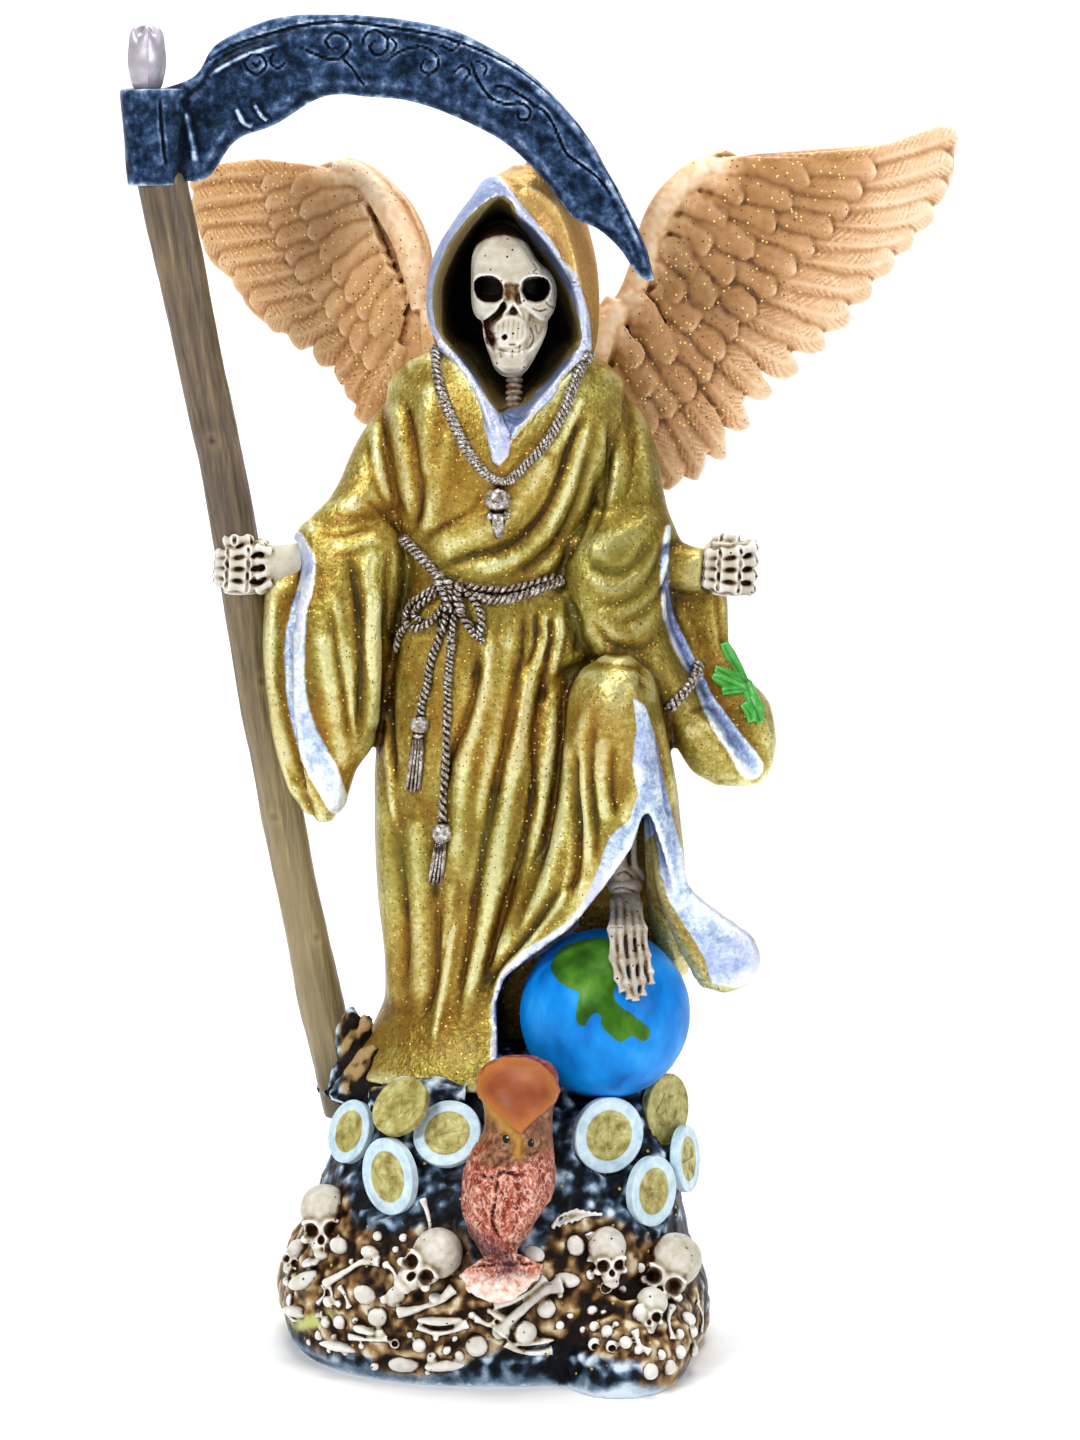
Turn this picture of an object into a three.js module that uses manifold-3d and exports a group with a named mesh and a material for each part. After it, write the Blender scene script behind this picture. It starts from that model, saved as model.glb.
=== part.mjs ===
// A winged, hooded skeleton figure in cast and painted resin, about 298 mm tall.
// It holds a scythe, rests one foot on a globe and stands on a rock mound with coins, skulls and an owl.
// The figure, its scythe and its mound are one casting. The two wings are glued to the back.
// Millimetres, +Z up, the front looks along -Y, and the origin is on the flat underside.
import * as THREE from "three";
import { mergeVertices } from "three/addons/utils/BufferGeometryUtils.js";
import Module from "manifold-3d";

const wasm = await Module();
wasm.setup();

// Driving dimensions.
const FIGURE_HEIGHT = 298; // underside to the top of the scythe blade
const STAFF_RADIUS = 4.9; // the scythe's wooden pole
const BLADE_THICKNESS = 5.0; // flat blade, across its faces
const BLADE_CHAMFER = 1.0; // how much thinner the blade is at its edges
const GLOBE_RADIUS = 19.0;
const COIN_DIAMETER = 17.6;
const COIN_RISE = 1.5; // how far a coin stands off the rock
const CORD_RADIUS = 1.3; // twisted cord of belt and necklace
const STRAND_RADIUS = 0.95; // the belt's bow and its two hanging ends
const BONE_RADIUS = 2.0; // loose long bones on the mound
const FINGER_RADIUS = 1.65;
const TOE_RADIUS = 1.3;
const WING_THICKNESS = 5.6; // across a wing's arm
const FEATHER_STEP = 1.2; // how far each row of feathers lies under the row above it
const PLEAT_DEPTH = 1.3; // half the height of a fold of the skirt
const CLOSEST_POINTS = 1.2; // points nearer than this become one
const GLUE_GAP = 0.3; // between a wing's root and the back it is glued to

// The free form is drawn for a figure 298 tall, and every place in it is a share of the height.
const DRAWN_HEIGHT = 298;
const UNIT = FIGURE_HEIGHT / DRAWN_HEIGHT;
const at = (x, y, z) => new THREE.Vector3(x * UNIT, y * UNIT, z * UNIT);
const UPWARDS = new THREE.Vector3(0, 0, 1);
const all = (points) => points.map((p) => at(...p));

// A closed geometry becomes a solid that can be joined and cut.
function solid(geometry) {
  const bare = geometry.clone();
  bare.deleteAttribute("normal");
  bare.deleteAttribute("uv");
  const merged = mergeVertices(bare, 1e-4);
  const vertProperties = new Float32Array(merged.getAttribute("position").array);
  const triVerts = new Uint32Array(merged.index.array);
  return new wasm.Manifold(new wasm.Mesh({ numProp: 3, vertProperties, triVerts }));
}

const join = (solids) => solids.reduce((whole, next) => whole.add(next));

function placed(geometry, position, rotation = [0, 0, 0], order = "XYZ") {
  const turn = new THREE.Matrix4().makeRotationFromEuler(new THREE.Euler(...rotation, order));
  return solid(geometry.clone().applyMatrix4(turn).translate(position.x, position.y, position.z));
}

// Six times the volume that faces enclose, negative where they look inwards.
function enclosed(points, faces) {
  let sum = 0;
  for (let i = 0; i < faces.length; i += 3) {
    const [a, b, c] = [points[faces[i]], points[faces[i + 1]], points[faces[i + 2]]];
    sum += a.dot(b.clone().cross(c));
  }
  return sum;
}

// Rings of equally many points, from one end of a form to the other, become a closed skin.
function loft(rings) {
  const around = rings[0].length;
  const points = rings.flat();
  const faces = [];
  for (let i = 0; i < rings.length - 1; i++)
    for (let j = 0; j < around; j++) {
      const a = i * around + j;
      const b = i * around + ((j + 1) % around);
      faces.push(a, b, b + around, a, b + around, a + around);
    }
  const centreOf = (ring) => ring.reduce((sum, p) => sum.add(p), new THREE.Vector3()).divideScalar(around);
  const first = points.push(centreOf(rings[0])) - 1;
  const last = points.push(centreOf(rings.at(-1))) - 1;
  const top = (rings.length - 1) * around;
  for (let j = 0; j < around; j++) {
    const k = (j + 1) % around;
    faces.push(first, k, j, last, top + j, top + k);
  }
  if (enclosed(points, faces) < 0)
    for (let i = 0; i < faces.length; i += 3) [faces[i + 1], faces[i + 2]] = [faces[i + 2], faces[i + 1]];
  const geometry = new THREE.BufferGeometry().setFromPoints(points);
  geometry.setIndex(faces);
  return solid(geometry);
}

// The row of a table at height z, smooth between the rows and never past them.
function rowAt(rows, z) {
  const last = rows.length - 1;
  if (z <= rows[0][0]) return rows[0].slice(1);
  if (z >= rows[last][0]) return rows[last].slice(1);
  const i = rows.findIndex((row) => row[0] > z) - 1;
  const h = rows[i + 1][0] - rows[i][0];
  const t = (z - rows[i][0]) / h;
  const slope = (k, c) => {
    if (k === 0 || k === last) return 0;
    const before = (rows[k][c] - rows[k - 1][c]) / (rows[k][0] - rows[k - 1][0]);
    const after = (rows[k + 1][c] - rows[k][c]) / (rows[k + 1][0] - rows[k][0]);
    return before * after <= 0 ? 0 : (2 * before * after) / (before + after);
  };
  const [t2, t3] = [t * t, t * t * t];
  return rows[i].slice(1).map((value, n) => {
    const rise = (t3 - 2 * t2 + t) * slope(i, n + 1) * h + (t3 - t2) * slope(i + 1, n + 1) * h;
    return (2 * t3 - 3 * t2 + 1) * value + (3 * t2 - 2 * t3) * rows[i + 1][n + 1] + rise;
  });
}

// An upright form given by rows of height, left, right, front and back.
// Its folds are every second column of points pushed out, and relief adds roughness by place.
class Column {
  constructor(rows, { around = 24, levels = 10, fold = 0, square = 1, relief = () => 0 } = {}) {
    Object.assign(this, { rows, around, levels, fold, square, relief });
  }
  // The front face's y at a place seen from the front.
  front(x, z) {
    if (z < this.rows[0][0] || z > this.rows.at(-1)[0]) return Infinity;
    const [left, right, front, back] = rowAt(this.rows, z);
    const across = Math.min(0.98, Math.abs((2 * x - left - right) / (right - left)));
    return (front + back) / 2 - ((back - front) / 2) * Math.sqrt(1 - across * across);
  }
  solid(clearance = 0) {
    const grow = clearance / UNIT;
    const [low, high] = [this.rows[0][0] - grow, this.rows.at(-1)[0] + grow];
    const bulge = (value) => Math.sign(value) * Math.pow(Math.abs(value), this.square);
    const rings = [];
    for (let i = 0; i <= this.levels; i++) {
      const z = low + ((high - low) * i) / this.levels;
      const [left, right, front, back] = rowAt(this.rows, z);
      const hang = Math.min(1, (1 - i / this.levels) * 2.5);
      const ring = [];
      for (let j = 0; j < this.around; j++) {
        const angle = (2 * Math.PI * j) / this.around;
        const [c, s] = [Math.cos(angle), Math.sin(angle)];
        const x = (left + right) / 2 + ((right - left) / 2) * bulge(c);
        const y = (front + back) / 2 + ((back - front) / 2) * bulge(s);
        const crest = ((j % 2 ? -1 : 1) * (0.75 + 0.25 * Math.sin(2.4 * j)) * this.fold * hang) / UNIT;
        const out = crest + this.relief(angle, z) + grow;
        ring.push(at(x + out * c, y + out * s, z));
      }
      rings.push(ring);
    }
    return loft(rings);
  }
}

// A round form along a smooth line, with radii shared out along it.
function limb(points, radii, { sides = 8, steps = 6, grow = 0 } = {}) {
  const curve = new THREE.CatmullRomCurve3(points);
  const frames = curve.computeFrenetFrames(steps, false);
  const rings = [];
  for (let i = 0; i <= steps; i++) {
    const share = (i / steps) * (radii.length - 1);
    const k = Math.min(Math.floor(share), radii.length - 2);
    const radius = (radii[k] + (radii[k + 1] - radii[k]) * (share - k)) * UNIT + grow;
    const ring = [];
    for (let j = 0; j < sides; j++) {
      const angle = (2 * Math.PI * j) / sides;
      const across = frames.normals[i].clone().multiplyScalar(radius * Math.cos(angle));
      across.addScaledVector(frames.binormals[i], radius * Math.sin(angle));
      ring.push(across.add(curve.getPoint(i / steps)));
    }
    rings.push(ring);
  }
  return loft(rings);
}

// A flat strip along a line, seen from the front, with half widths along it and one half thickness.
function strip(points, widths, thickness, { sides = 8, steps = 6 } = {}) {
  const curve = new THREE.CatmullRomCurve3(points);
  const rings = [];
  for (let i = 0; i <= steps; i++) {
    const [centre, ahead] = [curve.getPoint(i / steps), curve.getTangent(i / steps)];
    const across = new THREE.Vector3(-ahead.z, 0, ahead.x).normalize();
    const share = (i / steps) * (widths.length - 1);
    const k = Math.min(Math.floor(share), widths.length - 2);
    const width = (widths[k] + (widths[k + 1] - widths[k]) * (share - k)) * UNIT;
    const ring = [];
    for (let j = 0; j < sides; j++) {
      const angle = (2 * Math.PI * j) / sides;
      const point = centre.clone().addScaledVector(across, width * Math.cos(angle));
      point.y += thickness * UNIT * Math.sin(angle) * Math.min(1, width / (3 * UNIT));
      ring.push(point);
    }
    rings.push(ring);
  }
  return loft(rings);
}

// A tube of one radius along a line.
function tube(points, radius, { sides = 5, steps = 12 } = {}) {
  const corners = Array.from({ length: sides }, (_, j) => (2 * Math.PI * j) / sides);
  const section = new THREE.Shape(
    corners.map((angle) => new THREE.Vector2(radius * Math.cos(angle), radius * Math.sin(angle))),
  );
  const extrudePath = new THREE.CatmullRomCurve3(points);
  return solid(new THREE.ExtrudeGeometry(section, { steps, extrudePath, bevelEnabled: false }));
}

function oval([width, depth, height], [x, y, z], { across = 8, up = 6, rotation } = {}) {
  const geometry = new THREE.SphereGeometry(UNIT, across, up).rotateX(Math.PI / 2);
  return placed(geometry.scale(width, depth, height), at(x, y, z), rotation);
}

// A turned form about an upright axis, from a profile of radius and height.
const turned = (profile, sides) =>
  new THREE.LatheGeometry(profile.map(([r, h]) => new THREE.Vector2(r * UNIT, h * UNIT)), sides).rotateX(
    Math.PI / 2,
  );

// Skirt of the robe.
const skirt = new Column(
  [
    [58, -30, 42, -22, 27],
    [66, -26.8, 42, -21, 26],
    [72, -24, 42.5, -19.5, 26],
    [85, -25, 43.5, -17.5, 25],
    [100, -26, 43.5, -16.5, 24],
    [118, -26.5, 42, -16.5, 23],
    [135, -26, 38, -16.5, 21],
    [150, -24.5, 30, -16, 19],
    [165, -22, 24, -15, 16],
    [177, -19.5, 18, -13.5, 13],
  ],
  { around: 34, levels: 7, fold: PLEAT_DEPTH },
);

// The cloth over the raised knee, which falls on to a broad hem.
const knee = new Column(
  [
    [70, -2.5, 44, -28, 10],
    [82, -2.5, 44, -27.5, 10],
    [93, -1, 44, -27.5, 10],
    [105, 5, 44, -28, 10],
    [118, 11, 43, -28.5, 10],
    [130, 14.5, 41.5, -29, 8],
    [140, 16, 39.5, -30, 4],
    [150, 17.5, 37.3, -31, -1],
    [155.5, 20, 35.5, -29.5, -6],
    [159, 24.5, 31.5, -25, -13],
  ],
  { around: 18, levels: 8, fold: 0.5 * PLEAT_DEPTH },
);

// The gap under the lifted hem, where the leg comes out over the globe.
const HEM_EDGE = [
  [2, 56],
  [1.6, 70],
  [1.4, 81],
  [3.4, 87.5],
  [9.5, 93],
  [18, 100],
  [25, 109],
  [31.5, 118],
  [34.5, 127],
];
function hemGap() {
  const flat = ([x, z]) => new THREE.Vector2(x * UNIT, z * UNIT);
  const edge = new THREE.SplineCurve(HEM_EDGE.map(flat)).getPoints(12);
  const outside = [[37.5, 118], [40.5, 108], [46, 97], [75, 92], [75, 56]].map(flat);
  const shape = new THREE.Shape([...edge, ...outside]);
  const geometry = new THREE.ExtrudeGeometry(shape, { depth: 62 * UNIT, bevelEnabled: false });
  return placed(geometry, at(0, 2, 0), [Math.PI / 2, 0, 0]);
}

// Torso, with the wrapped front that crosses to the right hip.
const torso = new Column(
  [
    [170, -19.5, 18, -13.5, 13],
    [180, -20, 18.5, -13.5, 13],
    [190, -21, 22, -15.5, 14],
    [200, -22, 26, -16.5, 15],
    [210, -23, 29, -16, 16],
    [217, -22.5, 30, -14.5, 16],
    [222, -18, 26, -12, 14],
    [227, -9, 18, -8, 11],
  ],
  { around: 20, levels: 6, fold: 0.3 * PLEAT_DEPTH },
);

// Hood: a pointed shell that turns a little to the left, hollow in front of the skull.
const hood = new Column(
  [
    [200, 1, 5, -16.5, -10],
    [208, -2, 11, -16.5, 8],
    [216, -6.5, 18, -16, 14],
    [222, -9.8, 22, -15.5, 17],
    [228, -12.3, 24, -15, 19],
    [235, -13.2, 24.2, -14.5, 20],
    [242, -12.2, 23.6, -14, 20],
    [250, -9, 21.8, -12.5, 19],
    [258, -3.8, 19.4, -10.5, 17],
    [263, 0.6, 17, -7, 14],
    [267.5, 7.6, 13.6, 2, 9],
  ],
  { around: 20, levels: 11 },
);
const faceHollow = new Column(
  [
    [203, 3, 5, -40, -13.5],
    [208, 1.6, 7.4, -40, -9],
    [213, 0, 10.5, -40, -4],
    [219, -2.5, 15, -40, 2],
    [224, -6.5, 18.4, -40, 6],
    [230, -9.6, 19.9, -40, 8],
    [238, -9.8, 18.8, -40, 8],
    [246, -7, 14.4, -40, 5],
    [252, -3.6, 10, -40, 1],
    [257, 0.8, 4.4, -40, -6],
  ],
  { around: 16, levels: 9, square: 0.85 },
);

// Skull and the top of the spine below it.
const skullForm = new Column(
  [
    [220.2, 3.6, 8.8, -12.5, -6],
    [223, 1.9, 10.6, -14.4, -4],
    [227, 1.4, 10.8, -14, -2],
    [230, 0.4, 11.4, -13, 2],
    [232.4, -3, 13.8, -11.5, 4],
    [235, -3.7, 14.4, -11, 6],
    [238, -2.6, 13, -11.6, 7],
    [242, -3.5, 13.2, -12.6, 7.8],
    [247, -3.2, 12.6, -11, 7.5],
    [250.6, -0.8, 10.4, -8.5, 5],
    [253, 3, 6.8, -5, 0],
  ],
  { around: 16, levels: 12 },
);
function skull() {
  const eye = { across: 7, up: 4 };
  const hollows = [
    oval([3.1, 4, 3], [0.4, -10.6, 238], eye),
    oval([3.1, 4, 3], [10.5, -10.6, 238.2], eye),
    oval([1.7, 3, 2.6], [5.7, -13, 233.2], { across: 6, up: 4 }),
  ];
  return skullForm.solid().subtract(join(hollows));
}
const spine = () =>
  limb(all([[5.3, -4, 203], [5.3, -4, 212], [5.3, -1, 224]]), [3.1, 3.1], { sides: 7, steps: 2 });

// Arms inside the sleeves, down to the height of the hands. A grown copy trims the wings.
const HAND_HEIGHT = 176.5;
const ELBOW_HEIGHT = HAND_HEIGHT + 3.5;
const LEFT_ARM = [[-12, 5, 212], [-21, 4, 202], [-29, 1, 189], [-42, -2, HAND_HEIGHT + 2.5]];
const RIGHT_ARM = [[20, 5, 213], [28, 5, 203], [31, 1, 190], [36, -2, ELBOW_HEIGHT]];
const RIGHT_WRIST = [[30, 0, ELBOW_HEIGHT], [42, -2, HAND_HEIGHT], [49, -3, HAND_HEIGHT]];
const arms = (grow = 0) => [
  limb(all(LEFT_ARM), [9, 8.6, 7.4, 5.4], { steps: 4, grow }),
  limb(all(RIGHT_ARM), [9, 8.6, 8.2, 7], { steps: 4, grow }),
  limb(all(RIGHT_WRIST), [6.6, 5.6, 5], { steps: 2, grow }),
];

// The left-hand bell sleeve hangs in two layers, with the open mouth between them.
const leftSleeve = new Column(
  [
    [119.5, -39, -35, -7, -2],
    [124, -40, -32.2, -9.5, 0],
    [131, -42.6, -30, -11, 3],
    [138, -44.5, -25.5, -11.5, 4.5],
    [148, -45.8, -24, -12, 5.5],
    [158, -45.8, -22, -12.5, 6.5],
    [167, -45, -20, -12.5, 7.5],
    [178, -41.5, -18, -11.5, 8.5],
    [185, -42.5, -18, -8.5, 8.5],
    [191, -36, -19, -5, 7],
  ],
  { around: 14, levels: 6, fold: 0.6 * PLEAT_DEPTH, square: 0.85 },
);
const leftSleeveBack = new Column(
  [
    [121, -42, -34, -4.5, 0],
    [127, -45.5, -32, -6, 2],
    [142.5, -49.2, -30, -6.5, 4],
    [158, -50.6, -30, -6, 5],
    [171, -50.2, -30, -5, 6],
    [179, -46, -30, -3.5, 6],
  ],
  { around: 8, levels: 4, square: 0.7 },
);
const leftMouth = new Column(
  [
    [128, -60, -39, -8.2, -4.8],
    [140, -60, -37, -8.8, -5],
    [160, -60, -37, -9, -4.6],
    [172, -60, -40, -8.6, -3.8],
  ],
  { around: 6, levels: 2, square: 0.6 },
);

// The right-hand bell sleeve, swept out so that its inner layer shows beside the hem.
const rightSleeve = new Column(
  [
    [128.5, 50, 58.5, -9.5, -5],
    [131, 45.5, 59, -11.5, -2],
    [136, 42, 56, -13, 1],
    [142, 38.5, 51, -14.5, 3],
    [148, 34, 47.3, -15.2, 5],
    [155, 26, 43.8, -15.5, 6],
    [165, 18, 39.8, -15, 8],
    [175, 16, 38.8, -14, 9],
    [183, 17, 39.6, -12, 9],
    [190, 22, 38, -8, 8],
  ],
  { around: 16, levels: 7, fold: 0.6 * PLEAT_DEPTH, square: 0.85 },
);
const rightSleeveBack = new Column(
  [
    [128, 52, 60, -7, 0],
    [131, 46, 62.5, -9, 2],
    [138, 42, 64, -9.5, 4],
    [146, 36, 62.6, -8, 5],
    [152, 34, 57, -5.5, 6],
    [158, 32, 53.4, -4.5, 6],
    [170, 30, 53, -3.5, 6],
    [179, 30, 50, -1.5, 6],
  ],
  { around: 10, levels: 6, square: 0.7 },
);

// The corner of the hem that sweeps out to the right, below the knee.
const FLAP_LINE = [
  [36.5, -16, 131],
  [39, -17, 118],
  [41, -15.5, 106],
  [46.6, -13.5, 97],
  [52, -12.5, 90.5],
  [54.6, -12, 85],
];
const FLAP_WIDTHS = [2.5, 3.4, 3.8, 6.4, 8.4, 6.6];
const hemFlap = () => {
  const inner = all([[37, -10, 128], [38.5, -9, 112], [40, -6, 98], [42, -2, 84]]);
  return join([
    strip(all(FLAP_LINE), FLAP_WIDTHS, 2.8, { sides: 6, steps: 6 }),
    strip(inner, [3, 4, 4.5, 3], 4, { sides: 6, steps: 3 }),
  ]);
};

// The staff's height, place across, place in depth and swell along its middle.
const STAFF_LINE = [
  [50, -31.5, 6, 1.4],
  [60, -35.2, 7, 1.05],
  [76, -38.8, 6.5, 1.02],
  [100, -43.4, 5, 0.98],
  [130, -48.7, 4, 1.0],
  [158, -53.6, 2.5, 0.94],
  [190, -57.8, 1.5, 1.0],
  [225, -64.6, 0.5, 1.04],
  [262, -71.8, 0, 1.14],
  [284, -74, 0, 1.0],
];

// A fist of four bone fingers, one above the other, closed round a line that runs up through it.
function fist([x, y, z], reach, tilt) {
  const fingers = [];
  for (let i = 0; i < 4; i++) {
    const rise = (1.5 - i) * 2 * FINGER_RADIUS * 0.98;
    const bend = [[0.95, 2.5], [0.95, -3.2], [0, -5.4], [-0.95, -3.4], [-1, 1.5]].map(([across, ahead]) =>
      at(x + across * reach + tilt * rise, y + ahead, z).setZ(z * UNIT + rise),
    );
    fingers.push(limb(bend, [FINGER_RADIUS / UNIT, FINGER_RADIUS / UNIT], { sides: 5, steps: 5 }));
  }
  return join([...fingers, oval([reach * 0.9, 4, 5.6], [x + reach * 0.3, y, z], { up: 4 })]);
}

// Scythe: a rough wooden pole with a knob, and a flat curved blade on a socket.
function staff() {
  const centres = STAFF_LINE.map(([z, x, y]) => at(x, y, z));
  const radii = STAFF_LINE.map((row) => (row[3] * STAFF_RADIUS) / UNIT);
  const knob = [[0, -5], [3.6, -5], [4.2, -1], [3.8, 4], [3, 7.2], [0, 8.2]];
  return join([limb(centres, radii, { steps: 10 }), placed(turned(knob, 8), at(-74.8, 0, 286.5))]);
}
const BLADE_BACK = [
  [-74, 281],
  [-64, 284.8],
  [-58.4, 291.8],
  [-44.6, 297.4],
  [-31, 298],
  [-18.5, 296.9],
  [-7, 294.2],
  [3.8, 289],
  [12.6, 282.2],
  [21.2, 272.6],
  [29.6, 258.6],
  [34.4, 249],
  [36.8, 240.6],
];
const BLADE_EDGE = [
  [-70, 262],
  [-62, 262.5],
  [-55.5, 270.5],
  [-47, 274],
  [-36, 280],
  [-26, 280.2],
  [-15, 278.8],
  [-5, 275],
  [4, 269.8],
  [13, 264],
  [22.5, 255.6],
  [30, 248],
  [35.6, 240.2],
];
const BLADE_TURN = -0.1; // the blade swings a little forward from its socket
function blade() {
  const sections = 16;
  const pivot = at(-71, -0.5, 270);
  const flat = ([x, z]) => new THREE.Vector2(x * UNIT, z * UNIT);
  const line = (points) => new THREE.SplineCurve(points.map(flat));
  const [back, edge] = [line(BLADE_BACK), line(BLADE_EDGE)];
  const half = BLADE_THICKNESS / 2;
  const blunt = half - BLADE_CHAMFER;
  const rings = [];
  for (let i = 0; i <= sections; i++) {
    const [outer, inner] = [back.getPoint(i / sections), edge.getPoint(i / sections)];
    const inset = Math.min(0.3, (1.8 * UNIT) / outer.distanceTo(inner));
    const side = [[0, blunt], [inset, half], [1 - inset, half], [1, blunt * 0.5]];
    const around = [...side.map(([share, out]) => [share, -out]), ...side.reverse()];
    const ring = around.map(([share, out]) => {
      const place = outer.clone().lerp(inner, share);
      const swing = new THREE.Vector3(place.x - pivot.x, out, place.y).applyAxisAngle(UPWARDS, BLADE_TURN);
      return swing.add(new THREE.Vector3(pivot.x, pivot.y, 0));
    });
    rings.push(ring);
  }
  const socket = [[0, -10], [5.6, -9.4], [7, -1], [6.6, 6], [8.4, 10.5], [0, 11]];
  return join([loft(rings), placed(turned(socket, 10), at(-73, 0, 271))]);
}

// Globe, with the bare leg and the foot that rests on it.
const GLOBE = [25.7, -14, 78];
// A point over the globe: turned to one side, fallen forward from its top, and lifted off it.
function onGlobe(side, fall, lift) {
  const radius = GLOBE_RADIUS + lift * UNIT;
  const [ahead, up] = [Math.cos(side) * Math.sin(fall), Math.cos(side) * Math.cos(fall)];
  return at(...GLOBE).add(new THREE.Vector3(Math.sin(side), -ahead, up).multiplyScalar(radius));
}
function foot() {
  const radius = TOE_RADIUS / UNIT;
  const rows = [[0.06, 0.12, 3.4], [0.1, 0.5, 1.8], [0.13, 0.9, 1], [0.11, 1.28, 0.9]];
  const toes = [-2, -1, 0, 1, 2].map((i) => {
    const points = rows.map(([fan, fall, lift], k) => onGlobe(0.18 + 0.07 * k + fan * i, fall, lift));
    return limb(points, [radius, radius], { sides: 5, steps: 3 });
  });
  const heel = onGlobe(0.16, 0.05, 3.6);
  const leg = limb([heel, at(29.2, -11, 114), at(29, -9, 132)], [3.2, 2.4, 3], { sides: 6, steps: 3 });
  return join([...toes, leg]);
}

// Rock mound, widest near the ground and undercut at its rim.
const roughness = (angle, z) =>
  (1.5 * Math.sin(angle * 7 + z * 0.16) + 1.1 * Math.sin(angle * 12 - z * 0.27 + 1.3)) * Math.min(1, z / 6);
const rock = new Column(
  [
    [0, -44, 47, -41, 34],
    [3, -47, 49.5, -42, 36],
    [10, -49.5, 50.5, -43, 38],
    [18, -48, 48.5, -42.5, 38],
    [25, -44.5, 45.8, -41, 37],
    [33, -40.8, 44.6, -38.5, 36],
    [41, -37.4, 45.2, -35, 34],
    [47, -35.4, 45, -32, 33],
    [53, -35, 43.2, -28.5, 31],
    [58, -34, 41, -25, 29],
    [64, -32, 37, -20, 26],
    [69, -27.5, 28, -14, 20],
  ],
  { around: 26, levels: 9, relief: roughness, square: 0.9 },
);
const rockToe = new Column(
  [
    [0, 13, 44, -49.5, 0],
    [6, 12, 47, -49.5, 0],
    [14, 16, 45, -46, 0],
    [20, 22, 40, -40, 0],
  ],
  { around: 12, levels: 3, relief: (angle) => 1.4 * Math.sin(angle * 5) },
);
const BED_RISE = 0.6; // how far the middle of a bone or a pebble stands off the rock
const mound = { front: (x, z) => Math.min(rock.front(x, z), rockToe.front(x, z)) };

// Coins lean on the rock. Side and up are the way each one faces, in degrees from straight ahead.
const COINS = [
  { x: -31.2, z: 50.5, side: -50, up: 22 },
  { x: -19.6, z: 58.6, side: -22, up: 48 },
  { x: -22, z: 44.3, side: -34, up: 20 },
  { x: -9.2, z: 53.6, side: -12, up: 30 },
  { x: 26.2, z: 52.6, side: 14, up: 18 },
  { x: 39.4, z: 54.6, side: 40, up: 36 },
  { x: 36, z: 39.6, side: 38, up: 12 },
  { x: 44, z: 43.5, side: 66, up: 12 },
];
const COIN_ROOT = 3; // how far a coin goes on into the rock
function coins() {
  const [rim, face] = [COIN_DIAMETER / 2 / UNIT, COIN_RISE / UNIT];
  const coin = turned([[0, -COIN_ROOT], [rim, -COIN_ROOT], [rim, face], [0, face]], 12);
  return COINS.map(({ x, z, side, up }) => {
    const turn = [THREE.MathUtils.degToRad(90 - up), 0, THREE.MathUtils.degToRad(side)];
    return placed(coin, at(x, mound.front(x, z), z), turn, "ZXY");
  });
}

// The small skulls lie in the front of the mound. Turn is which way a face looks, in degrees.
const SMALL_SKULLS = [
  { x: -37, z: 30, size: 7, turn: -22 },
  { x: -12.5, z: 24.5, size: 6.4, turn: -8 },
  { x: 26, z: 27, size: 6.2, turn: 4 },
  { x: 40.5, z: 25, size: 7.8, turn: 14 },
  { x: 35, z: 14.5, size: 5.2, turn: -24 },
];
function smallSkull({ x, z, size, turn }) {
  const y = mound.front(x, z);
  const angle = THREE.MathUtils.degToRad(turn);
  const [fx, fy] = [Math.sin(angle), -Math.cos(angle)];
  const along = (ahead, side, up) => [
    x + size * (fx * ahead - fy * side),
    y + 1 + size * (fy * ahead + fx * side),
    z + size * up,
  ];
  const head = oval([size * 0.92, size * 1.1, size], along(0, 0, 0), { across: 8, up: 6 });
  const face = oval([size * 0.62, size * 0.6, size * 0.72], along(0.6, 0, -0.85), { across: 6, up: 4 });
  const hole = [size * 0.3, size * 0.3, size * 0.3];
  const eyes = [-0.42, 0.42].map((side) => oval(hole, along(1.08, side, -0.3), { across: 5, up: 4 }));
  return head.add(face).subtract(join(eyes));
}

// Long bones in the same bed.
const LONG_BONES = [
  [[-46, 21], [-26, 33]],
  [[1, 14], [19, 27]],
  [[-44, 12], [-22, 9]],
  [[30, 6], [46, 12]],
];
function longBone(ends) {
  const [a, b] = ends.map(([x, z]) => at(x, mound.front(x, z) - BED_RISE, z));
  const radius = BONE_RADIUS / UNIT;
  const knobs = [a, b].map((p) => placed(new THREE.SphereGeometry(BONE_RADIUS * 1.5, 5, 3), p));
  return join([limb([a, b], [radius, radius], { sides: 5, steps: 1 }), ...knobs]);
}

// Pebbles between them: place and radius.
const PEBBLES = [
  [-23.5, 12.5, 3],
  [-33, 18, 2.6],
  [-14, 5.6, 2.8],
  [-2.6, 9.2, 3.4],
  [12, 8, 2.6],
  [22, 13, 2.6],
  [47, 14, 3],
  [25, 5.5, 3.2],
];
const pebbles = () =>
  PEBBLES.map(([x, z, radius]) => {
    const y = mound.front(x, z) - BED_RISE;
    return oval([radius, radius, radius], [x, y, z], { across: 6, up: 4 });
  });

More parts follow.
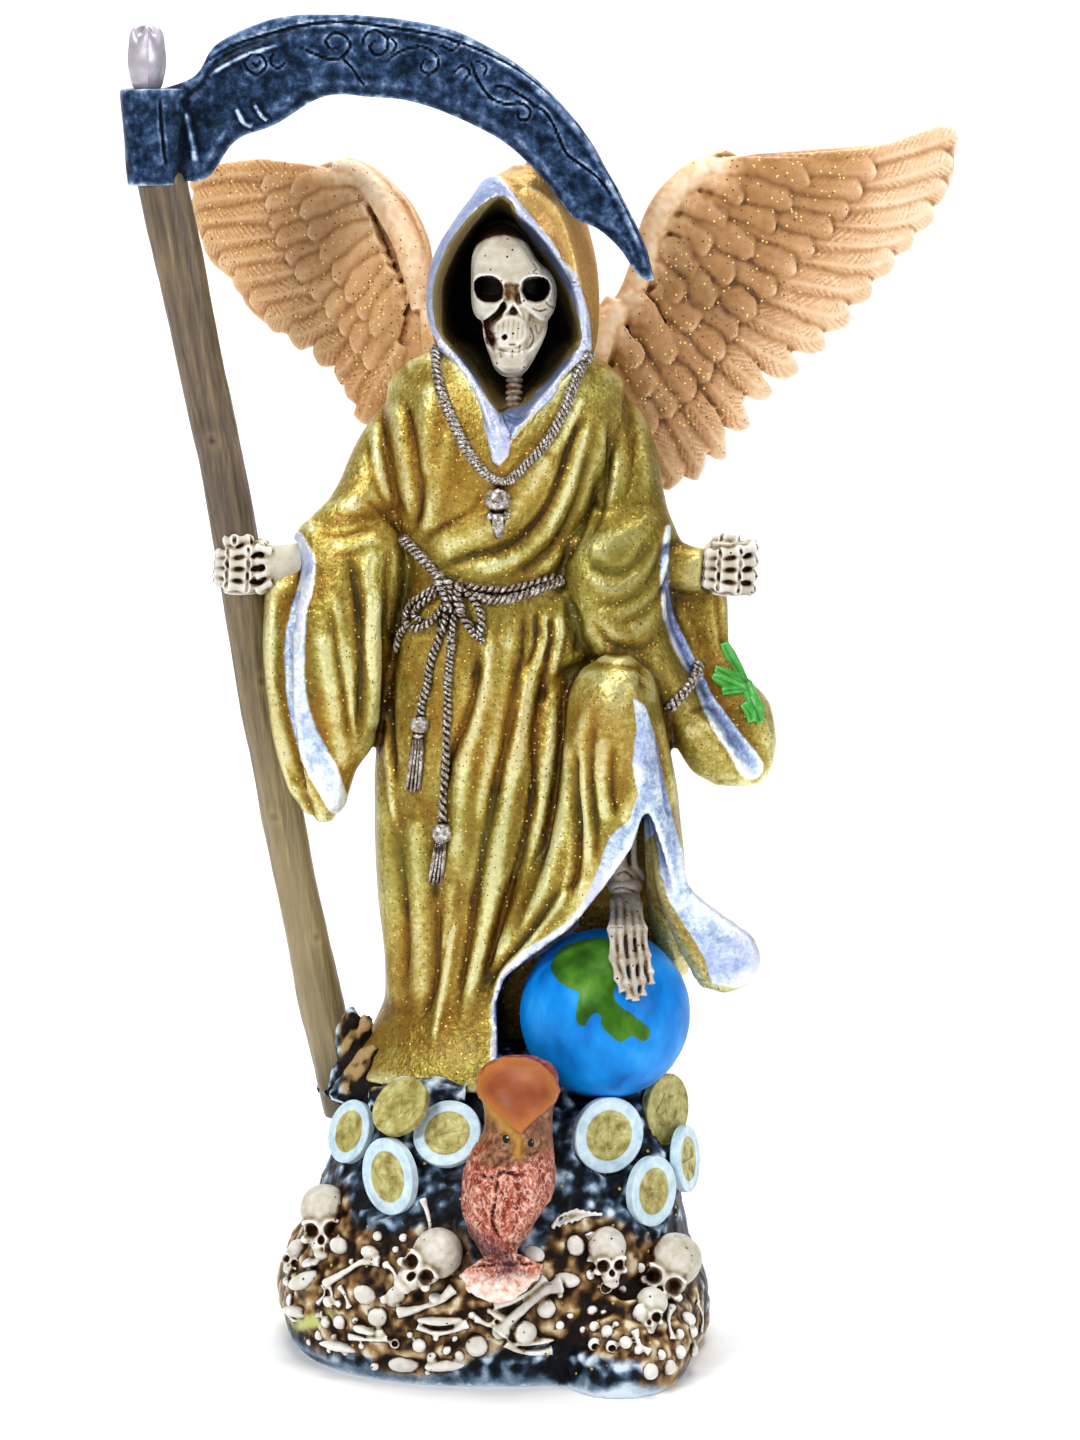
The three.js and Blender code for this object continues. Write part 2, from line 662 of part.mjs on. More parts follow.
// The owl stands at the front of the mound, on its spread tail.
const owlForm = new Column(
  [
    [24.4, -2.6, 9, -51.5, -40],
    [27, -4.8, 11.2, -51, -38],
    [30.5, -1.6, 8.4, -47, -36],
    [34, -2.8, 9.4, -46, -30],
    [40, -4.8, 12.8, -46.5, -28],
    [46, -4.6, 13.6, -45.5, -26],
    [52, -1.8, 13.2, -43, -26],
    [57, -0.8, 14, -43, -26],
    [61, -2, 15.2, -43, -25],
    [66, -2.4, 15.9, -40, -24],
    [70.4, 1, 13, -34, -26],
  ],
  { around: 14, levels: 12, relief: (angle, z) => (z > 33 && z < 55 ? 0.3 * Math.sin(angle * 7 + z) : 0) },
);
const owl = () =>
  join([
    owlForm.solid(),
    oval([3, 3, 6.4], [5.6, -42, 62], { across: 6, up: 4, rotation: [-0.3, 0, 0] }),
    oval([1, 1.6, 2], [6.4, -44, 54.8], { across: 5, up: 4 }),
  ]);

// Cords and folds lie on the cloth: a belt with a bow and two hanging ends, and a necklace with a drop.
const clothFront = (x, z) => Math.min(skirt.front(x, z), torso.front(x, z), hood.front(x, z));
const onCloth = (points, lift) => points.map(([x, z]) => at(x, clothFront(x, z) - lift, z));
const BELT = [[-18, 182.5], [-10.8, 175.2], [-5, 172], [4, 172], [12, 173.5], [17, 176]];
const BOW_LEFT = [[-8, 172], [-14, 171], [-17.5, 166], [-13, 165], [-8, 170]];
const BOW_RIGHT = [[-6, 171], [-1, 168], [0.5, 162.5]];
const STRANDS = [
  { line: [[-8.5, 170], [-11.5, 160], [-14.5, 146]], drop: 15 },
  { line: [[-7.5, 170], [-9, 150], [-10, 124]], drop: 12 },
];
const NECKLACE = [
  [-11.5, 225],
  [-9.5, 213],
  [-5, 202],
  [1.5, 197],
  [8, 200],
  [15, 209],
  [20.5, 218],
  [22, 224],
];
function cords() {
  const strands = STRANDS.flatMap(({ line, drop }) => {
    const [x, z] = line.at(-1);
    const [bead, end] = onCloth([[x, z], [x - 0.8, z - drop]], 1);
    return [
      tube(onCloth(line, 0.9), STRAND_RADIUS, { sides: 3, steps: 3 }),
      placed(new THREE.SphereGeometry(2.3 * UNIT, 5, 4), bead),
      limb([bead, end], [1.5, 1.8], { sides: 4, steps: 1 }),
    ];
  });
  const [drop, dropTip] = onCloth([[1.5, 193], [1.6, 185.5]], 1);
  return join([
    tube(onCloth(BELT, 1), CORD_RADIUS, { sides: 4, steps: 6 }),
    tube(onCloth(BOW_LEFT, 1.4), STRAND_RADIUS, { sides: 3, steps: 7 }),
    tube(onCloth(BOW_RIGHT, 1.4), STRAND_RADIUS, { sides: 3, steps: 3 }),
    tube(onCloth(NECKLACE, 0.6), CORD_RADIUS, { sides: 4, steps: 10 }),
    placed(new THREE.SphereGeometry(2.7 * UNIT, 6, 4), onCloth([[-7.4, 171.5]], 1.4)[0]),
    placed(new THREE.SphereGeometry(2.9 * UNIT, 6, 4), drop),
    limb([drop, dropTip], [2, 1], { sides: 4, steps: 1 }),
    ...strands,
  ]);
}

// Broad folds cross the chest to the right hip, and hang at the left arm.
const CHEST_FOLDS = [
  [[27, 214], [22, 198], [10, 187], [-4, 180]],
  [[19, 211], [12, 196], [2, 188], [-10, 182]],
  [[28, 202], [24, 190], [16, 180]],
  [[-17, 214], [-19, 200], [-18, 187]],
];
const chestFolds = () =>
  CHEST_FOLDS.map((line) => strip(onCloth(line, 0.2), [1, 2.2, 2, 1], 1.9, { sides: 4, steps: 4 }));

// The lapels of the hood run down to a point on the chest.
const LAPELS = [
  [[-9, 222], [-5, 214], [2.6, 200.5]],
  [[17, 219], [11, 212], [3.6, 200.5]],
];
const lapels = () =>
  LAPELS.map((line) => strip(onCloth(line, 0.4), [1.6, 2.4, 1.2], 1.8, { sides: 4, steps: 3 }));

// The green sprig on the inner layer of the right-hand sleeve.
const SPRIG = [
  [[54.5, 161], [56.5, 152]],
  [[50, 155.5], [56.5, 151]],
  [[56.5, 151], [60, 143]],
];
const sprig = () =>
  SPRIG.map((line) => {
    const points = line.map(([x, z]) => at(x, rightSleeveBack.front(x, z) - 0.6, z));
    return limb(points, [2, 1.6], { sides: 5, steps: 1 });
  });

function figure() {
  const robe = join([skirt.solid(), knee.solid()]).subtract(hemGap());
  const leftBell = leftSleeve.solid().add(leftSleeveBack.solid()).subtract(leftMouth.solid());
  const clothed = join([robe, torso.solid(), ...arms(), ...chestFolds(), hood.solid(), ...lapels()]);
  const [gripX, gripY] = rowAt(STAFF_LINE, HAND_HEIGHT);
  // Everything is cut off level on the underside.
  const below = placed(new THREE.BoxGeometry(400 * UNIT, 400 * UNIT, 60 * UNIT), at(0, 0, -30));
  return join([
    clothed.subtract(faceHollow.solid()),
    leftBell,
    rightSleeve.solid(),
    rightSleeveBack.solid(),
    skull(),
    spine(),
    hemFlap(),
    fist([gripX + 0.6, gripY - 1, HAND_HEIGHT], 4.6, 0.06),
    fist([53.6, -3, HAND_HEIGHT + 0.3], 4.2, 0),
    oval([4.4, 4, 5], [-48.2, 0, HAND_HEIGHT + 1], { up: 4 }),
    staff(),
    blade(),
    placed(new THREE.SphereGeometry(GLOBE_RADIUS, 16, 11), at(...GLOBE)),
    foot(),
    rock.solid(),
    rockToe.solid(),
    ...coins(),
    ...SMALL_SKULLS.map(smallSkull),
    ...LONG_BONES.map(longBone),
    ...pebbles(),
    owl(),
    cords(),
    ...sprig(),
  ]).subtract(below);
}

// Wings. A line across a wing runs from the arm, over two rows of short feathers, to a long feather's end.
const RIGHT_WING = {
  arm: [
    [51.5, 26, 267.2],
    [44, 25, 262.4],
    [37, 22.5, 254.2],
    [31.5, 20.5, 242],
    [26.5, 19, 230],
    [25, 18, 214],
    [23, 17, 198],
  ],
  ends: [
    [105.6, 38, 275],
    [108.8, 39, 271],
    [107.6, 38.5, 261.4],
    [101, 37, 250.4],
    [92.8, 35, 241.6],
    [83, 33, 233],
    [72, 30.5, 225.4],
    [63.4, 28, 216.4],
    [57.6, 26, 205.4],
    [49, 24, 195.2],
    [39.8, 21, 188.4],
    [30, 19, 187.6],
  ],
  root: [[29, 20, 234], [21, 16.5, 220], [14, 13.5, 204]],
};
const LEFT_WING = {
  arm: [
    [-36, 43, 266],
    [-31, 41, 265],
    [-24.5, 37, 261],
    [-18.5, 33, 255],
    [-14, 28, 243],
    [-12.5, 23, 228],
    [-13, 19, 212],
  ],
  ends: [
    [-66.5, 62, 264.8],
    [-72.4, 64, 261],
    [-74.2, 64.5, 254],
    [-72.6, 63.5, 247],
    [-67.6, 61, 242],
    [-62.4, 58, 236.6],
    [-58.2, 54, 229.4],
    [-50.6, 50, 225],
    [-43.2, 46, 221],
    [-36.6, 40, 215.6],
    [-29.4, 32, 207.4],
    [-20.4, 22, 203],
  ],
  root: [[-13, 25, 234], [-10, 18, 219], [-6, 14, 204]],
};
// Shares of the way across at which a row of feathers ends, and how deep the notches between feathers are.
const ROW_ENDS = [0.3, 0.58];
const FEATHER_NOTCH = 0.06;
const LEADING_SAG = 2.4; // the first feather dips between the wing's wrist and its tip
const EDGE_WIDTH = 2.2; // the rounded leading edge

// The figure's own forms, grown by the glue gap, trim the wings where they meet its back.
const wrapped = [torso, hood, skirt, leftSleeve, rightSleeve].map((form) => form.solid(GLUE_GAP));
const trims = join([...wrapped, ...arms(GLUE_GAP)]);

function wing({ arm, ends, root }) {
  const [armLine, endLine] = [new THREE.CatmullRomCurve3(all(arm)), new THREE.CatmullRomCurve3(all(ends))];
  const feathers = ends.length - 2;
  const half = (WING_THICKNESS * UNIT) / 2;
  const step = FEATHER_STEP * UNIT;
  const rings = [];
  for (let i = 0; i < feathers; i++)
    for (const [share, reach, crest] of [[0, 1 - FEATHER_NOTCH, 0.35], [0.3, 0.985, 1], [0.68, 1, 0.9]]) {
      const t = (i + share) / (feathers - 1 + 0.68);
      const [base, end] = [armLine.getPoint(t), endLine.getPoint(t)];
      const width = base.distanceTo(end);
      const lift = crest * step;
      const thick = [half, 0.8 * half + lift, 0.55 * half + lift, 0.3 * half + 0.6 * lift];
      const rows = ROW_ENDS.map((row) => row - (1 - reach) * 0.5);
      const edge = (EDGE_WIDTH * UNIT) / width;
      const front = [
        [0, 0.3 * half],
        [edge, thick[0]],
        [rows[0], thick[1] + step],
        [rows[0] + 0.02, thick[1]],
        [rows[1], thick[2] + step],
        [rows[1] + 0.02, thick[2]],
        [reach, thick[3]],
      ];
      const back = [
        [reach, -0.15 * half],
        [0.5, -0.6 * half],
        [edge, -half],
      ];
      rings.push(
        [...front, ...back].map(([across, rise]) => {
          const sag = 4 * across * (1 - across) * LEADING_SAG * UNIT * Math.max(0, 1 - 6 * t);
          return base.clone().lerp(end, across).add(new THREE.Vector3(0, -rise, -sag));
        }),
      );
    }
  return join([loft(rings), limb(all(root), [3.4, 5, 4], { steps: 4 })]).subtract(trims);
}

// Painted finishes.
const gold = new THREE.MeshStandardMaterial({ color: 0xb08d2a, roughness: 0.35, metalness: 0.6 });
const peach = new THREE.MeshStandardMaterial({ color: 0xe0aa82, roughness: 0.5, metalness: 0 });

// The joins leave many tiny faces. Points closer together than a casting shows become one,
// where that neither folds a face over nor pinches the skin, and the flat underside stays flat.
function thinned(points, faces, closest) {
  const around = points.map(() => new Set());
  faces.forEach((face, f) => face.forEach((v) => around[v].add(f)));
  const neighbours = (v) => new Set([...around[v]].flatMap((f) => faces[f]).filter((w) => w !== v));
  const normal = (face, moved, place) => {
    const [a, b, c] = face.map((v) => (moved.includes(v) ? place : points[v]));
    return b.clone().sub(a).cross(c.clone().sub(a));
  };
  const collapse = (keep, drop) => {
    const shared = [...around[keep]].filter((f) => around[drop].has(f));
    const near = neighbours(keep);
    const common = [...neighbours(drop)].filter((v) => near.has(v));
    if (shared.length !== 2 || common.length !== 2) return false;
    const place = points[keep].clone().lerp(points[drop], 0.5);
    if (Math.min(points[keep].z, points[drop].z) < 1e-6) place.z = 0;
    const bent = new Set([...around[keep], ...around[drop]].filter((f) => !shared.includes(f)));
    for (const f of bent) {
      const [was, is] = [normal(faces[f], [], place), normal(faces[f], [keep, drop], place)];
      if (is.dot(was) < 0.6 * is.length() * was.length() || is.length() < 1e-3) return false;
    }
    points[keep] = place;
    for (const f of around[drop]) faces[f] = faces[f].map((v) => (v === drop ? keep : v));
    for (const f of bent) around[keep].add(f);
    for (const f of shared) {
      for (const v of faces[f]) around[v].delete(f);
      faces[f] = null;
    }
    around[drop].clear();
    return true;
  };
  for (let limit = closest / 4; limit <= closest; limit += closest / 4)
    for (let f = 0; f < faces.length; f++) {
      const face = faces[f];
      if (!face) continue;
      const k = [0, 1, 2].find((i) => points[face[i]].distanceTo(points[face[(i + 1) % 3]]) < limit);
      if (k !== undefined) collapse(face[k], face[(k + 1) % 3]);
    }
  return faces.filter(Boolean);
}

function meshOf(name, made, material) {
  const { vertProperties, triVerts, numProp } = made.getMesh();
  const points = [];
  for (let i = 0; i < vertProperties.length; i += numProp)
    points.push(new THREE.Vector3(...vertProperties.subarray(i, i + 3)));
  const faces = [];
  for (let i = 0; i < triVerts.length; i += 3) faces.push([...triVerts.subarray(i, i + 3)]);
  const kept = thinned(points, faces, CLOSEST_POINTS);
  const used = [...new Set(kept.flat())];
  const place = new Map(used.map((v, i) => [v, i]));
  const geometry = new THREE.BufferGeometry().setFromPoints(used.map((v) => points[v]));
  geometry.setIndex(kept.flat().map((v) => place.get(v)));
  const mesh = new THREE.Mesh(geometry, material);
  mesh.name = name;
  return mesh;
}

const group = new THREE.Group();
group.add(meshOf("figure", figure(), gold));
group.add(meshOf("wing_right", wing(RIGHT_WING), peach));
group.add(meshOf("wing_left", wing(LEFT_WING), peach));

export default group;
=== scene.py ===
import math

import bpy
import bmesh
import numpy as np
from mathutils import Matrix, Vector, noise
from mathutils.bvhtree import BVHTree
from mathutils.kdtree import KDTree

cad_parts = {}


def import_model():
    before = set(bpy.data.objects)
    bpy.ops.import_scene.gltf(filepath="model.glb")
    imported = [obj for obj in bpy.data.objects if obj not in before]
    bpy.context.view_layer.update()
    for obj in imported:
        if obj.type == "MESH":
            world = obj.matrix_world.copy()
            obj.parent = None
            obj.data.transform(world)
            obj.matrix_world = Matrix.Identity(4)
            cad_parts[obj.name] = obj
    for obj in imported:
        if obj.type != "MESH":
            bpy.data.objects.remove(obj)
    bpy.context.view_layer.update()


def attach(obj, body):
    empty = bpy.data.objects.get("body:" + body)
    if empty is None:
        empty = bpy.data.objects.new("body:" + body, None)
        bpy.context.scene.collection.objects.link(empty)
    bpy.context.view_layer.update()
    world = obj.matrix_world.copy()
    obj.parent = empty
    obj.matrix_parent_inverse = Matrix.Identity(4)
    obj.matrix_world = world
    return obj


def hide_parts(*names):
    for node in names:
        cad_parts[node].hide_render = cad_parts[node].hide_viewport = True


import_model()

# Camera, at the photograph's place: 0.93 m away and 9 degrees above the middle of the figure.
# Places read off the photograph are in its own pixels, 1080 across and 1440 down, and each is about 0.222 mm there.
FRAME_CENTRE = np.array((540.0, 720.0))
FOCAL_PIXELS = 4150
SENSOR = 36
MM_PER_PIXEL = 0.222
TILT = math.radians(9)
AIM = np.array((0.0112, 0, 0.142))
ahead = np.array((0, math.cos(TILT), -math.sin(TILT)))
upward = np.array((0, math.sin(TILT), math.cos(TILT)))
eye = AIM - 0.93 * ahead
bpy.ops.object.camera_add(location=eye, rotation=(math.pi / 2 - TILT, 0, 0))
camera = bpy.context.object
camera.data.lens = FOCAL_PIXELS / (2 * FRAME_CENTRE[1]) * SENSOR
camera.data.sensor_width = SENSOR
camera.data.clip_end = 20
bpy.context.scene.camera = camera
bpy.context.scene.view_settings.view_transform = "Standard"


def seen_at(points):
    """The photograph's pixels at which points, in metres, are seen."""
    away = points - eye
    depth = away @ ahead
    return FRAME_CENTRE + FOCAL_PIXELS * np.stack([away[:, 0] / depth, -(away @ upward) / depth], axis=1)


def cast(carrier, pixel):
    """The point of a carrier, and its outward direction, that is seen at a pixel."""
    across, down = (np.array(pixel) - FRAME_CENTRE) / FOCAL_PIXELS
    direction = Vector(ahead + across * np.array((1, 0, 0)) - down * upward).normalized()
    point, normal, _, _ = carrier.ray_cast(Vector(eye), direction)
    return np.array(point), np.array(normal)


# Studio: a pale floor that curves up behind, a large soft key from the upper left, a fill and a top light.
FLOOR_COLOUR = 0xFAFAFA


def shade(code):
    """An sRGB hex colour as the linear colour that a shader wants."""
    channels = [((code >> shift) & 255) / 255 for shift in (16, 8, 0)]
    return [c / 12.92 if c <= 0.04045 else ((c + 0.055) / 1.055) ** 2.4 for c in channels] + [1]


def add(tree, kind, inputs=None, stops=None, **settings):
    """Adds a node with its settings. Its inputs are values, or the sockets that feed them."""
    node = tree.nodes.new(kind)
    for name, value in settings.items():
        setattr(node, name, value)
    for name, value in (inputs or {}).items():
        if isinstance(value, bpy.types.NodeSocket):
            tree.links.new(value, node.inputs[name])
        else:
            node.inputs[name].default_value = value
    if stops:
        marks = node.color_ramp.elements
        while len(marks) < len(stops):
            marks.new(1)
        for element, (place, colour) in zip(marks, stops):
            element.position = place
            element.color = shade(colour)
    return node


def maths(tree, kind, *values, clamp=False):
    """What a Math node of one kind makes of its values."""
    return add(tree, "ShaderNodeMath", dict(enumerate(values)), operation=kind, use_clamp=clamp).outputs[0]


def ranged(tree, value, low, high, top=1.0, bottom=0.0, run="LINEAR"):
    """A value that runs from bottom to top while another runs from low to high."""
    stretch = {"Value": value, "From Min": low, "From Max": high, "To Min": bottom, "To Max": top}
    return add(tree, "ShaderNodeMapRange", stretch, interpolation_type=run).outputs["Result"]


def clouds(tree, place, scale, detail, roughness=0.5):
    """A cloudy pattern about 0.5, its scale in cycles to the metre."""
    pattern = {"Vector": place, "Scale": scale, "Detail": detail, "Roughness": roughness}
    return add(tree, "ShaderNodeTexNoise", pattern).outputs["Fac"]


def field(tree, name):
    """What was recorded on a piece under a name."""
    return add(tree, "ShaderNodeAttribute", attribute_name=name).outputs["Fac"]


def ramp(tree, level, colours):
    """The colour of a level, from a list of levels and sRGB colours."""
    return add(tree, "ShaderNodeValToRGB", {"Fac": level}, colours).outputs["Color"]


def painted(tree, shader, colour, height=None, strength=0.0, distance=0.0):
    """Joins a paint's colour, and its fine relief in metres, to its shader."""
    tree.links.new(colour, shader.inputs["Base Color"])
    if height:
        bump = add(tree, "ShaderNodeBump", {"Height": height, "Strength": strength, "Distance": distance})
        tree.links.new(bump.outputs["Normal"], shader.inputs["Normal"])


def coat(piece, paint):
    """Gives a piece one paint in place of any that it brought along."""
    piece.data.materials.clear()
    piece.data.materials.append(paint)


def smooth_coat(piece, paint):
    """Gives a rounded piece one paint, and smooth shading."""
    piece.data.shade_smooth()
    coat(piece, paint)


def new_material(name, **plain):
    """A Principled material, with its plain socket values, and its node tree and shader."""
    material = bpy.data.materials.new(name)
    material.use_nodes = True
    shader = material.node_tree.nodes["Principled BSDF"]
    for socket, value in plain.items():
        shader.inputs[socket.replace("_", " ")].default_value = value
    return material, material.node_tree, shader


paper, paper_tree, paper_shader = new_material("matt_paper_floor", Roughness=0.9)
grain = add(paper_tree, "ShaderNodeTexNoise", {"Scale": 400, "Detail": 2})
tone = add(paper_tree, "ShaderNodeValToRGB", {"Fac": grain.outputs["Fac"]}, [(0.3, 0xF6F6F6), (0.7, FLOOR_COLOUR)])
paper_tree.links.new(tone.outputs["Color"], paper_shader.inputs["Base Color"])
# From behind, the paper can be seen through, so that the figure's back can be looked at too.
behind = add(paper_tree, "ShaderNodeNewGeometry").outputs["Backfacing"]
clear = add(paper_tree, "ShaderNodeBsdfTransparent").outputs[0]
one_way = add(paper_tree, "ShaderNodeMixShader", {0: behind, 1: paper_shader.outputs[0], 2: clear}).outputs[0]
paper_tree.links.new(one_way, paper_tree.nodes["Material Output"].inputs["Surface"])
sweep = [(-2.2, 0), (0.5, 0), (0.75, 0.02), (0.95, 0.09), (1.08, 0.22), (1.12, 0.4), (1.12, 2.4)]
floor_mesh = bpy.data.meshes.new("floor")
floor_mesh.from_pydata([(x, y, z) for x in (-2.2, 2.2) for y, z in sweep], [],
                       [(i, i + len(sweep), i + len(sweep) + 1, i + 1) for i in range(len(sweep) - 1)])
floor = bpy.data.objects.new("floor", floor_mesh)
bpy.context.collection.objects.link(floor)
floor_mesh.shade_smooth()
floor_mesh.materials.append(paper)

LIGHTS = [
    ("key", (-0.7, -0.95, 0.85), 0.4, 10.5),
    ("fill", (0.95, -0.7, 0.5), 0.5, 4),
    ("top", (0.1, -0.1, 1.3), 0.6, 6),
    ("backdrop", (0, 0.45, 1.5), 0.9, 16),
]
for name, place, size, power in LIGHTS:
    bpy.ops.object.light_add(type="AREA", location=place)
    light = bpy.context.object
    light.name = name
    light.data.size = size
    light.data.energy = power
    light.rotation_euler = (Vector((0, 1.1 * (place[1] > 0.4), 0.15))
                            - Vector(place)).to_track_quat("-Z", "Y").to_euler()
world = bpy.data.worlds.new("studio")
bpy.context.scene.world = world
world.use_nodes = True
world.node_tree.nodes["Background"].inputs["Color"].default_value = shade(0xF2F5FA)
world.node_tree.nodes["Background"].inputs["Strength"].default_value = 0.26

# Robe: the figure's hooded gown, one resin casting painted metallic gold and brushed olive over a brown wash.
# Its broad form is lofted, welded into one skin and then carved with the folds that the photograph shows.
ROBE_GRID = 0.00078
SKIRT = [
    (61.5, -33, 42, -23, 26.5), (66, -30.4, 42, -22.5, 26.5), (72, -26.6, 42.3, -20.5, 26), (79, -24, 43, -19, 25.5),
    (88, -24.2, 43.5, -17.5, 25), (100, -25.6, 43.5, -16.5, 24), (118, -26.2, 42, -16.5, 23),
    (135, -25.8, 38, -16.5, 21), (150, -24.5, 30, -16, 19), (165, -22, 24, -15, 16), (177, -19.5, 18, -13.5, 13),
]
KNEE = [
    (56, -2.5, 44, -28, 10), (70, -2.5, 44, -28, 10), (82, -2.5, 44, -27.5, 10), (93, -1, 44, -27.5, 10),
    (105, 5, 44, -28, 10), (118, 11, 43, -28.5, 10), (130, 14.5, 41.5, -29, 8), (140, 16, 39.5, -30, 4),
    (150, 17.5, 37.3, -31, -1), (155.5, 20, 35.5, -29.5, -6), (159, 24.5, 31.5, -25, -13),
]
TORSO = [
    (168, -19.5, 18, -13.5, 13), (180, -20, 18.5, -13.5, 13), (190, -21, 22, -15.5, 14), (200, -22, 26, -16.5, 15),
    (210, -23, 29, -16, 16), (217, -22.5, 30, -14.5, 16), (222, -18, 26, -12, 14), (227, -9, 18, -8, 11),
]
LEFT_SLEEVE = [
    (119.5, -39, -35, -7, -2), (124, -40, -32.2, -9.5, 0), (131, -42.6, -30, -11, 3), (138, -44.5, -25.5, -11.5, 4.5),
    (148, -45.8, -24, -12, 5.5), (158, -45.8, -22, -12.5, 6.5), (167, -45, -20, -12.5, 7.5),
    (178, -41.5, -18, -11.5, 8.5), (185, -42.5, -18, -8.5, 8.5), (191, -36, -19, -5, 7),
]
LEFT_SLEEVE_BACK = [
    (121, -42, -34, -4.5, 0), (127, -45.5, -32, -6, 2), (142.5, -49.2, -30, -6.5, 4), (158, -50.6, -30, -6, 5),
    (171, -50.2, -30, -5, 6), (179, -46, -30, -3.5, 6),
]
LEFT_MOUTH = [
    (128, -60, -40, -8.2, -4.8), (140, -60, -38.5, -8.8, -5), (160, -60, -38.5, -9, -4.6),
    (172, -60, -40.5, -8.6, -3.8),
]
RIGHT_SLEEVE = [
    (128.5, 50, 58.5, -9.5, -5), (131, 45.5, 59, -11.5, -2), (136, 42, 56, -13, 1), (142, 38.5, 51, -14.5, 3),
    (148, 34, 47.3, -15.2, 5), (155, 26, 43.8, -15.5, 6), (165, 18, 39.8, -15, 8), (175, 16, 38.8, -14, 9),
    (183, 17, 39.6, -12, 9), (190, 22, 38, -8, 8),
]
RIGHT_SLEEVE_BACK = [
    (128, 52, 60, -7, 0), (131, 46, 62.5, -9, 2), (138, 42, 64, -9.5, 4), (146, 36, 62.6, -8, 5),
    (152, 34, 57, -5.5, 6), (158, 32, 53.4, -4.5, 6), (170, 30, 53, -3.5, 6), (179, 30, 50, -1.5, 6),
]
ARMS = [
    ([(-12, 5, 212), (-21, 4, 202), (-29, 1, 189), (-41, -1, 180)], [9, 8.6, 7.4, 4.6]),
    ([(20, 5, 213), (28, 5, 203), (31, 1, 190), (36, -2, 180)], [9, 8.6, 8.2, 7]),
    ([(30, 0, 180), (42, -2, 176.6), (47.5, -3, 176.2)], [6.6, 5.6, 4.8]),
]
FACE_HOLLOW = [
    (206.5, 4, 5.6, -40, -15), (209.5, 2.2, 8, -40, -11), (214, -0.4, 11.2, -40, -5), (219, -4.2, 16, -40, 3),
    (224, -8.2, 19.4, -40, 8), (230, -10.8, 20.8, -40, 10), (238, -10.8, 19.8, -40, 10), (246, -8, 15.4, -40, 8),
    (252, -4.2, 10.8, -40, 4), (256, -1, 6.4, -40, -2), (259, 1.4, 4, -40, -6),
]
HEM_OPENING = [(2, 50), (1.8, 70), (1.4, 81), (3.4, 87.5), (9.5, 93), (18, 100), (25, 109), (31.5, 118),
               (34.5, 127), (37.5, 118), (40.5, 108), (46, 97), (75, 92), (75, 50)]
FLAP = ([(36.5, -16, 131), (39, -17, 118), (41, -15.5, 106), (46.6, -13.5, 97), (52, -12.5, 90.5), (54, -12, 86.4),
         (55.2, -11.8, 83.2)],
        [2.5, 3.4, 3.8, 6.4, 8.4, 7.6, 3.4], 2.8)
FLAP_LINING = ([(37, -10, 128), (38.5, -9, 112), (40, -6, 98), (42, -2, 84)], [3, 4, 4.5, 3], 4)


def smooth_line(points, count):
    """A smooth line of evenly shared points through the given ones."""
    points = np.array(points, float)
    padded = np.vstack([2 * points[0] - points[1], points, 2 * points[-1] - points[-2]])
    places = np.linspace(0, len(points) - 1, count)
    k = np.minimum(places.astype(int), len(points) - 2)
    t = (places - k)[:, None]
    a, b, c, d = (padded[k + i] for i in range(4))
    return 0.5 * (2 * b + (c - a) * t + (2 * a - 5 * b + 4 * c - d) * t**2 + (3 * b - a - 3 * c + d) * t**3)


def shared(values, count):
    """A few values, spread evenly, as count values."""
    return np.interp(np.linspace(0, 1, count), np.linspace(0, 1, len(values)), values)


def new_piece(name, points, faces):
    """A mesh piece from points in millimetres."""
    mesh = bpy.data.meshes.new(name)
    mesh.from_pydata(np.asarray(points) / 1000, [], faces)
    piece = bpy.data.objects.new(name, mesh)
    bpy.context.collection.objects.link(piece)
    return piece


def skin(name, rings):
    """A closed piece over rings of equally many points."""
    rings = np.asarray(rings, float)
    count, around = rings.shape[:2]
    faces = [(i * around + j, i * around + (j + 1) % around, (i + 1) * around + (j + 1) % around, (i + 1) * around + j)
             for i in range(count - 1) for j in range(around)]
    faces += [tuple(range(around))[::-1], tuple(range((count - 1) * around, count * around))]
    piece = new_piece(name, rings.reshape(-1, 3), faces)
    face_outwards(piece)
    return piece


def face_outwards(piece):
    form = bmesh.new()
    form.from_mesh(piece.data)
    bmesh.ops.recalc_face_normals(form, faces=form.faces)
    form.to_mesh(piece.data)
    form.free()


def column(name, rows, around=64, levels=60, square=1.0):
    """An upright form from rows of height, left, right, front and back, smooth and never past its rows."""
    rows = np.array(rows, float)
    heights, steps = rows[:, 0], np.diff(rows[:, 0])
    slopes = np.diff(rows[:, 1:], axis=0) / steps[:, None]
    before, after = slopes[:-1], slopes[1:]
    same = before * after > 0
    inner = np.where(same, 2 * before * after / np.where(same, before + after, 1), 0)
    tangents = np.vstack([np.zeros(4), inner, np.zeros(4)])
    z = np.linspace(heights[0], heights[-1], levels)
    k = np.clip(np.searchsorted(heights, z, side="right") - 1, 0, len(steps) - 1)
    h = steps[k][:, None]
    t = ((z - heights[k]) / steps[k])[:, None]
    low, high = rows[k, 1:], rows[k + 1, 1:]
    edges = ((2 * t**3 - 3 * t**2 + 1) * low + (t**3 - 2 * t**2 + t) * h * tangents[k]
             + (3 * t**2 - 2 * t**3) * high + (t**3 - t**2) * h * tangents[k + 1])
    left, right, front, back = edges.T[:, :, None]
    turn = np.linspace(0, 2 * math.pi, around, endpoint=False)
    across, deep = (np.sign(w) * np.abs(w) ** square for w in (np.cos(turn), np.sin(turn)))
    x = (left + right) / 2 + (right - left) / 2 * across
    y = (front + back) / 2 + (back - front) / 2 * deep
    return skin(name, np.stack([x, y, np.broadcast_to(z[:, None], x.shape)], axis=2))


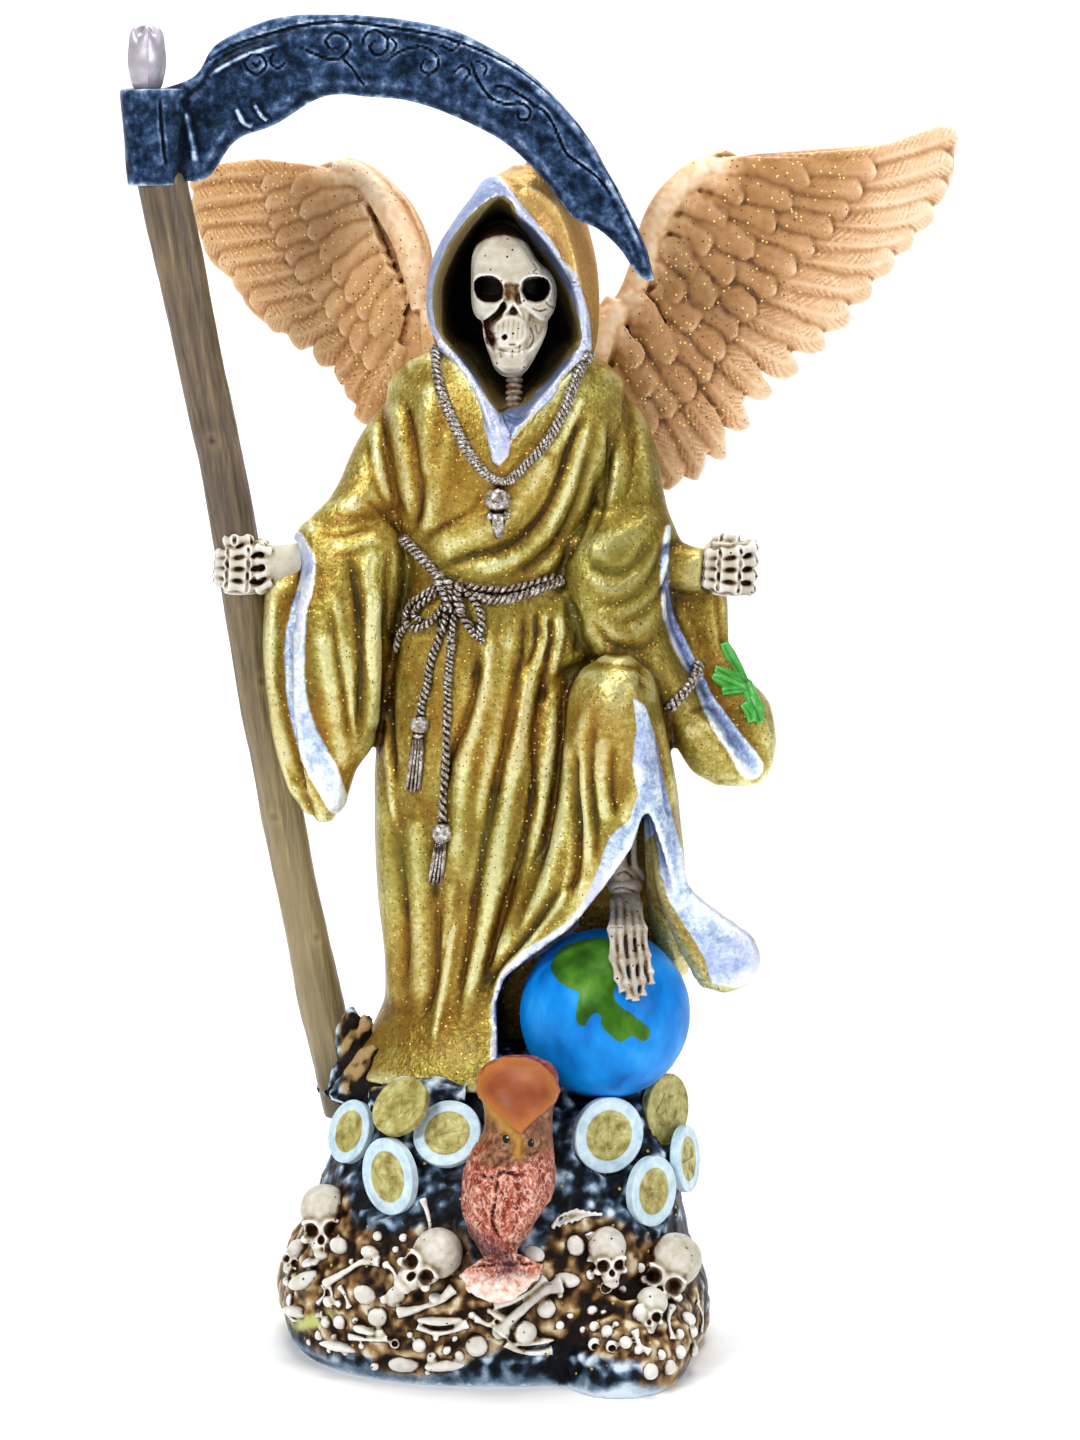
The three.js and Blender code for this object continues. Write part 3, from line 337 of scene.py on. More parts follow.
def limb(name, points, radii, around=20, count=32, flat=1.0, side=(0, 1, 0)):
    """A round form along a smooth line. Flat squeezes it along one side."""
    line = smooth_line(points, count)
    radii = shared(radii, count)[:, None, None]
    tangents = np.gradient(line, axis=0)
    tangents /= np.linalg.norm(tangents, axis=1)[:, None]
    squeezed = np.array(side) - tangents * (tangents @ np.array(side))[:, None]
    squeezed /= np.linalg.norm(squeezed, axis=1)[:, None]
    other = np.cross(tangents, squeezed)
    turn = np.linspace(0, 2 * math.pi, around, endpoint=False)[None, :, None]
    return skin(name, line[:, None] + radii * (np.cos(turn) * other[:, None] + flat * np.sin(turn) * squeezed[:, None]))


def ribbon(name, points, widths, thickness, around=20, count=40):
    """A flat form along a line seen from the front, from half widths and one half thickness."""
    line = smooth_line(points, count)
    widths = shared(widths, count)[:, None]
    ahead_line = np.gradient(line, axis=0)
    across = np.stack([-ahead_line[:, 2], np.zeros(count), ahead_line[:, 0]], axis=1)
    across /= np.linalg.norm(across, axis=1)[:, None]
    turn = np.linspace(0, 2 * math.pi, around, endpoint=False)[None, :, None]
    rings = line[:, None] + widths[:, None] * np.cos(turn) * across[:, None]
    rings = rings + np.array((0, 1, 0)) * thickness * np.sin(turn) * np.minimum(1, widths / 3)[:, None]
    return skin(name, rings)


def pick(*pieces):
    bpy.ops.object.select_all(action="DESELECT")
    for piece in pieces:
        piece.select_set(True)
    bpy.context.view_layer.objects.active = pieces[0]


def finish_with(piece, kind, **settings):
    """Adds a modifier to a piece and applies it."""
    pick(piece)
    modifier = piece.modifiers.new(kind.lower(), kind)
    for name, value in settings.items():
        setattr(modifier, name, value)
    bpy.ops.object.modifier_apply(modifier=modifier.name)


def gather(name, pieces):
    """Several pieces as one."""
    pick(*pieces)
    if len(pieces) > 1:
        bpy.ops.object.join()
    piece = bpy.context.object
    piece.name = piece.data.name = name
    return piece


def weld(name, pieces, grid, rounds=2):
    """Several closed forms as one even skin, as a casting is."""
    piece = gather(name, pieces)
    finish_with(piece, "REMESH", mode="VOXEL", voxel_size=grid, use_smooth_shade=True)
    if rounds:
        finish_with(piece, "SMOOTH", factor=0.5, iterations=rounds)
    return piece


def cut(piece, *tools):
    for tool in tools:
        finish_with(piece, "BOOLEAN", operation="DIFFERENCE", solver="EXACT", object=tool)
        bpy.data.objects.remove(tool)
    return piece


def points_of(piece):
    points = np.empty(3 * len(piece.data.vertices))
    piece.data.vertices.foreach_get("co", points)
    return points.reshape(-1, 3)


def directions_of(piece):
    directions = np.empty(3 * len(piece.data.vertices))
    piece.data.vertices.foreach_get("normal", directions)
    return directions.reshape(-1, 3)


def move_to(piece, points):
    piece.data.vertices.foreach_set("co", np.ascontiguousarray(points, dtype=float).ravel())
    piece.data.update()


def record(piece, name, values):
    """Keeps one value for each point of a piece, for its material to read."""
    if name not in piece.data.attributes:
        piece.data.attributes.new(name, "FLOAT", "POINT")
    piece.data.attributes[name].data.foreach_set("value", np.ascontiguousarray(values, dtype=np.float32))


def recorded(piece, name):
    values = np.empty(len(piece.data.vertices), dtype=np.float32)
    piece.data.attributes[name].data.foreach_get("value", values)
    return values


def step_up(low, high, values):
    t = np.clip((values - low) / (high - low), 0, 1)
    return t * t * (3 - 2 * t)


def nearest(places, line):
    """How far each place is from a line, and at what share of its length."""
    line = np.asarray(line, float)
    spans = np.linalg.norm(np.diff(line, axis=0), axis=1)
    starts = np.concatenate([[0], np.cumsum(spans)])
    best, share = np.full(len(places), 1e9), np.zeros(len(places))
    for i, (a, b) in enumerate(zip(line[:-1], line[1:])):
        t = np.clip(((places - a) @ (b - a)) / max(spans[i] ** 2, 1e-12), 0, 1)
        far = np.linalg.norm(places - a - t[:, None] * (b - a), axis=1)
        closer = far < best
        best[closer] = far[closer]
        share[closer] = (starts[i] + t[closer] * spans[i]) / starts[-1]
    return best, share


def toward_eye(piece):
    away = eye - points_of(piece)
    away /= np.linalg.norm(away, axis=1)[:, None]
    return (directions_of(piece) * away).sum(axis=1)


def carve(piece, strokes, deepest=1.0):
    """Raises folds, and cuts creases, along lines seen from the front.
    A stroke is a height in millimetres, a half width in pixels and its line. Below nought it cuts."""
    points, directions = points_of(piece), directions_of(piece)
    places, facing = seen_at(points), step_up(0.02, 0.4, toward_eye(piece))
    lift = np.zeros(len(points))
    for height, width, line in strokes:
        line = smooth_line(line, 6 * len(line))
        inside = np.all((places > line.min(axis=0) - width) & (places < line.max(axis=0) + width), axis=1)
        inside &= (facing > 0) & (points[:, 1] < deepest)
        far, share = nearest(places[inside], line)
        near = np.clip(1 - far / width, 0, 1)
        form = near**1.6 if height < 0 else 0.5 - 0.5 * np.cos(math.pi * near)
        fade = step_up(0, 0.12, share) * step_up(0, 0.12, 1 - share)
        lift[inside] += height * form * (0.25 + 0.75 * fade) * (near > 0)
    move_to(piece, points + directions * (lift * facing / 1000)[:, None])


# What stands for a place well outside an outline, in pixels.
OUTSIDE = -30.0


def within(places, outline):
    """How far each place lies inside an outline, below nought outside."""
    closed = np.vstack([outline, outline[:1]]).astype(float)
    far, _ = nearest(places, closed)
    odd = np.zeros(len(places), bool)
    for (ax, ay), (bx, by) in zip(closed[:-1], closed[1:]):
        if ay != by:
            crosses = (ay > places[:, 1]) != (by > places[:, 1])
            odd ^= crosses & (places[:, 0] < (bx - ax) * (places[:, 1] - ay) / (by - ay) + ax)
    return np.where(odd, far, -far)


def hollows(piece, rounds=(4, 40)):
    """Keeps how hollow a piece is at each point, finely and broadly, for the darkening of its hollows: partly a wash of
    paint, partly painted shade.
    """
    mesh, points = piece.data, points_of(piece)
    ends = np.empty(2 * len(mesh.edges), dtype=np.int64)
    mesh.edges.foreach_get("vertices", ends)
    a, b = ends.reshape(-1, 2).T
    degree = np.maximum(np.bincount(np.concatenate([a, b]), minlength=len(points)), 1)[:, None]
    directions, even, done = directions_of(piece), points.copy(), 0
    for name, upto in zip(("fine_hollow", "broad_hollow"), rounds):
        for _ in range(upto - done):
            total = np.stack([np.bincount(a, even[b, c], len(points)) + np.bincount(b, even[a, c], len(points))
                              for c in range(3)], axis=1)
            even = 0.4 * even + 0.6 * total / degree
        done = upto
        record(piece, name, ((even - points) * directions).sum(axis=1) * 1000)


def sheltered(piece, reach=0.0032, others=(), only=None):
    """Keeps how far each point is tucked under what is near it, for the painted shade that darkens it there."""
    graph = bpy.context.evaluated_depsgraph_get()
    trees = [BVHTree.FromObject(near, graph) for near in (piece, *others)]
    tucked = np.zeros(len(piece.data.vertices))
    for i, (point, direction) in enumerate(zip(points_of(piece), directions_of(piece))):
        if only is not None and not only[i]:
            continue
        normal = Vector(direction)
        start = Vector(point) + normal * 0.00012
        side = normal.orthogonal().normalized()
        other = normal.cross(side)
        for lean in (side, -side, other, -other):
            ray = (normal * 0.75 + lean).normalized()
            far = min([hit[3] for hit in (tree.ray_cast(start, ray, reach) for tree in trees) if hit[0] is not None]
                      or [reach])
            tucked[i] += 0.25 * (1 - far / reach)
    record(piece, "tucked", tucked)


def roughen(piece, layers):
    """Leaves a casting's surface a little uneven: heights in millimetres, and how close the bumps come."""
    points, directions = points_of(piece), directions_of(piece)
    rise = np.array([sum(height * noise.noise(Vector(point) * scale) for height, scale in layers) for point in points])
    rise *= step_up(0.0002, 0.004, points[:, 2])
    move_to(piece, points + directions * (rise / 1000)[:, None])


def prism(name, outline, front, back):
    """An upright slab with an outline seen from the front."""
    count = len(outline)
    points = [(x, y, z) for y in (front, back) for x, z in outline]
    faces = [(i, (i + 1) % count, count + (i + 1) % count, count + i) for i in range(count)]
    piece = new_piece(name, points, faces + [tuple(range(count)), tuple(range(count, 2 * count))])
    face_outwards(piece)
    return piece


def lower_robe(name, rows, around):
    opening = prism("opening", HEM_OPENING, -60, 2)
    return cut(column(name, rows, around, 120), opening)


sleeves = [
    cut(column("left_sleeve", LEFT_SLEEVE, 64, 80, 0.85), column("mouth", LEFT_MOUTH, 32, 30, 0.6)),
    cut(column("left_sleeve_back", LEFT_SLEEVE_BACK, 48, 60, 0.7), column("mouth", LEFT_MOUTH, 32, 30, 0.6)),
    column("right_sleeve", RIGHT_SLEEVE, 64, 80, 0.85),
    column("right_sleeve_back", RIGHT_SLEEVE_BACK, 48, 60, 0.7),
]
robe = weld("robe", [
    lower_robe("skirt", SKIRT, 96),
    lower_robe("knee", KNEE, 72),
    cut(column("torso", TORSO, 72, 70), column("hollow", FACE_HOLLOW, 64, 90, 0.85)),
    *[limb("arm", line, radii, 28, 30) for line, radii in ARMS],
    ribbon("flap", *FLAP),
    ribbon("flap_lining", *FLAP_LINING),
    *sleeves,
], ROBE_GRID, rounds=4)

# The folds are strokes over the front view: a height in millimetres, a half width in pixels, and a line.
CHEST_FOLDS = [
    (-2.18, 12.1, [(403, 398), (409, 430), (417, 470), (419, 505), (414, 530)]),
    (1.04, 15.6, [(431, 380), (428, 410), (427, 445), (424, 480)]),
    (0.69, 11.7, [(397, 398), (399, 440), (405, 480), (411, 505)]),
    (-0.76, 5.5, [(381, 398), (384, 450), (394, 490), (408, 520)]),
    (0.63, 10.4, [(374, 420), (379, 465), (392, 505)]),
    (-0.59, 4.4, [(366, 440), (374, 480), (388, 512)]),
    (0.83, 15.6, [(449, 425), (442, 465), (432, 505), (426, 535)]),
    (-0.76, 6.6, [(483, 489), (474, 508), (456, 519), (438, 529), (421, 541)]),
    (1.32, 22.1, [(548, 448), (533, 478), (510, 512), (478, 532), (446, 547), (432, 556)]),
    (-1.68, 8.8, [(584, 408), (570, 450), (556, 492), (536, 524), (506, 547), (474, 556), (444, 567)]),
    (0.91, 11.7, [(590, 416), (577, 455), (563, 500), (541, 538), (508, 562), (472, 572)]),
    (-0.92, 5.5, [(590, 448), (580, 490), (566, 524), (544, 554), (515, 574)]),
    (0.83, 10.4, [(597, 440), (589, 480), (577, 520), (556, 556), (534, 575)]),
    (-1.09, 6.6, [(596, 478), (590, 510), (578, 540), (562, 566)]),
    (0.83, 9.1, [(602, 420), (601, 460), (595, 500), (583, 530)]),
    (-1.01, 5.5, [(608, 428), (608, 470), (603, 508), (590, 540)]),
    (0.91, 11.7, [(622, 400), (619, 440), (616, 480), (606, 512)]),
    (-0.76, 5.5, [(634, 430), (632, 465), (626, 500)]),
    (0.69, 11.7, [(637, 400), (642, 445), (649, 490)]),
    (0.76, 13, [(583, 395), (566, 430), (548, 455)]),
    (0.56, 10.4, [(600, 372), (622, 380), (636, 398)]),
    (1.11, 23.4, [(404, 362), (420, 358), (432, 352)]),
]
SKIRT_FOLDS = [
    (-1.68, 7.7, [(399, 636), (392, 670), (389, 700), (389, 735), (394, 776)]),
    (0.63, 4.5, [(408, 628), (397, 652), (391, 682), (387, 715), (386, 745), (391, 785), (399, 830)]),
    (1.11, 15.6, [(373, 590), (375, 630), (376, 680), (375, 735)]),
    (-1.18, 6.6, [(384, 600), (384, 660), (381, 720), (379, 750)]),
    (-1.01, 6.6, [(397, 838), (402, 880), (406, 925), (407, 975)]),
    (1.04, 14.3, [(385, 790), (386, 850), (389, 910), (394, 960), (399, 1015)]),
    (1.04, 15.6, [(414, 810), (418, 860), (420, 910), (421, 960), (419, 1005)]),
    (-1.26, 7.7, [(437, 905), (437, 945), (434, 985), (424, 1016)]),
    (-0.84, 6.6, [(434, 830), (434, 870), (435, 900)]),
    (0.83, 5.9, [(458, 915), (449, 960), (442, 1000), (433, 1045)]),
    (-1.68, 8.8, [(479, 655), (475, 690), (464, 725), (450, 757), (446, 790)]),
    (1.11, 15.6, [(492, 625), (487, 680), (478, 725), (466, 765), (461, 815), (456, 870)]),
    (-1.43, 7.7, [(516, 690), (508, 735), (498, 775), (490, 815), (482, 855), (476, 890), (466, 960), (457, 1015)]),
    (0.83, 13, [(509, 620), (505, 665), (496, 720), (484, 780), (477, 830)]),
    (-0.76, 5.5, [(524, 615), (522, 655), (512, 700)]),
    (1.18, 14.3, [(532, 650), (526, 700), (518, 750), (508, 800), (499, 850), (490, 905), (478, 960), (464, 1015)]),
    (-1.51, 6.6, [(548, 660), (540, 700), (534, 735), (534, 775), (529, 815), (519, 860), (505, 905), (492, 950),
                  (478, 990)]),
    (0.69, 7.8, [(545, 610), (545, 640), (534, 675)]),
    (-0.92, 5.5, [(537, 612), (536, 640), (527, 668)]),
    (0.83, 7.8, [(557, 615), (558, 645), (551, 678)]),
    (-1.01, 6.6, [(551, 618), (551, 640), (546, 660)]),
    (-1.85, 6.6, [(546, 686), (543, 700)]),
    (1.11, 11.7, [(555, 690), (551, 740), (545, 790), (537, 835), (526, 880), (512, 925), (496, 965)]),
    (-1.26, 5.5, [(563, 700), (560, 745), (554, 795), (548, 835), (540, 870)]),
    (1.18, 10.4, [(573, 730), (569, 780), (562, 825), (552, 865), (538, 900), (520, 938)]),
    (-2.02, 8.8, [(577, 748), (576, 790), (577, 830), (575, 872), (566, 900)]),
    (0.76, 5.2, [(572, 885), (550, 917), (528, 943), (508, 966), (494, 990)]),
    (-1.09, 7.7, [(560, 885), (540, 915), (520, 943), (500, 965), (484, 990)]),
    (0.97, 10.4, [(587, 705), (581, 745), (583, 790), (588, 835), (590, 868)]),
    (-0.76, 6.6, [(594, 720), (591, 770), (596, 825), (594, 862)]),
    (0.83, 13, [(602, 735), (601, 780), (606, 825)]),
    (-0.67, 6.6, [(613, 745), (612, 790), (618, 820)]),
    (0.76, 14.3, [(640, 760), (634, 795), (618, 825)]),
    (0.69, 10.4, [(662, 715), (670, 760), (675, 810)]),
    (-0.76, 5.5, [(658, 735), (664, 775), (670, 820)]),
    (-1.18, 9.9, [(558, 676), (585, 664), (615, 661), (642, 668), (660, 682)]),
    (0.56, 10.4, [(452, 880), (450, 910), (446, 950)]),
]
SLEEVE_FOLDS = [
    (1.25, 16.9, [(322, 625), (329, 680), (336, 730), (343, 775)]),
    (-1.01, 6.6, [(331, 600), (337, 655), (345, 705), (349, 745)]),
    (0.76, 10.4, [(330, 590), (341, 640), (350, 700), (353, 745)]),
    (-1.51, 9.9, [(350, 555), (357, 610), (361, 670), (360, 730)]),
    (1.04, 11.7, [(372, 545), (368, 575), (373, 605), (369, 640), (375, 690)]),
    (-1.01, 7.7, [(389, 545), (388, 590), (389, 640)]),
    (0.91, 18.2, [(300, 530), (318, 512), (345, 506), (362, 500)]),
    (-0.67, 5.5, [(318, 532), (345, 534), (372, 528)]),
    (0.63, 9.1, [(330, 545), (352, 546), (380, 536)]),
    (-0.84, 5.5, [(366, 500), (385, 515), (400, 532)]),
    (1.25, 19.5, [(660, 512), (633, 530), (605, 546), (587, 552)]),
    (-2.18, 11, [(590, 560), (606, 571), (626, 571), (643, 556), (655, 540)]),
    (0.83, 10.4, [(592, 575), (606, 588), (622, 588), (638, 572)]),
    (-1.01, 6.6, [(668, 540), (656, 570), (640, 592), (618, 603), (598, 603)]),
    (0.83, 7.8, [(668, 552), (658, 582), (641, 603), (620, 614)]),
    (-0.84, 4.4, [(668, 566), (658, 594), (642, 613), (622, 624)]),
    (0.97, 14.3, [(664, 590), (652, 618), (630, 632)]),
    (-1.34, 8.8, [(660, 636), (640, 648), (612, 644), (596, 626)]),
    (0.69, 10.4, [(650, 655), (655, 680), (652, 705)]),
    (-1.18, 7.7, [(640, 660), (643, 690)]),
    (-1.01, 6.6, [(570, 600), (580, 625), (575, 655)]),
    (0.69, 10.4, [(566, 585), (560, 610), (563, 640)]),
    (0.63, 9.1, [(590, 650), (612, 660), (635, 658)]),
    (-0.67, 5.5, [(690, 712), (706, 708), (722, 716)]),
    (0.63, 11.7, [(685, 735), (705, 725), (725, 738)]),
    (0.69, 10.4, [(676, 600), (690, 640), (700, 665)]),
    (-0.76, 6.6, [(716, 590), (720, 620), (724, 650)]),
    (0.69, 9.1, [(272, 600), (270, 650), (276, 710), (294, 765), (318, 805)]),
]
for folds, share in ((CHEST_FOLDS, 0.8), (SKIRT_FOLDS, 1.0), (SLEEVE_FOLDS, 0.75)):
    carve(robe, [(share * height, width, line) for height, width, line in folds])
finish_with(robe, "SMOOTH", factor=0.5, iterations=2)
roughen(robe, [(0.3, 45), (0.16, 120), (0.05, 420)])

# The hems are raised bands, painted silver: half widths in pixels along a line.
HEMS = [
    ([6, 7, 8, 10, 10, 10, 12, 15, 11], [(298, 538), (309, 560), (307, 585), (299, 612), (295, 650), (297, 695),
                                         (307, 735), (325, 775), (337, 802)]),
    ([3, 4, 4, 6, 8, 6], [(667, 528), (664, 570), (666, 605), (675, 635), (686, 658), (697, 674)]),
    ([6, 8, 10, 11, 13], [(700, 683), (708, 702), (722, 725), (738, 748), (750, 766)]),
]
FACE_OPENING = [
    (500, 411), (491, 400), (483, 385), (475, 369), (463, 355), (452, 347), (444, 338), (438, 326), (435, 308),
    (435, 292), (438, 276), (444, 260), (450, 246), (458, 234), (468, 221), (480, 209), (492, 200), (503, 198),
    (511, 204), (514, 214), (520, 228), (530, 241), (545, 258), (558, 277), (569, 299), (577, 320), (580, 336),
    (577, 347), (563, 358), (550, 373), (537, 388), (529, 399), (520, 404), (508, 407),
]
LINING = [
    [(633, 697), (637, 730), (632, 765), (638, 795), (629, 820), (610, 836), (601, 862), (588, 895), (570, 920),
     (545, 937),
     (520, 953), (501, 972), (492, 1000), (490, 1062), (497, 1062), (498, 1015), (503, 985), (516, 968), (545, 953),
     (572, 936), (590, 917), (610, 890), (632, 858), (655, 831), (658, 850), (661, 875), (668, 900), (684, 925),
     (703, 955), (712, 984), (735, 988), (752, 982), (762, 958), (750, 932), (728, 914), (700, 897), (688, 882),
     (682, 850), (672, 815), (664, 780), (655, 735), (645, 706)],
]


def band(piece, widths, line, height, edge=2.0):
    """Raises a flat band along a line, and returns how far each point lies inside it, in pixels."""
    points, directions = points_of(piece), directions_of(piece)
    line = smooth_line(line, 8 * len(line))
    far, share = nearest(seen_at(points), line)
    inside = np.interp(share, np.linspace(0, 1, len(widths)), widths) - far
    facing = step_up(-0.1, 0.3, toward_eye(piece))
    move_to(piece, points + directions * (height / 1000 * step_up(-edge, edge, inside) * facing)[:, None])
    return inside


# The back isn't shown. It gets shallow pleats, each this many metres high.
PLEAT_RISE = 0.00045
points, directions = points_of(robe), directions_of(robe)
pleats = (np.sin(points[:, 0] / 0.0021 + 1.6 * np.sin(points[:, 2] * 21) + 1.1 * np.sin(points[:, 2] * 47 + 2))
          + 0.5 * np.sin(points[:, 0] / 0.0009 + points[:, 2] * 60))
pleats *= step_up(0.25, 0.75, directions[:, 1]) * step_up(0.2, 0.15, points[:, 2]) * step_up(0.006, 0.014, points[:, 1])
move_to(robe, points + directions * (PLEAT_RISE * pleats)[:, None])
silver = np.max([band(robe, widths, line, 0.5) for widths, line in HEMS]
                + [within(seen_at(points_of(robe)), outline) for outline in LINING], axis=0)
points = points_of(robe)
behind = (points[:, 0] > 0.02) & (points[:, 1] > -0.007) & (points[:, 2] < 0.15)
silver = np.where((toward_eye(robe) > -0.35) & ~behind, silver, OUTSIDE)
record(robe, "silver", silver)
opening = within(seen_at(points), FACE_OPENING)
record(robe, "inside", np.where((toward_eye(robe) > -0.8) & (points[:, 1] < 0.0125), opening, OUTSIDE))
hollows(robe)

# Metallic gold paint, brushed over a brown wash, with glitter scattered over it while it was wet.
# Its ridges are lighter and its creases darker: partly that brushing and wash, partly painted highlight and shade.
GOLD = [(0.0, 0x2E1C02), (0.18, 0x583E08), (0.36, 0x765816), (0.5, 0x886C26), (0.64, 0x9C8638), (0.8, 0xBEB05C),
        (1.0, 0xEAE6AC)]
SILVER = [(0.0, 0x3C3F50), (0.25, 0x67759A), (0.45, 0x8C9EC4), (0.62, 0xAEC4DE), (0.8, 0xDCECF6), (1.0, 0xFFFFFF)]
# How far a speck of glitter reaches from the middle of its cell, as a share of the cell.
SPECK_RADIUS = 0.22


def glitter(tree, place, size, share, seed=0.0):
    """Sparse specks: a mask that is 1 on them. Size is in metres, and share is how many cells hold one."""
    moved = add(tree, "ShaderNodeVectorMath", {0: place, 1: (seed, seed * 0.7, seed * 1.3)}, operation="ADD")
    cells = add(tree, "ShaderNodeTexVoronoi", {"Vector": moved.outputs[0], "Scale": 1 / size, "Randomness": 1.0})
    near = maths(tree, "LESS_THAN", cells.outputs["Distance"], SPECK_RADIUS)
    dice = add(tree, "ShaderNodeSeparateColor", {"Color": cells.outputs["Color"]})
    some = maths(tree, "LESS_THAN", dice.outputs["Red"], share)
    return maths(tree, "MULTIPLY", near, some)


def mixed(tree, share, first, second, blend="MIX"):
    return add(tree, "ShaderNodeMix", {0: share, 6: first, 7: second}, data_type="RGBA", blend_type=blend).outputs[2]


def tone_of(tree, fine=0.9, broad=0.35, middle=0.52):
    """How light the paint lies, from the hollows of the piece: ridges are lighter, partly brushed paint and partly
    painted highlight, and hollows darker, partly a wash and partly painted shade.
    """
    first = maths(tree, "MULTIPLY_ADD", field(tree, "fine_hollow"), -fine, middle)
    return maths(tree, "MULTIPLY_ADD", field(tree, "broad_hollow"), -broad, first, clamp=True)


gold_paint, tree, shader = new_material("brushed_gold_paint", Roughness=0.4, Specular_IOR_Level=0.25, Coat_Weight=0.08,
                                        Coat_Roughness=0.25)
place = add(tree, "ShaderNodeTexCoord").outputs["Object"]
axes = add(tree, "ShaderNodeSeparateXYZ", {"Vector": place})
height = axes.outputs["Z"]
cloud = clouds(tree, place, 60, 5, 0.62)
brushed = maths(tree, "MULTIPLY_ADD", cloud, 0.7, tone_of(tree, 0.95, 0.58, 0.52))
speckle = clouds(tree, place, 850, 3, 0.7)
brushed = maths(tree, "MULTIPLY_ADD", speckle, 0.7, brushed)
level = maths(tree, "SUBTRACT", brushed, 0.7, clamp=True)
gold = ramp(tree, level, GOLD)
patches = clouds(tree, place, 24, 3)
amber = ranged(tree, patches, 0.5, 0.68, 0.45)
gold = mixed(tree, amber, gold, shade(0xB27C24))
olive = ranged(tree, patches, 0.52, 0.34, 0.65)
gold = mixed(tree, olive, gold, shade(0x8C8434))
gold = mixed(tree, glitter(tree, place, 0.0009, 0.26), gold, shade(0xF0D070))
gold = mixed(tree, glitter(tree, place, 0.0008, 0.34, 0.31), gold, shade(0x3E2806))
# Painted shade: the right sleeve, high on the figure's right side, is darkened.
right = ranged(tree, axes.outputs["X"], 0.02, 0.032, 0.7)
raised = ranged(tree, height, 0.132, 0.146)
right = maths(tree, "MULTIPLY", right, raised)
gold = mixed(tree, right, gold, shade(0xCEBE98), "MULTIPLY")
gold = mixed(tree, field(tree, "web"), gold, shade(0x5E4526), "MULTIPLY")
streaks = clouds(tree, place, 320, 5, 0.75)
silver_level = maths(tree, "MULTIPLY_ADD", streaks, 1.3, level)
silver_level = maths(tree, "SUBTRACT", silver_level, 0.62, clamp=True)
silver_paint = ramp(tree, silver_level, SILVER)
# The top of the hood turns pale orange: partly its own orange-gold paint, partly a painted highlight.
orange = ranged(tree, height, 0.222, 0.242, 0.55)
gold = mixed(tree, orange, gold, shade(0xEAB674))
# The silver turns lavender blue high on the hood: partly its own paint, partly a painted reflection of the sky.
blue = ranged(tree, height, 0.19, 0.215, 0.45, 0.1)
silver_paint = mixed(tree, blue, silver_paint, shade(0x8FA2DC))
lavender = ranged(tree, cloud, 0.5, 0.6, 0.45)
silver_paint = mixed(tree, lavender, silver_paint, shade(0x98A2E2))
silver_at = field(tree, "silver")
wobble = clouds(tree, place, 260, 3)
edge = maths(tree, "MULTIPLY_ADD", wobble, 3.2, silver_at)
silver_share = ranged(tree, edge, 0.8, 2.4)
colour = mixed(tree, silver_share, gold, silver_paint)
# Painted shade: inside the hood the paint darkens with depth to near black, and is not metallic there.
inside = field(tree, "inside")
depth = ranged(tree, inside, 0.0, 24.0)
inside_shade = ramp(tree, depth, [(0.0, 0x8A7848), (0.25, 0x5C4C28), (0.55, 0x261C0E), (0.85, 0x0A0705), (1.0, 0x030202)])
outdoors = maths(tree, "LESS_THAN", inside, 0.5)
colour = mixed(tree, outdoors, inside_shade, colour)
metal = maths(tree, "MULTIPLY", outdoors, 0.6)
rough = clouds(tree, place, 700, 4)
painted(tree, shader, colour, rough, 0.75, 0.0006)
tree.links.new(metal, shader.inputs["Metallic"])
coat(robe, gold_paint)
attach(robe, "root")
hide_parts("figure")

# Hood: cast with the robe, a pointed shell turned a little to the left. Its thick rim and lapels are silver,
# and inside it the gold darkens to black, as painted shade. A web of resin at the back joins its peak to the scythe.
HOOD_GRID = 0.0005
HOOD = [
    (196, -3, 9, -15.5, -6), (202, -3.5, 10, -17, 0), (208, -5.5, 14, -17, 8), (216, -8.5, 19.5, -16.4, 14),
    (222, -10.8, 22.5, -15.6, 17), (228, -12.6, 24, -15, 19), (235, -13.4, 24.4, -14.5, 20), (242, -12.6, 24, -14, 20),
    (250, -9.4, 22.4, -12.5, 19), (258, -4.2, 20, -10.5, 17), (262.5, 0.4, 17.4, -7, 14), (265.2, 5, 15.6, -3, 10),
]
TRIMS = [
    [(441, 345), (434, 334), (429, 318), (427, 300), (428, 284), (431, 268), (436, 254), (442, 242), (450, 229),
     (460, 214),
     (470, 201), (478, 190), (484, 179), (500, 177), (508, 186), (516, 197), (526, 210), (540, 227), (553, 243),
     (565, 261), (575, 279), (583, 297), (588, 315), (590, 335), (588, 350), (577, 348), (580, 336), (577, 320),
     (569, 299), (558, 277), (545, 258), (530, 241), (520, 228), (514, 214), (511, 204), (503, 198), (492, 200),
     (480, 209), (468, 221), (458, 234),
     (450, 246), (444, 260), (438, 276), (435, 292), (435, 308), (438, 326), (444, 338), (452, 347)],
    [(438, 338), (447, 343), (465, 352), (478, 368), (486, 385), (493, 400), (502, 424), (511, 441), (508, 456),
     (500, 466),
     (493, 462), (488, 440), (481, 416), (473, 396), (464, 376), (453, 360), (440, 350)],
    [(582, 338), (570, 348), (557, 359), (543, 374), (531, 388), (527, 402), (512, 407), (500, 414), (506, 428),
     (513, 440),
     (524, 424), (536, 412), (550, 400), (562, 380), (576, 364), (590, 356), (590, 338)],
]
hood = weld("hood", [
    cut(column("hood_shell", HOOD, 96, 130), column("hollow", FACE_HOLLOW, 64, 90, 0.85)),
    limb("web", [(12.4, 4, 260), (13.4, 1, 265), (14.4, -2, 270.5), (15.4, -6.5, 273)], [4.6, 5.2, 5.4, 2.4], 24, 20,
         0.7),
], HOOD_GRID, rounds=3)
rim = np.full(len(hood.data.vertices), OUTSIDE)
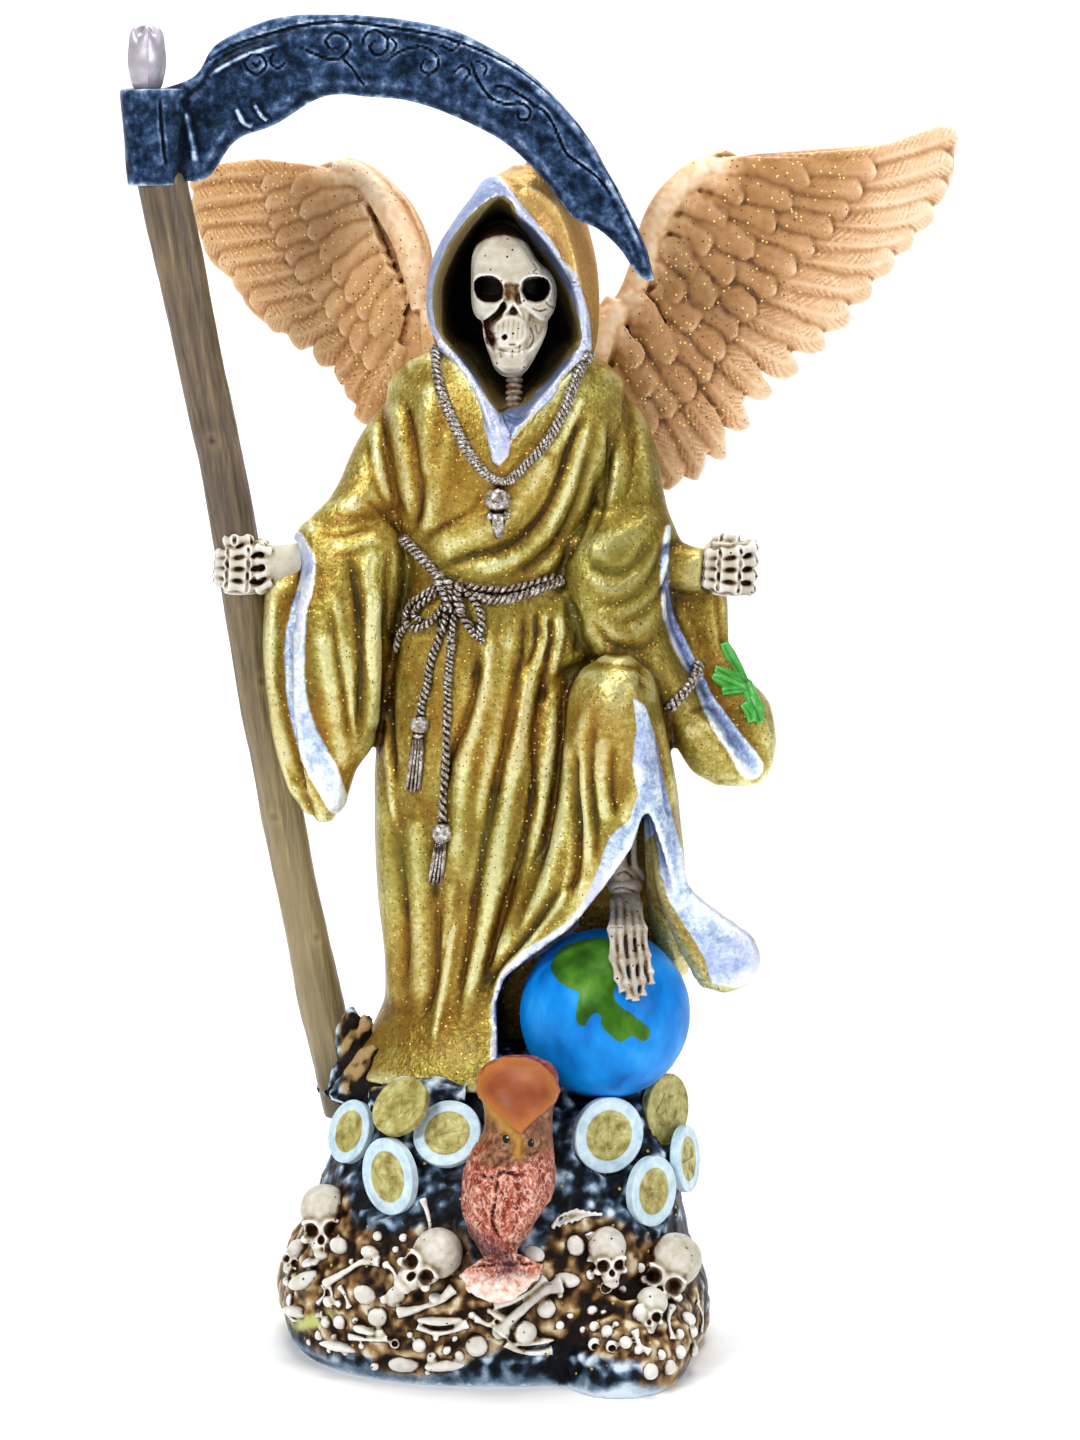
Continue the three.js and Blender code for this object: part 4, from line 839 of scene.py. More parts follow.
for trim in TRIMS:
    points, directions = points_of(hood), directions_of(hood)
    inside = within(seen_at(points), trim)
    inside = np.where(toward_eye(hood) > -0.3, inside, OUTSIDE)
    move_to(hood, points + directions * (0.7 / 1000 * step_up(-2, 2, inside))[:, None])
    rim = np.maximum(rim, inside)
opening = within(seen_at(points_of(hood)), FACE_OPENING)
carve(hood, [
    (0.9, 9, [(548, 196), (562, 225), (572, 258), (577, 295)]),
    (-0.7, 5, [(556, 232), (566, 262), (572, 292)]),
    (0.8, 7, [(520, 186), (540, 196), (556, 215)]),
    (0.5, 4, [(446, 350), (462, 364), (474, 384), (484, 408), (494, 436)]),
    (-0.5, 3, [(500, 416), (505, 432), (510, 444)]),
    (-0.4, 2.5, [(506, 414), (520, 418), (536, 408)]),
    (0.5, 3.5, [(508, 424), (518, 428), (532, 416)]),
    (-0.5, 2.5, [(503, 432), (515, 440), (524, 430)]),
    (0.5, 4, [(534, 396), (550, 384), (566, 366)]),
    (-0.5, 3, [(540, 404), (555, 388), (572, 368)]),
])
points = points_of(hood)
record(hood, "silver", rim)
record(hood, "web", step_up(10, 3, np.linalg.norm((points * 1000 - (12, 0, 270)) * (0.7, 0.4, 1), axis=1)))
record(hood, "inside", np.where((toward_eye(hood) > -0.8) & (points[:, 1] < 0.0125), opening + 3.0, OUTSIDE))
hollows(hood)

coat(hood, gold_paint)
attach(hood, "root")
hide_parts("figure")

# Skull and neck: cast inside the hood and painted ivory, with a brown wash in the hollows that is partly painted
# shade, and painted shadow where the hood hangs over them.
SKULL_GRID = 0.00028


def oval(name, centre, radii, rotation=(0, 0, 0), segments=32, rings=20):
    """A ball at a centre, with three radii, in millimetres."""
    bpy.ops.mesh.primitive_uv_sphere_add(segments=segments, ring_count=rings, radius=0.001)
    ball = bpy.context.object
    ball.name = name
    ball.scale = radii
    ball.rotation_euler = rotation
    ball.location = Vector(centre) / 1000
    bpy.ops.object.transform_apply(location=True, rotation=True, scale=True)
    return ball


# Millimetres to a pixel, across and up, at the skull, and how far a line of sight falls for each one it goes back.
SKULL_SCALE = (0.2218, 0.2243)
SIGHT_SLOPE = 0.158


def face(px, py, y):
    """A point of the skull, from where it is seen in the photograph and its depth in millimetres."""
    return 0.1 + (px - 489) * SKULL_SCALE[0], y, 238.4 + (290 - py) * SKULL_SCALE[1] + (y + 10) * SIGHT_SLOPE


# The face of the skull, by its outline, then the forms on it: height in millimetres, softness in pixels, outline.
SKULL_OUTLINE = [
    (485, 240), (492, 235), (502, 232), (512, 235), (521, 243), (529, 254), (537, 267), (547, 276), (553, 285),
    (556, 297), (555, 309), (552, 317), (547, 322), (546, 331), (542, 341), (536, 352), (529, 364), (523, 372),
    (512, 376), (501, 374), (494, 366), (490, 355), (486, 345), (483, 334), (482, 322), (476, 319), (472, 311),
    (471, 298), (471, 280), (472, 262), (477, 250),
]
LEFT_SOCKET = [(475, 290), (475, 283), (480, 278), (491, 277), (499, 281), (503, 290), (502, 298), (496, 302),
               (485, 302), (477, 297)]
RIGHT_SOCKET = [(521, 291), (524, 281), (532, 278), (544, 279), (549, 285), (549, 294), (544, 301), (535, 303),
                (526, 300)]
SKULL_FORMS = [
    (0.35, 1.5, [(471, 292), (475, 302), (488, 305), (500, 303), (498, 309), (491, 315), (485, 320), (476, 319),
                 (471, 311)]),
    (0.35, 1.5, [(520, 300), (528, 306), (540, 307), (556, 300), (556, 310), (552, 318), (546, 321), (538, 318),
                 (530, 312), (522, 305)]),
    (-2.6, 1.4, [(484, 322), (491, 317), (498, 311), (503, 303), (506, 308), (501, 317), (495, 322), (491, 331),
                 (495, 341), (493, 347), (487, 341), (485, 332)]),
    (0.8, 2.0, [(493, 326), (498, 318), (508, 315), (520, 317), (526, 324), (527, 335), (521, 344), (510, 347),
                (499, 346), (495, 337)]),
    (-0.9, 2.0, [(529, 314), (538, 320), (544, 323), (541, 334), (534, 345), (527, 350), (525, 344), (529, 334),
                 (528, 324)]),
    (-0.7, 1.2, [(509, 314), (513, 307), (517, 314)]),
    (-1.8, 0.6, [(503, 336), (506, 335), (506.5, 339), (503.5, 340)]),
    (-1.2, 0.5, [(509, 343.5), (516, 343.5), (516, 345.5), (509, 345.5)]),
    (0.5, 2.5, [(499, 351), (512, 349), (524, 350), (525, 366), (517, 374), (503, 373), (497, 363)]),
    (-0.8, 1.6, [(504, 285), (507, 284), (509, 300), (505, 303), (503, 296)]),
    (-0.8, 1.6, [(516, 284), (520, 286), (520, 298), (522, 304), (516, 302)]),
    (-6.2, 1.0, LEFT_SOCKET), (-6.6, 1.0, RIGHT_SOCKET),
]
STAINS = [
    (3, [(505, 286), (510, 283), (516, 285), (520, 296), (517, 301), (509, 299), (504, 294)]),
    (2, [(508, 315), (513, 306), (518, 315)]),
    (3, [(484, 322), (490, 318), (496, 314), (503, 303), (506, 309), (496, 322), (493, 331), (497, 343), (494, 350),
         (487, 343)]),
    (1.4, [(532, 320), (539, 323), (544, 327), (538, 337), (533, 343), (530, 336)]),
    (2, [(499, 353), (503, 352), (504, 356), (500, 358)]),
    (3, LEFT_SOCKET),
]
SKULL_FRONT = [(229, -3), (238, -8.6), (250, -11.4), (264, -12.8), (280, -13.2), (300, -12.8), (325, -12.6),
               (350, -13.2), (366, -12.8), (378, -10.6)]
outline = smooth_line(SKULL_OUTLINE + SKULL_OUTLINE[:1], 120)[:-1]
near_edge = [face(px, py, -12) for px, py in outline]
far_edge = [face(px, py, -3) for px, py in outline]
count = len(outline)
sides = [(i, (i + 1) % count, count + (i + 1) % count, count + i) for i in range(count)]
mask = new_piece("mask", near_edge + far_edge, sides + [tuple(range(count)), tuple(range(count, 2 * count))])
face_outwards(mask)
skull = weld("skull", [
    mask,
    oval("cranium", (2.9, -1.2, 244.4), (6.4, 8.4, 9.4)),
    oval("crown", (2.7, -5.2, 246.6), (4.8, 5.4, 6.4)),
], SKULL_GRID, rounds=4)
points = points_of(skull) * 1000
places = seen_at(points / 1000)
forward = np.clip((-3 - points[:, 1]) / 9, 0, 1)
off = (places[:, 0] - np.interp(places[:, 1], [235, 290, 375], [501, 512, 511])) * MM_PER_PIXEL
front = np.interp(places[:, 1], *np.array(SKULL_FRONT).T) + 0.042 * off**2 + 0.0004 * off**4
rim = within(places, outline)
front += 1.6 * np.clip(1 - rim / 8, 0, 1) ** 2
points[:, 1] += forward * (front + 12)
points[:, 2] += forward * (front + 12) * SIGHT_SLOPE
move_to(skull, points / 1000)
finish_with(skull, "SMOOTH", factor=0.5, iterations=2)
for height, soft, form in SKULL_FORMS:
    points = points_of(skull)
    inside = within(seen_at(points), smooth_line(form + form[:1], 60)[:-1])
    inside = np.where((points[:, 1] < -0.003) & (toward_eye(skull) > -0.2), inside, OUTSIDE)
    move_to(skull, points - np.array((0, 1, SIGHT_SLOPE)) * (height / 1000 * step_up(-soft, soft, inside))[:, None])
skull = weld("skull", [skull], SKULL_GRID, rounds=1)
carve(skull, [
    (0.1, 2.6, [(473, 286), (477, 276), (490, 275), (501, 280), (505, 290)]),
    (0.1, 2.6, [(519, 288), (523, 279), (533, 276), (546, 277), (551, 285)]),
    (0.3, 2.2, [(512, 303), (508, 309), (503, 316)]), (0.3, 2.2, [(514, 303), (518, 309), (522, 317)]),
    (0.35, 3.0, [(484, 323), (487, 338), (491, 352), (497, 366), (508, 373), (518, 372), (527, 363), (536, 349),
                 (543, 335), (546, 324)]),
    *[(-0.1, 1.8, [(x + 1, 318 + abs(x - 509) * 0.3), (x, 328), (x - 1, 340)]) for x in (498, 503, 508, 513, 518, 523)],
    (-0.25, 2.0, [(497, 349), (506, 351), (516, 352), (526, 348)]),
    (-0.25, 2.0, [(500, 351), (501, 358)]), (-0.2, 2.0, [(512, 352), (512, 358)]),
    (-0.25, 2.0, [(520, 345), (519, 354)]),
    (-0.3, 2.0, [(530, 326), (534, 338), (529, 348)]), (-0.3, 2.0, [(536, 324), (538, 334)]),
    (-0.35, 2.0, [(533, 262), (537, 268), (534, 272), (539, 274)]),
    (-0.3, 1.8, [(486, 240), (492, 235), (502, 232), (512, 236)]),
    (-0.35, 2.2, [(532, 308), (540, 311), (548, 309)]), (-0.3, 2.0, [(545, 300), (550, 306), (555, 308)]),
    (-0.25, 2.2, [(486, 330), (491, 334), (496, 333)]), (-0.25, 2.2, [(488, 338), (494, 340), (499, 338)]),
], deepest=0.0)
places = seen_at(points_of(skull))
fronting = points_of(skull)[:, 1] < -0.002
socket = np.max([within(places, form) for form in
                 (RIGHT_SOCKET, SKULL_FORMS[6][2], SKULL_FORMS[7][2])], axis=0)
record(skull, "socket", np.where(fronting, np.maximum(socket, 0), 0))
stain_and_shade = np.max([soft * step_up(-soft, 0.3 * soft, within(places, form)) for soft, form in STAINS], axis=0)
depth = within(places, LEFT_SOCKET)
# The skull is also darkened along its outline, as painted shade.
stain_and_shade = np.clip(stain_and_shade / 3, 0, 1) + 0.55 * step_up(4.5, 0.5, within(places, outline)) + (depth > 0) * (1.1 + depth / 20)
# Painted shadow of the hood: the top of the cranium, and all of the skull's back, are painted darkest.
above = places[:, 1] - 235 - 0.014 * (places[:, 0] - 503) ** 2
record(skull, "stain_and_shade", np.where(fronting, np.maximum(stain_and_shade, 2.2 * step_up(5, -5, above)), 2.2))
hollows(skull, (3, 24))
sheltered(skull, 0.004)
neck_line = smooth_line([(5.6, -3, 223), (5.5, -5.5, 214), (5.3, -7, 204)], 220)
neck_radii = 1.2 + 0.7 * np.abs(np.sin(np.linspace(0, 13.5 * math.pi, 220)))
neck = limb("neck", neck_line, neck_radii, 32, 220)
hollows(neck, (3, 24))
# The neck, deep in the hood, is painted dark brown: partly its own brown, partly painted shade.
record(neck, "stain_and_shade", np.full(len(neck.data.vertices), 0.88))

IVORY = [(0.0, 0x150C06), (0.2, 0x4A3420), (0.36, 0x86725A), (0.5, 0xA89C82), (0.64, 0xC4BDAA), (0.8, 0xDCD8CE),
         (1.0, 0xF4F2EE)]
ivory_paint, tree, shader = new_material("washed_ivory_paint", Roughness=0.45, Specular_IOR_Level=0.06,
                                         Coat_Weight=0.02, Coat_Roughness=0.25)


def washed_and_shaded(tree, colours, fine=2.4, broad=0.6, middle=0.62, scale=140, cloudy=0.35):
    """A painted colour, darker in its hollows: partly a wash left there, partly painted shade."""
    place = add(tree, "ShaderNodeTexCoord").outputs["Object"]
    cloud = clouds(tree, place, scale, 5, 0.65)
    tone = tone_of(tree, fine, broad, middle)
    level = maths(tree, "MULTIPLY_ADD", cloud, cloudy, tone)
    level = maths(tree, "SUBTRACT", level, cloudy / 2, clamp=True)
    return place, ramp(tree, level, colours)


place, colour = washed_and_shaded(tree, IVORY, middle=0.6, scale=160, cloudy=0.6)
# Painted shade: brown, then near black, where the bones are tucked under what is near them.
tucked = field(tree, "tucked")
tucked_shade = ranged(tree, tucked, 0.06, 0.4)
colour = mixed(tree, tucked_shade, colour, shade(0x6E4A2A), "MULTIPLY")
deep = ranged(tree, tucked, 0.22, 0.6)
colour = mixed(tree, deep, colour, shade(0x2E1A0C))
stain_and_shade = field(tree, "stain_and_shade")
mottled = clouds(tree, place, 420, 4, 0.7)
mottled = ranged(tree, mottled, 0.36, 0.58, 1.1, 0.35)
stain_share = maths(tree, "MULTIPLY", stain_and_shade, mottled, clamp=True)
colour = mixed(tree, stain_share, colour, shade(0x8E6638), "MULTIPLY")
# Where the stains and the painted shade are heavy the ivory turns red-brown, and near black where the hood's painted
# shadow lies and in the deep left socket.
darker = ranged(tree, stain_and_shade, 0.9, 1.25)
colour = mixed(tree, darker, colour, shade(0x38160F))
darkest = ranged(tree, stain_and_shade, 1.45, 2.0)
colour = mixed(tree, darkest, colour, shade(0x150E08))
socket = field(tree, "socket")
shadow = ranged(tree, socket, 0.1, 1.0)
left = add(tree, "ShaderNodeSeparateXYZ", {"Vector": place}).outputs["X"]
left = ranged(tree, left, 0.0045, 0.0035)
pit = mixed(tree, left, shade(0x050303), mixed(tree, mottled, shade(0x160504), shade(0x3C140C)))
colour = mixed(tree, shadow, colour, pit)
colour = mixed(tree, glitter(tree, place, 0.0012, 0.12, 0.2), colour, shade(0x3A2414))
rough = clouds(tree, place, 1100, 3)
painted(tree, shader, colour, rough, 0.25, 0.0003)
for bones in (skull, neck):
    smooth_coat(bones, ivory_paint)
    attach(bones, "root")
    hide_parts("figure")

# Scythe: its pole is cast as rough wood and painted grey-brown, and its blade and socket are gloss black,
# brushed pale along their raised edges, partly as painted highlight. The blade is engraved with scrolls.
POLE_RADIUS = 4.9
POLE = [
    (50, -31.5, 6, 1.4), (56, -33.8, 6.6, 1.18), (60, -35.2, 7, 1.05), (68, -37, 6.8, 1.02), (76, -38.8, 6.5, 1.02),
    (100, -43.4, 5, 0.98), (130, -48.7, 4, 1.0), (158, -53.6, 2.5, 0.94), (190, -57.8, 1.5, 1.0),
    (225, -64.6, 0.5, 1.04), (262, -71.8, 0, 1.14), (276, -73.4, 0, 1.0),
]
BLADE_BACK = [
    (-74, 281), (-64, 284.8), (-58.4, 291.8), (-44.6, 297.2), (-31, 297.7), (-18.5, 296.7), (-7, 294.2), (3.8, 289),
    (12.6, 282.2), (21.2, 272.6), (29.6, 258.6), (34.4, 249), (36.8, 240.6),
]
BLADE_EDGE = [
    (-70, 262), (-62, 262.5), (-55.5, 270.5), (-47, 274), (-36, 280), (-26, 280.2), (-15, 278.8), (-5, 275),
    (4, 270.2), (12, 263), (18.6, 254.6), (24.5, 251.6), (29, 247.4), (32.6, 242.4), (35, 240.4),
]
BLADE_HALF = 2.5
BLADE_ROOT = (-71, -0.5)
BLADE_TURN = -0.1
KNOTS = [(64, 1.6, 0.5), (72, 2.4, -0.4), (68, 1.2, 0.6), (92, -1.0, 0.5), (120, -1.9, 0.45), (151, -1.2, 0.4),
         (205, -1.7, 0.4)]

pole_rows = np.array(POLE, float)
count, around = 460, 72
line = smooth_line(pole_rows[:, [1, 2, 0]], count)
radii = POLE_RADIUS * np.interp(line[:, 2], pole_rows[:, 0], pole_rows[:, 3])
turn = np.linspace(0, 2 * math.pi, around, endpoint=False)
wood = np.empty((count, around))
for j, angle in enumerate(turn):
    for i in range(count):
        height = line[i, 2]
        grain_place = Vector((2.2 * math.cos(angle), 2.2 * math.sin(angle), height * 0.035))
        wood[i, j] = 0.42 * noise.fractal(grain_place, 0.9, 2.1,
                                          4) + 0.3 * noise.noise(Vector((math.cos(angle), math.sin(angle),
                                                                         height * 0.05)))
for height, angle, rise in KNOTS:
    off = np.angle(np.exp(1j * (turn - angle)))[None, :] * POLE_RADIUS
    reach = np.hypot(off, (line[:, 2] - height)[:, None])
    wood += rise * np.exp(-(reach / 2.2) ** 2) - 1.4 * rise * np.exp(-(reach / 0.9) ** 2)
out = (radii[:, None] + wood)[:, :, None]
rings = line[:, None] + out * np.stack([np.cos(turn), np.sin(turn), np.zeros(around)], axis=1)[None]
pole = skin("pole", rings)
hollows(pole, (3, 20))

sections, sides = 200, 40
back = smooth_line(BLADE_BACK, sections)
edge_line = smooth_line(BLADE_EDGE, sections)
shares = np.concatenate([np.linspace(0, 1, sides // 2), np.linspace(1, 0, sides // 2)])
faces_out = np.concatenate([-np.ones(sides // 2), np.ones(sides // 2)])
width = np.linalg.norm(back - edge_line, axis=1)[:, None]
from_back, from_edge = shares[None] * width, (1 - shares[None]) * width
thick = BLADE_HALF * (0.62 + 0.38 * step_up(0, 1.5, from_back)) * np.clip(0.3 + 0.7 * step_up(0, 3.4, from_edge), 0, 1)
thick -= 0.45 * np.exp(-((from_back - 3.4) / 0.5) ** 2)
flat_x = back[:, None, 0] + (edge_line - back)[:, None, 0] * shares[None]
flat_z = back[:, None, 1] + (edge_line - back)[:, None, 1] * shares[None]
swing_x, swing_y = flat_x - BLADE_ROOT[0], faces_out[None] * thick
x = BLADE_ROOT[0] + swing_x * math.cos(BLADE_TURN) - swing_y * math.sin(BLADE_TURN)
y = BLADE_ROOT[1] + swing_x * math.sin(BLADE_TURN) + swing_y * math.cos(BLADE_TURN)
blade_form = skin("blade_form", np.stack([x, y, flat_z], axis=2))


def turned(name, profile, place, around=48, squeeze=1.0):
    """A turned form about an upright axis, from a profile of radius and height in millimetres."""
    turn = np.linspace(0, 2 * math.pi, around, endpoint=False)
    rings = [[(place[0] + r * math.cos(a), place[1] + squeeze * r * math.sin(a), place[2] + h) for a in turn] for r,
             h in profile]
    return skin(name, rings)


blade = weld("blade", [
    blade_form,
    turned("socket", [(0.1, -10.2), (6.2, -10), (6.6, -6), (7.0, 0), (7.3, 5), (7.8, 9.6), (7.6, 10.8), (0.1, 11)],
           (-73, 0, 271)),
    limb("shoulder", [(-66, 0.5, 266), (-62, 0, 274), (-60, -1, 284)], [4.2, 4.6, 3.4], 24, 24, 0.62),
], 0.00048, rounds=2)
roughen(blade, [(0.28, 70), (0.16, 190)])
carve(blade, [
    (-0.75, 2.6, [(205, 62), (232, 46), (270, 34), (310, 24), (350, 22), (395, 28), (440, 36), (480, 50), (520, 70),
                  (555, 98), (585, 132), (605, 165), (625, 205), (643, 245)]),
    (0.5, 4, [(210, 75), (240, 58), (280, 44)]),
    (-0.6, 2.0, [(243, 60), (248, 70), (258, 74), (266, 66), (262, 56), (252, 54), (244, 62)]),
    (-0.5, 1.8, [(252, 62), (257, 66), (260, 61)]),
    (-0.6, 1.8, [(274, 52), (270, 62), (278, 68), (286, 62)]),
    (-0.65, 2.0, [(300, 47), (315, 54), (330, 59), (342, 57), (350, 46), (345, 36), (334, 33), (326, 41), (331, 49),
                  (339, 47)]),
    (-0.6, 1.8, [(342, 58), (352, 68), (360, 80), (366, 88)]),
    (-0.65, 2.0, [(362, 46), (366, 34), (378, 31), (388, 40), (385, 52), (375, 54), (370, 47), (375, 41)]),
    (-0.6, 1.8, [(386, 62), (396, 54), (410, 48), (424, 47), (436, 55), (438, 66), (430, 74), (421, 69), (424, 60),
                 (431, 62)]),
    (-0.6, 1.8, [(388, 36), (396, 44), (392, 54)]),
    (-0.6, 1.8, [(440, 45), (452, 50), (458, 44), (450, 40)]),
    (-0.7, 2.0, [(470, 60), (478, 80), (490, 97), (506, 104), (520, 103), (530, 110), (527, 120), (518, 118),
                 (519, 110)]),
    (-0.65, 2.0, [(496, 86), (508, 88), (520, 95), (534, 104)]),
    (-0.75, 2.0, [(530, 104), (543, 110), (552, 122), (559, 138), (567, 154), (580, 164), (598, 178), (612, 196)]),
    (-0.5, 1.8, [(452, 74), (462, 66), (470, 72), (464, 80)]),
    (-0.6, 1.8, [(475, 60), (486, 66), (484, 76)]),
    (0.7, 5, [(236, 108), (244, 122), (254, 126)]),
    (0.6, 4, [(254, 104), (262, 116), (268, 120)]),
    (-0.7, 3, [(160, 100), (162, 130), (166, 165)]),
    (0.6, 6, [(185, 110), (192, 140), (196, 165)]),
])
hollows(blade, (3, 24))

KNOB_X = -0.0748
knob = turned("knob", [(0.1, -5), (3.3, -5), (3.7, -3.2), (4.4, -0.5), (4.6, 2), (4.2, 4.4), (4.1, 6), (3.3, 7.6),
                       (2.4, 8.1), (0.1, 8.2)], (1000 * KNOB_X, 0, 286.5), 60)
finish_with(knob, "SUBSURF", levels=2, render_levels=2)
points = points_of(knob)
angle = np.arctan2(points[:, 1], points[:, 0] - KNOB_X)
reach = np.hypot(points[:, 0] - KNOB_X, points[:, 1])
flute = 1 - 0.13 * np.abs(np.sin(2.5 * angle + 0.4)) ** 0.5
points[:, 0] = KNOB_X + reach * flute * np.cos(angle)
points[:, 1] = reach * flute * np.sin(angle)
points[:, 2] += 0.0009 * np.cos(5 * angle + 0.8) * step_up(0.2885, 0.294, points[:, 2])
move_to(knob, points)
hollows(knob, (3, 20))

WOOD = [(0.0, 0x15100C), (0.25, 0x3A2E24), (0.45, 0x5E5040), (0.6, 0x76664F), (0.8, 0x968464), (1.0, 0xBEAE8A)]
wood_paint, tree, shader = new_material("washed_wood_paint", Roughness=0.5, Coat_Weight=0.2, Coat_Roughness=0.3)
place = add(tree, "ShaderNodeTexCoord").outputs["Object"]
slanted = add(tree, "ShaderNodeMapping", {"Vector": place, "Rotation": (0, 0.165, 0),
                                          "Scale": (1, 1, 0.05)}).outputs["Vector"]
streaks = clouds(tree, slanted, 1500, 4, 0.6)
wide = clouds(tree, place, 40, 4)
tone = tone_of(tree, 1.2, 0.4, 0.46)
level = maths(tree, "MULTIPLY_ADD", streaks, 0.5, tone)
level = maths(tree, "MULTIPLY_ADD", wide, 0.7, level)
level = maths(tree, "SUBTRACT", level, 0.6, clamp=True)
colour = ramp(tree, level, WOOD)
height = add(tree, "ShaderNodeSeparateXYZ", {"Vector": place}).outputs["Z"]
olive = ranged(tree, height, 0.19, 0.15)
colour = mixed(tree, olive, mixed(tree, 0.6, colour, shade(0xC8B8A8), "MULTIPLY"),
               mixed(tree, 0.7, colour, shade(0xFFF4C8), "MULTIPLY"))
pale = ranged(tree, height, 0.17, 0.11, 0.32)
colour = mixed(tree, pale, colour, shade(0xBCAA78))
foot_dark = ranged(tree, height, 0.068, 0.056, 0.6)
colour = mixed(tree, foot_dark, colour, shade(0x2A1E12))
painted(tree, shader, colour, streaks, 0.6, 0.0006)

STEEL_BLACK = [(0.0, 0x01050C), (0.3, 0x0A1626), (0.46, 0x1C3049), (0.58, 0x32486A), (0.7, 0x52698C), (0.84, 0x8298B4),
               (1.0, 0xC8D6E6)]
blade_paint, tree, shader = new_material("gloss_black_paint", Roughness=0.3, Specular_IOR_Level=0.06, Coat_Weight=0.02,
                                         Coat_Roughness=0.1)
place, colour = washed_and_shaded(tree, STEEL_BLACK, fine=2.6, broad=0.3, middle=0.44, scale=420, cloudy=1.3)
rough = clouds(tree, place, 420, 5)
painted(tree, shader, colour, rough, 0.7, 0.0008)

PEWTER = [(0.0, 0x5A4A50), (0.4, 0x9C8E98), (0.6, 0xC9C2CC), (1.0, 0xF2F0F6)]
knob_paint, tree, shader = new_material("silver_knob_paint", Metallic=0.4, Roughness=0.3, Coat_Weight=0.3)
place, colour = washed_and_shaded(tree, PEWTER, fine=1.0, broad=0.3, middle=0.55, scale=200, cloudy=0.5)
painted(tree, shader, colour)
for piece, paint, finish in ((pole, wood_paint, "staff_wood"), (blade, blade_paint, "blade_black"),
                             (knob, knob_paint, "trim_silver")):
    smooth_coat(piece, paint)
    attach(piece, "root")
    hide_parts("figure")

# Globe: a smooth ball under the raised foot, painted sky blue with one plain green land mass, a little proud.
GLOBE = np.array((25.7, -14, 78))
GLOBE_RADIUS = 19.0
LAND = [
    (550, 968), (556, 954), (568, 945), (584, 940), (602, 938), (620, 941), (634, 946), (640, 958), (634, 968),
    (624, 976), (616, 986), (615, 998), (622, 1008), (632, 1014), (642, 1022), (650, 1032), (644, 1041), (632, 1036),
    (622, 1042), (610, 1036), (602, 1026), (598, 1014), (590, 1018), (584, 1026), (576, 1020), (577, 1006), (580, 994),
    (570, 988), (558, 982),
]
bpy.ops.mesh.primitive_ico_sphere_add(subdivisions=6, radius=GLOBE_RADIUS / 1000, location=GLOBE / 1000)
globe = bpy.context.object
globe.name = "globe"
bpy.ops.object.transform_apply(location=True)
land = within(seen_at(points_of(globe)), smooth_line(LAND + LAND[:1], 240)[:-1])
land = np.where(toward_eye(globe) > 0, land, OUTSIDE)
points, directions = points_of(globe), directions_of(globe)
uneven = np.array([noise.noise(Vector(p) * 160) + 0.5 * noise.noise(Vector(p) * 420) for p in points])
move_to(globe, points + directions * ((0.35 * step_up(-1, 2.5, land) + 0.1 * uneven) / 1000)[:, None])
record(globe, "land", land)
hollows(globe, (3, 24))

globe_paint, tree, shader = new_material("satin_blue_and_green_paint", Roughness=0.42, Specular_IOR_Level=0.14,
                                         Coat_Weight=0.04, Coat_Roughness=0.2)
place = add(tree, "ShaderNodeTexCoord").outputs["Object"]
brush = add(tree, "ShaderNodeMapping", {"Vector": place, "Rotation": (0.2, 0.5, 0),
                                        "Scale": (1, 1, 0.6)}).outputs["Vector"]
strokes = clouds(tree, brush, 150, 3, 0.5)
sea = ramp(tree, strokes, [(0.25, 0x0058A6), (0.42, 0x0078D0), (0.6, 0x0C8CE6), (0.85, 0x3CAAF6)])
green = ramp(tree, strokes, [(0.25, 0x16380A), (0.42, 0x30600F), (0.6, 0x4C8420), (0.85, 0x82A848)])
land_at = field(tree, "land")
wobble = clouds(tree, place, 300, 2)
edge = maths(tree, "MULTIPLY_ADD", wobble, 5.0, land_at)
share = ranged(tree, edge, 2.0, 3.4)
colour = mixed(tree, share, sea, green)
painted(tree, shader, colour, strokes, 0.35, 0.0008)
smooth_coat(globe, globe_paint)
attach(globe, "root")
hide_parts("figure")

# Bare bones: the leg and foot over the globe, and the two fists, cast with the figure and painted as the skull is.
BONE_GRID = 0.0003


def onto_globe(px, py, lift):
    """The point above the globe, in millimetres, that is seen at a pixel."""
    across, down = (np.array((px, py)) - FRAME_CENTRE) / FOCAL_PIXELS
    direction = ahead + across * np.array((1, 0, 0)) - down * upward
    direction /= np.linalg.norm(direction)
    start, radius = eye * 1000 - GLOBE, GLOBE_RADIUS + lift
    b = direction @ start
    inner = max(b * b - start @ start + radius * radius, 0)
    return eye * 1000 + (-b - math.sqrt(inner)) * direction


def bone(name, points, radius, swell=1.35, around=16, count=24):
    """A long bone with a swollen end at either side."""
    return limb(name, points, [swell * radius, 1.1 * radius, 0.86 * radius, 0.8 * radius, 0.86 * radius, 1.1 * radius,
                               swell * radius], around, count)


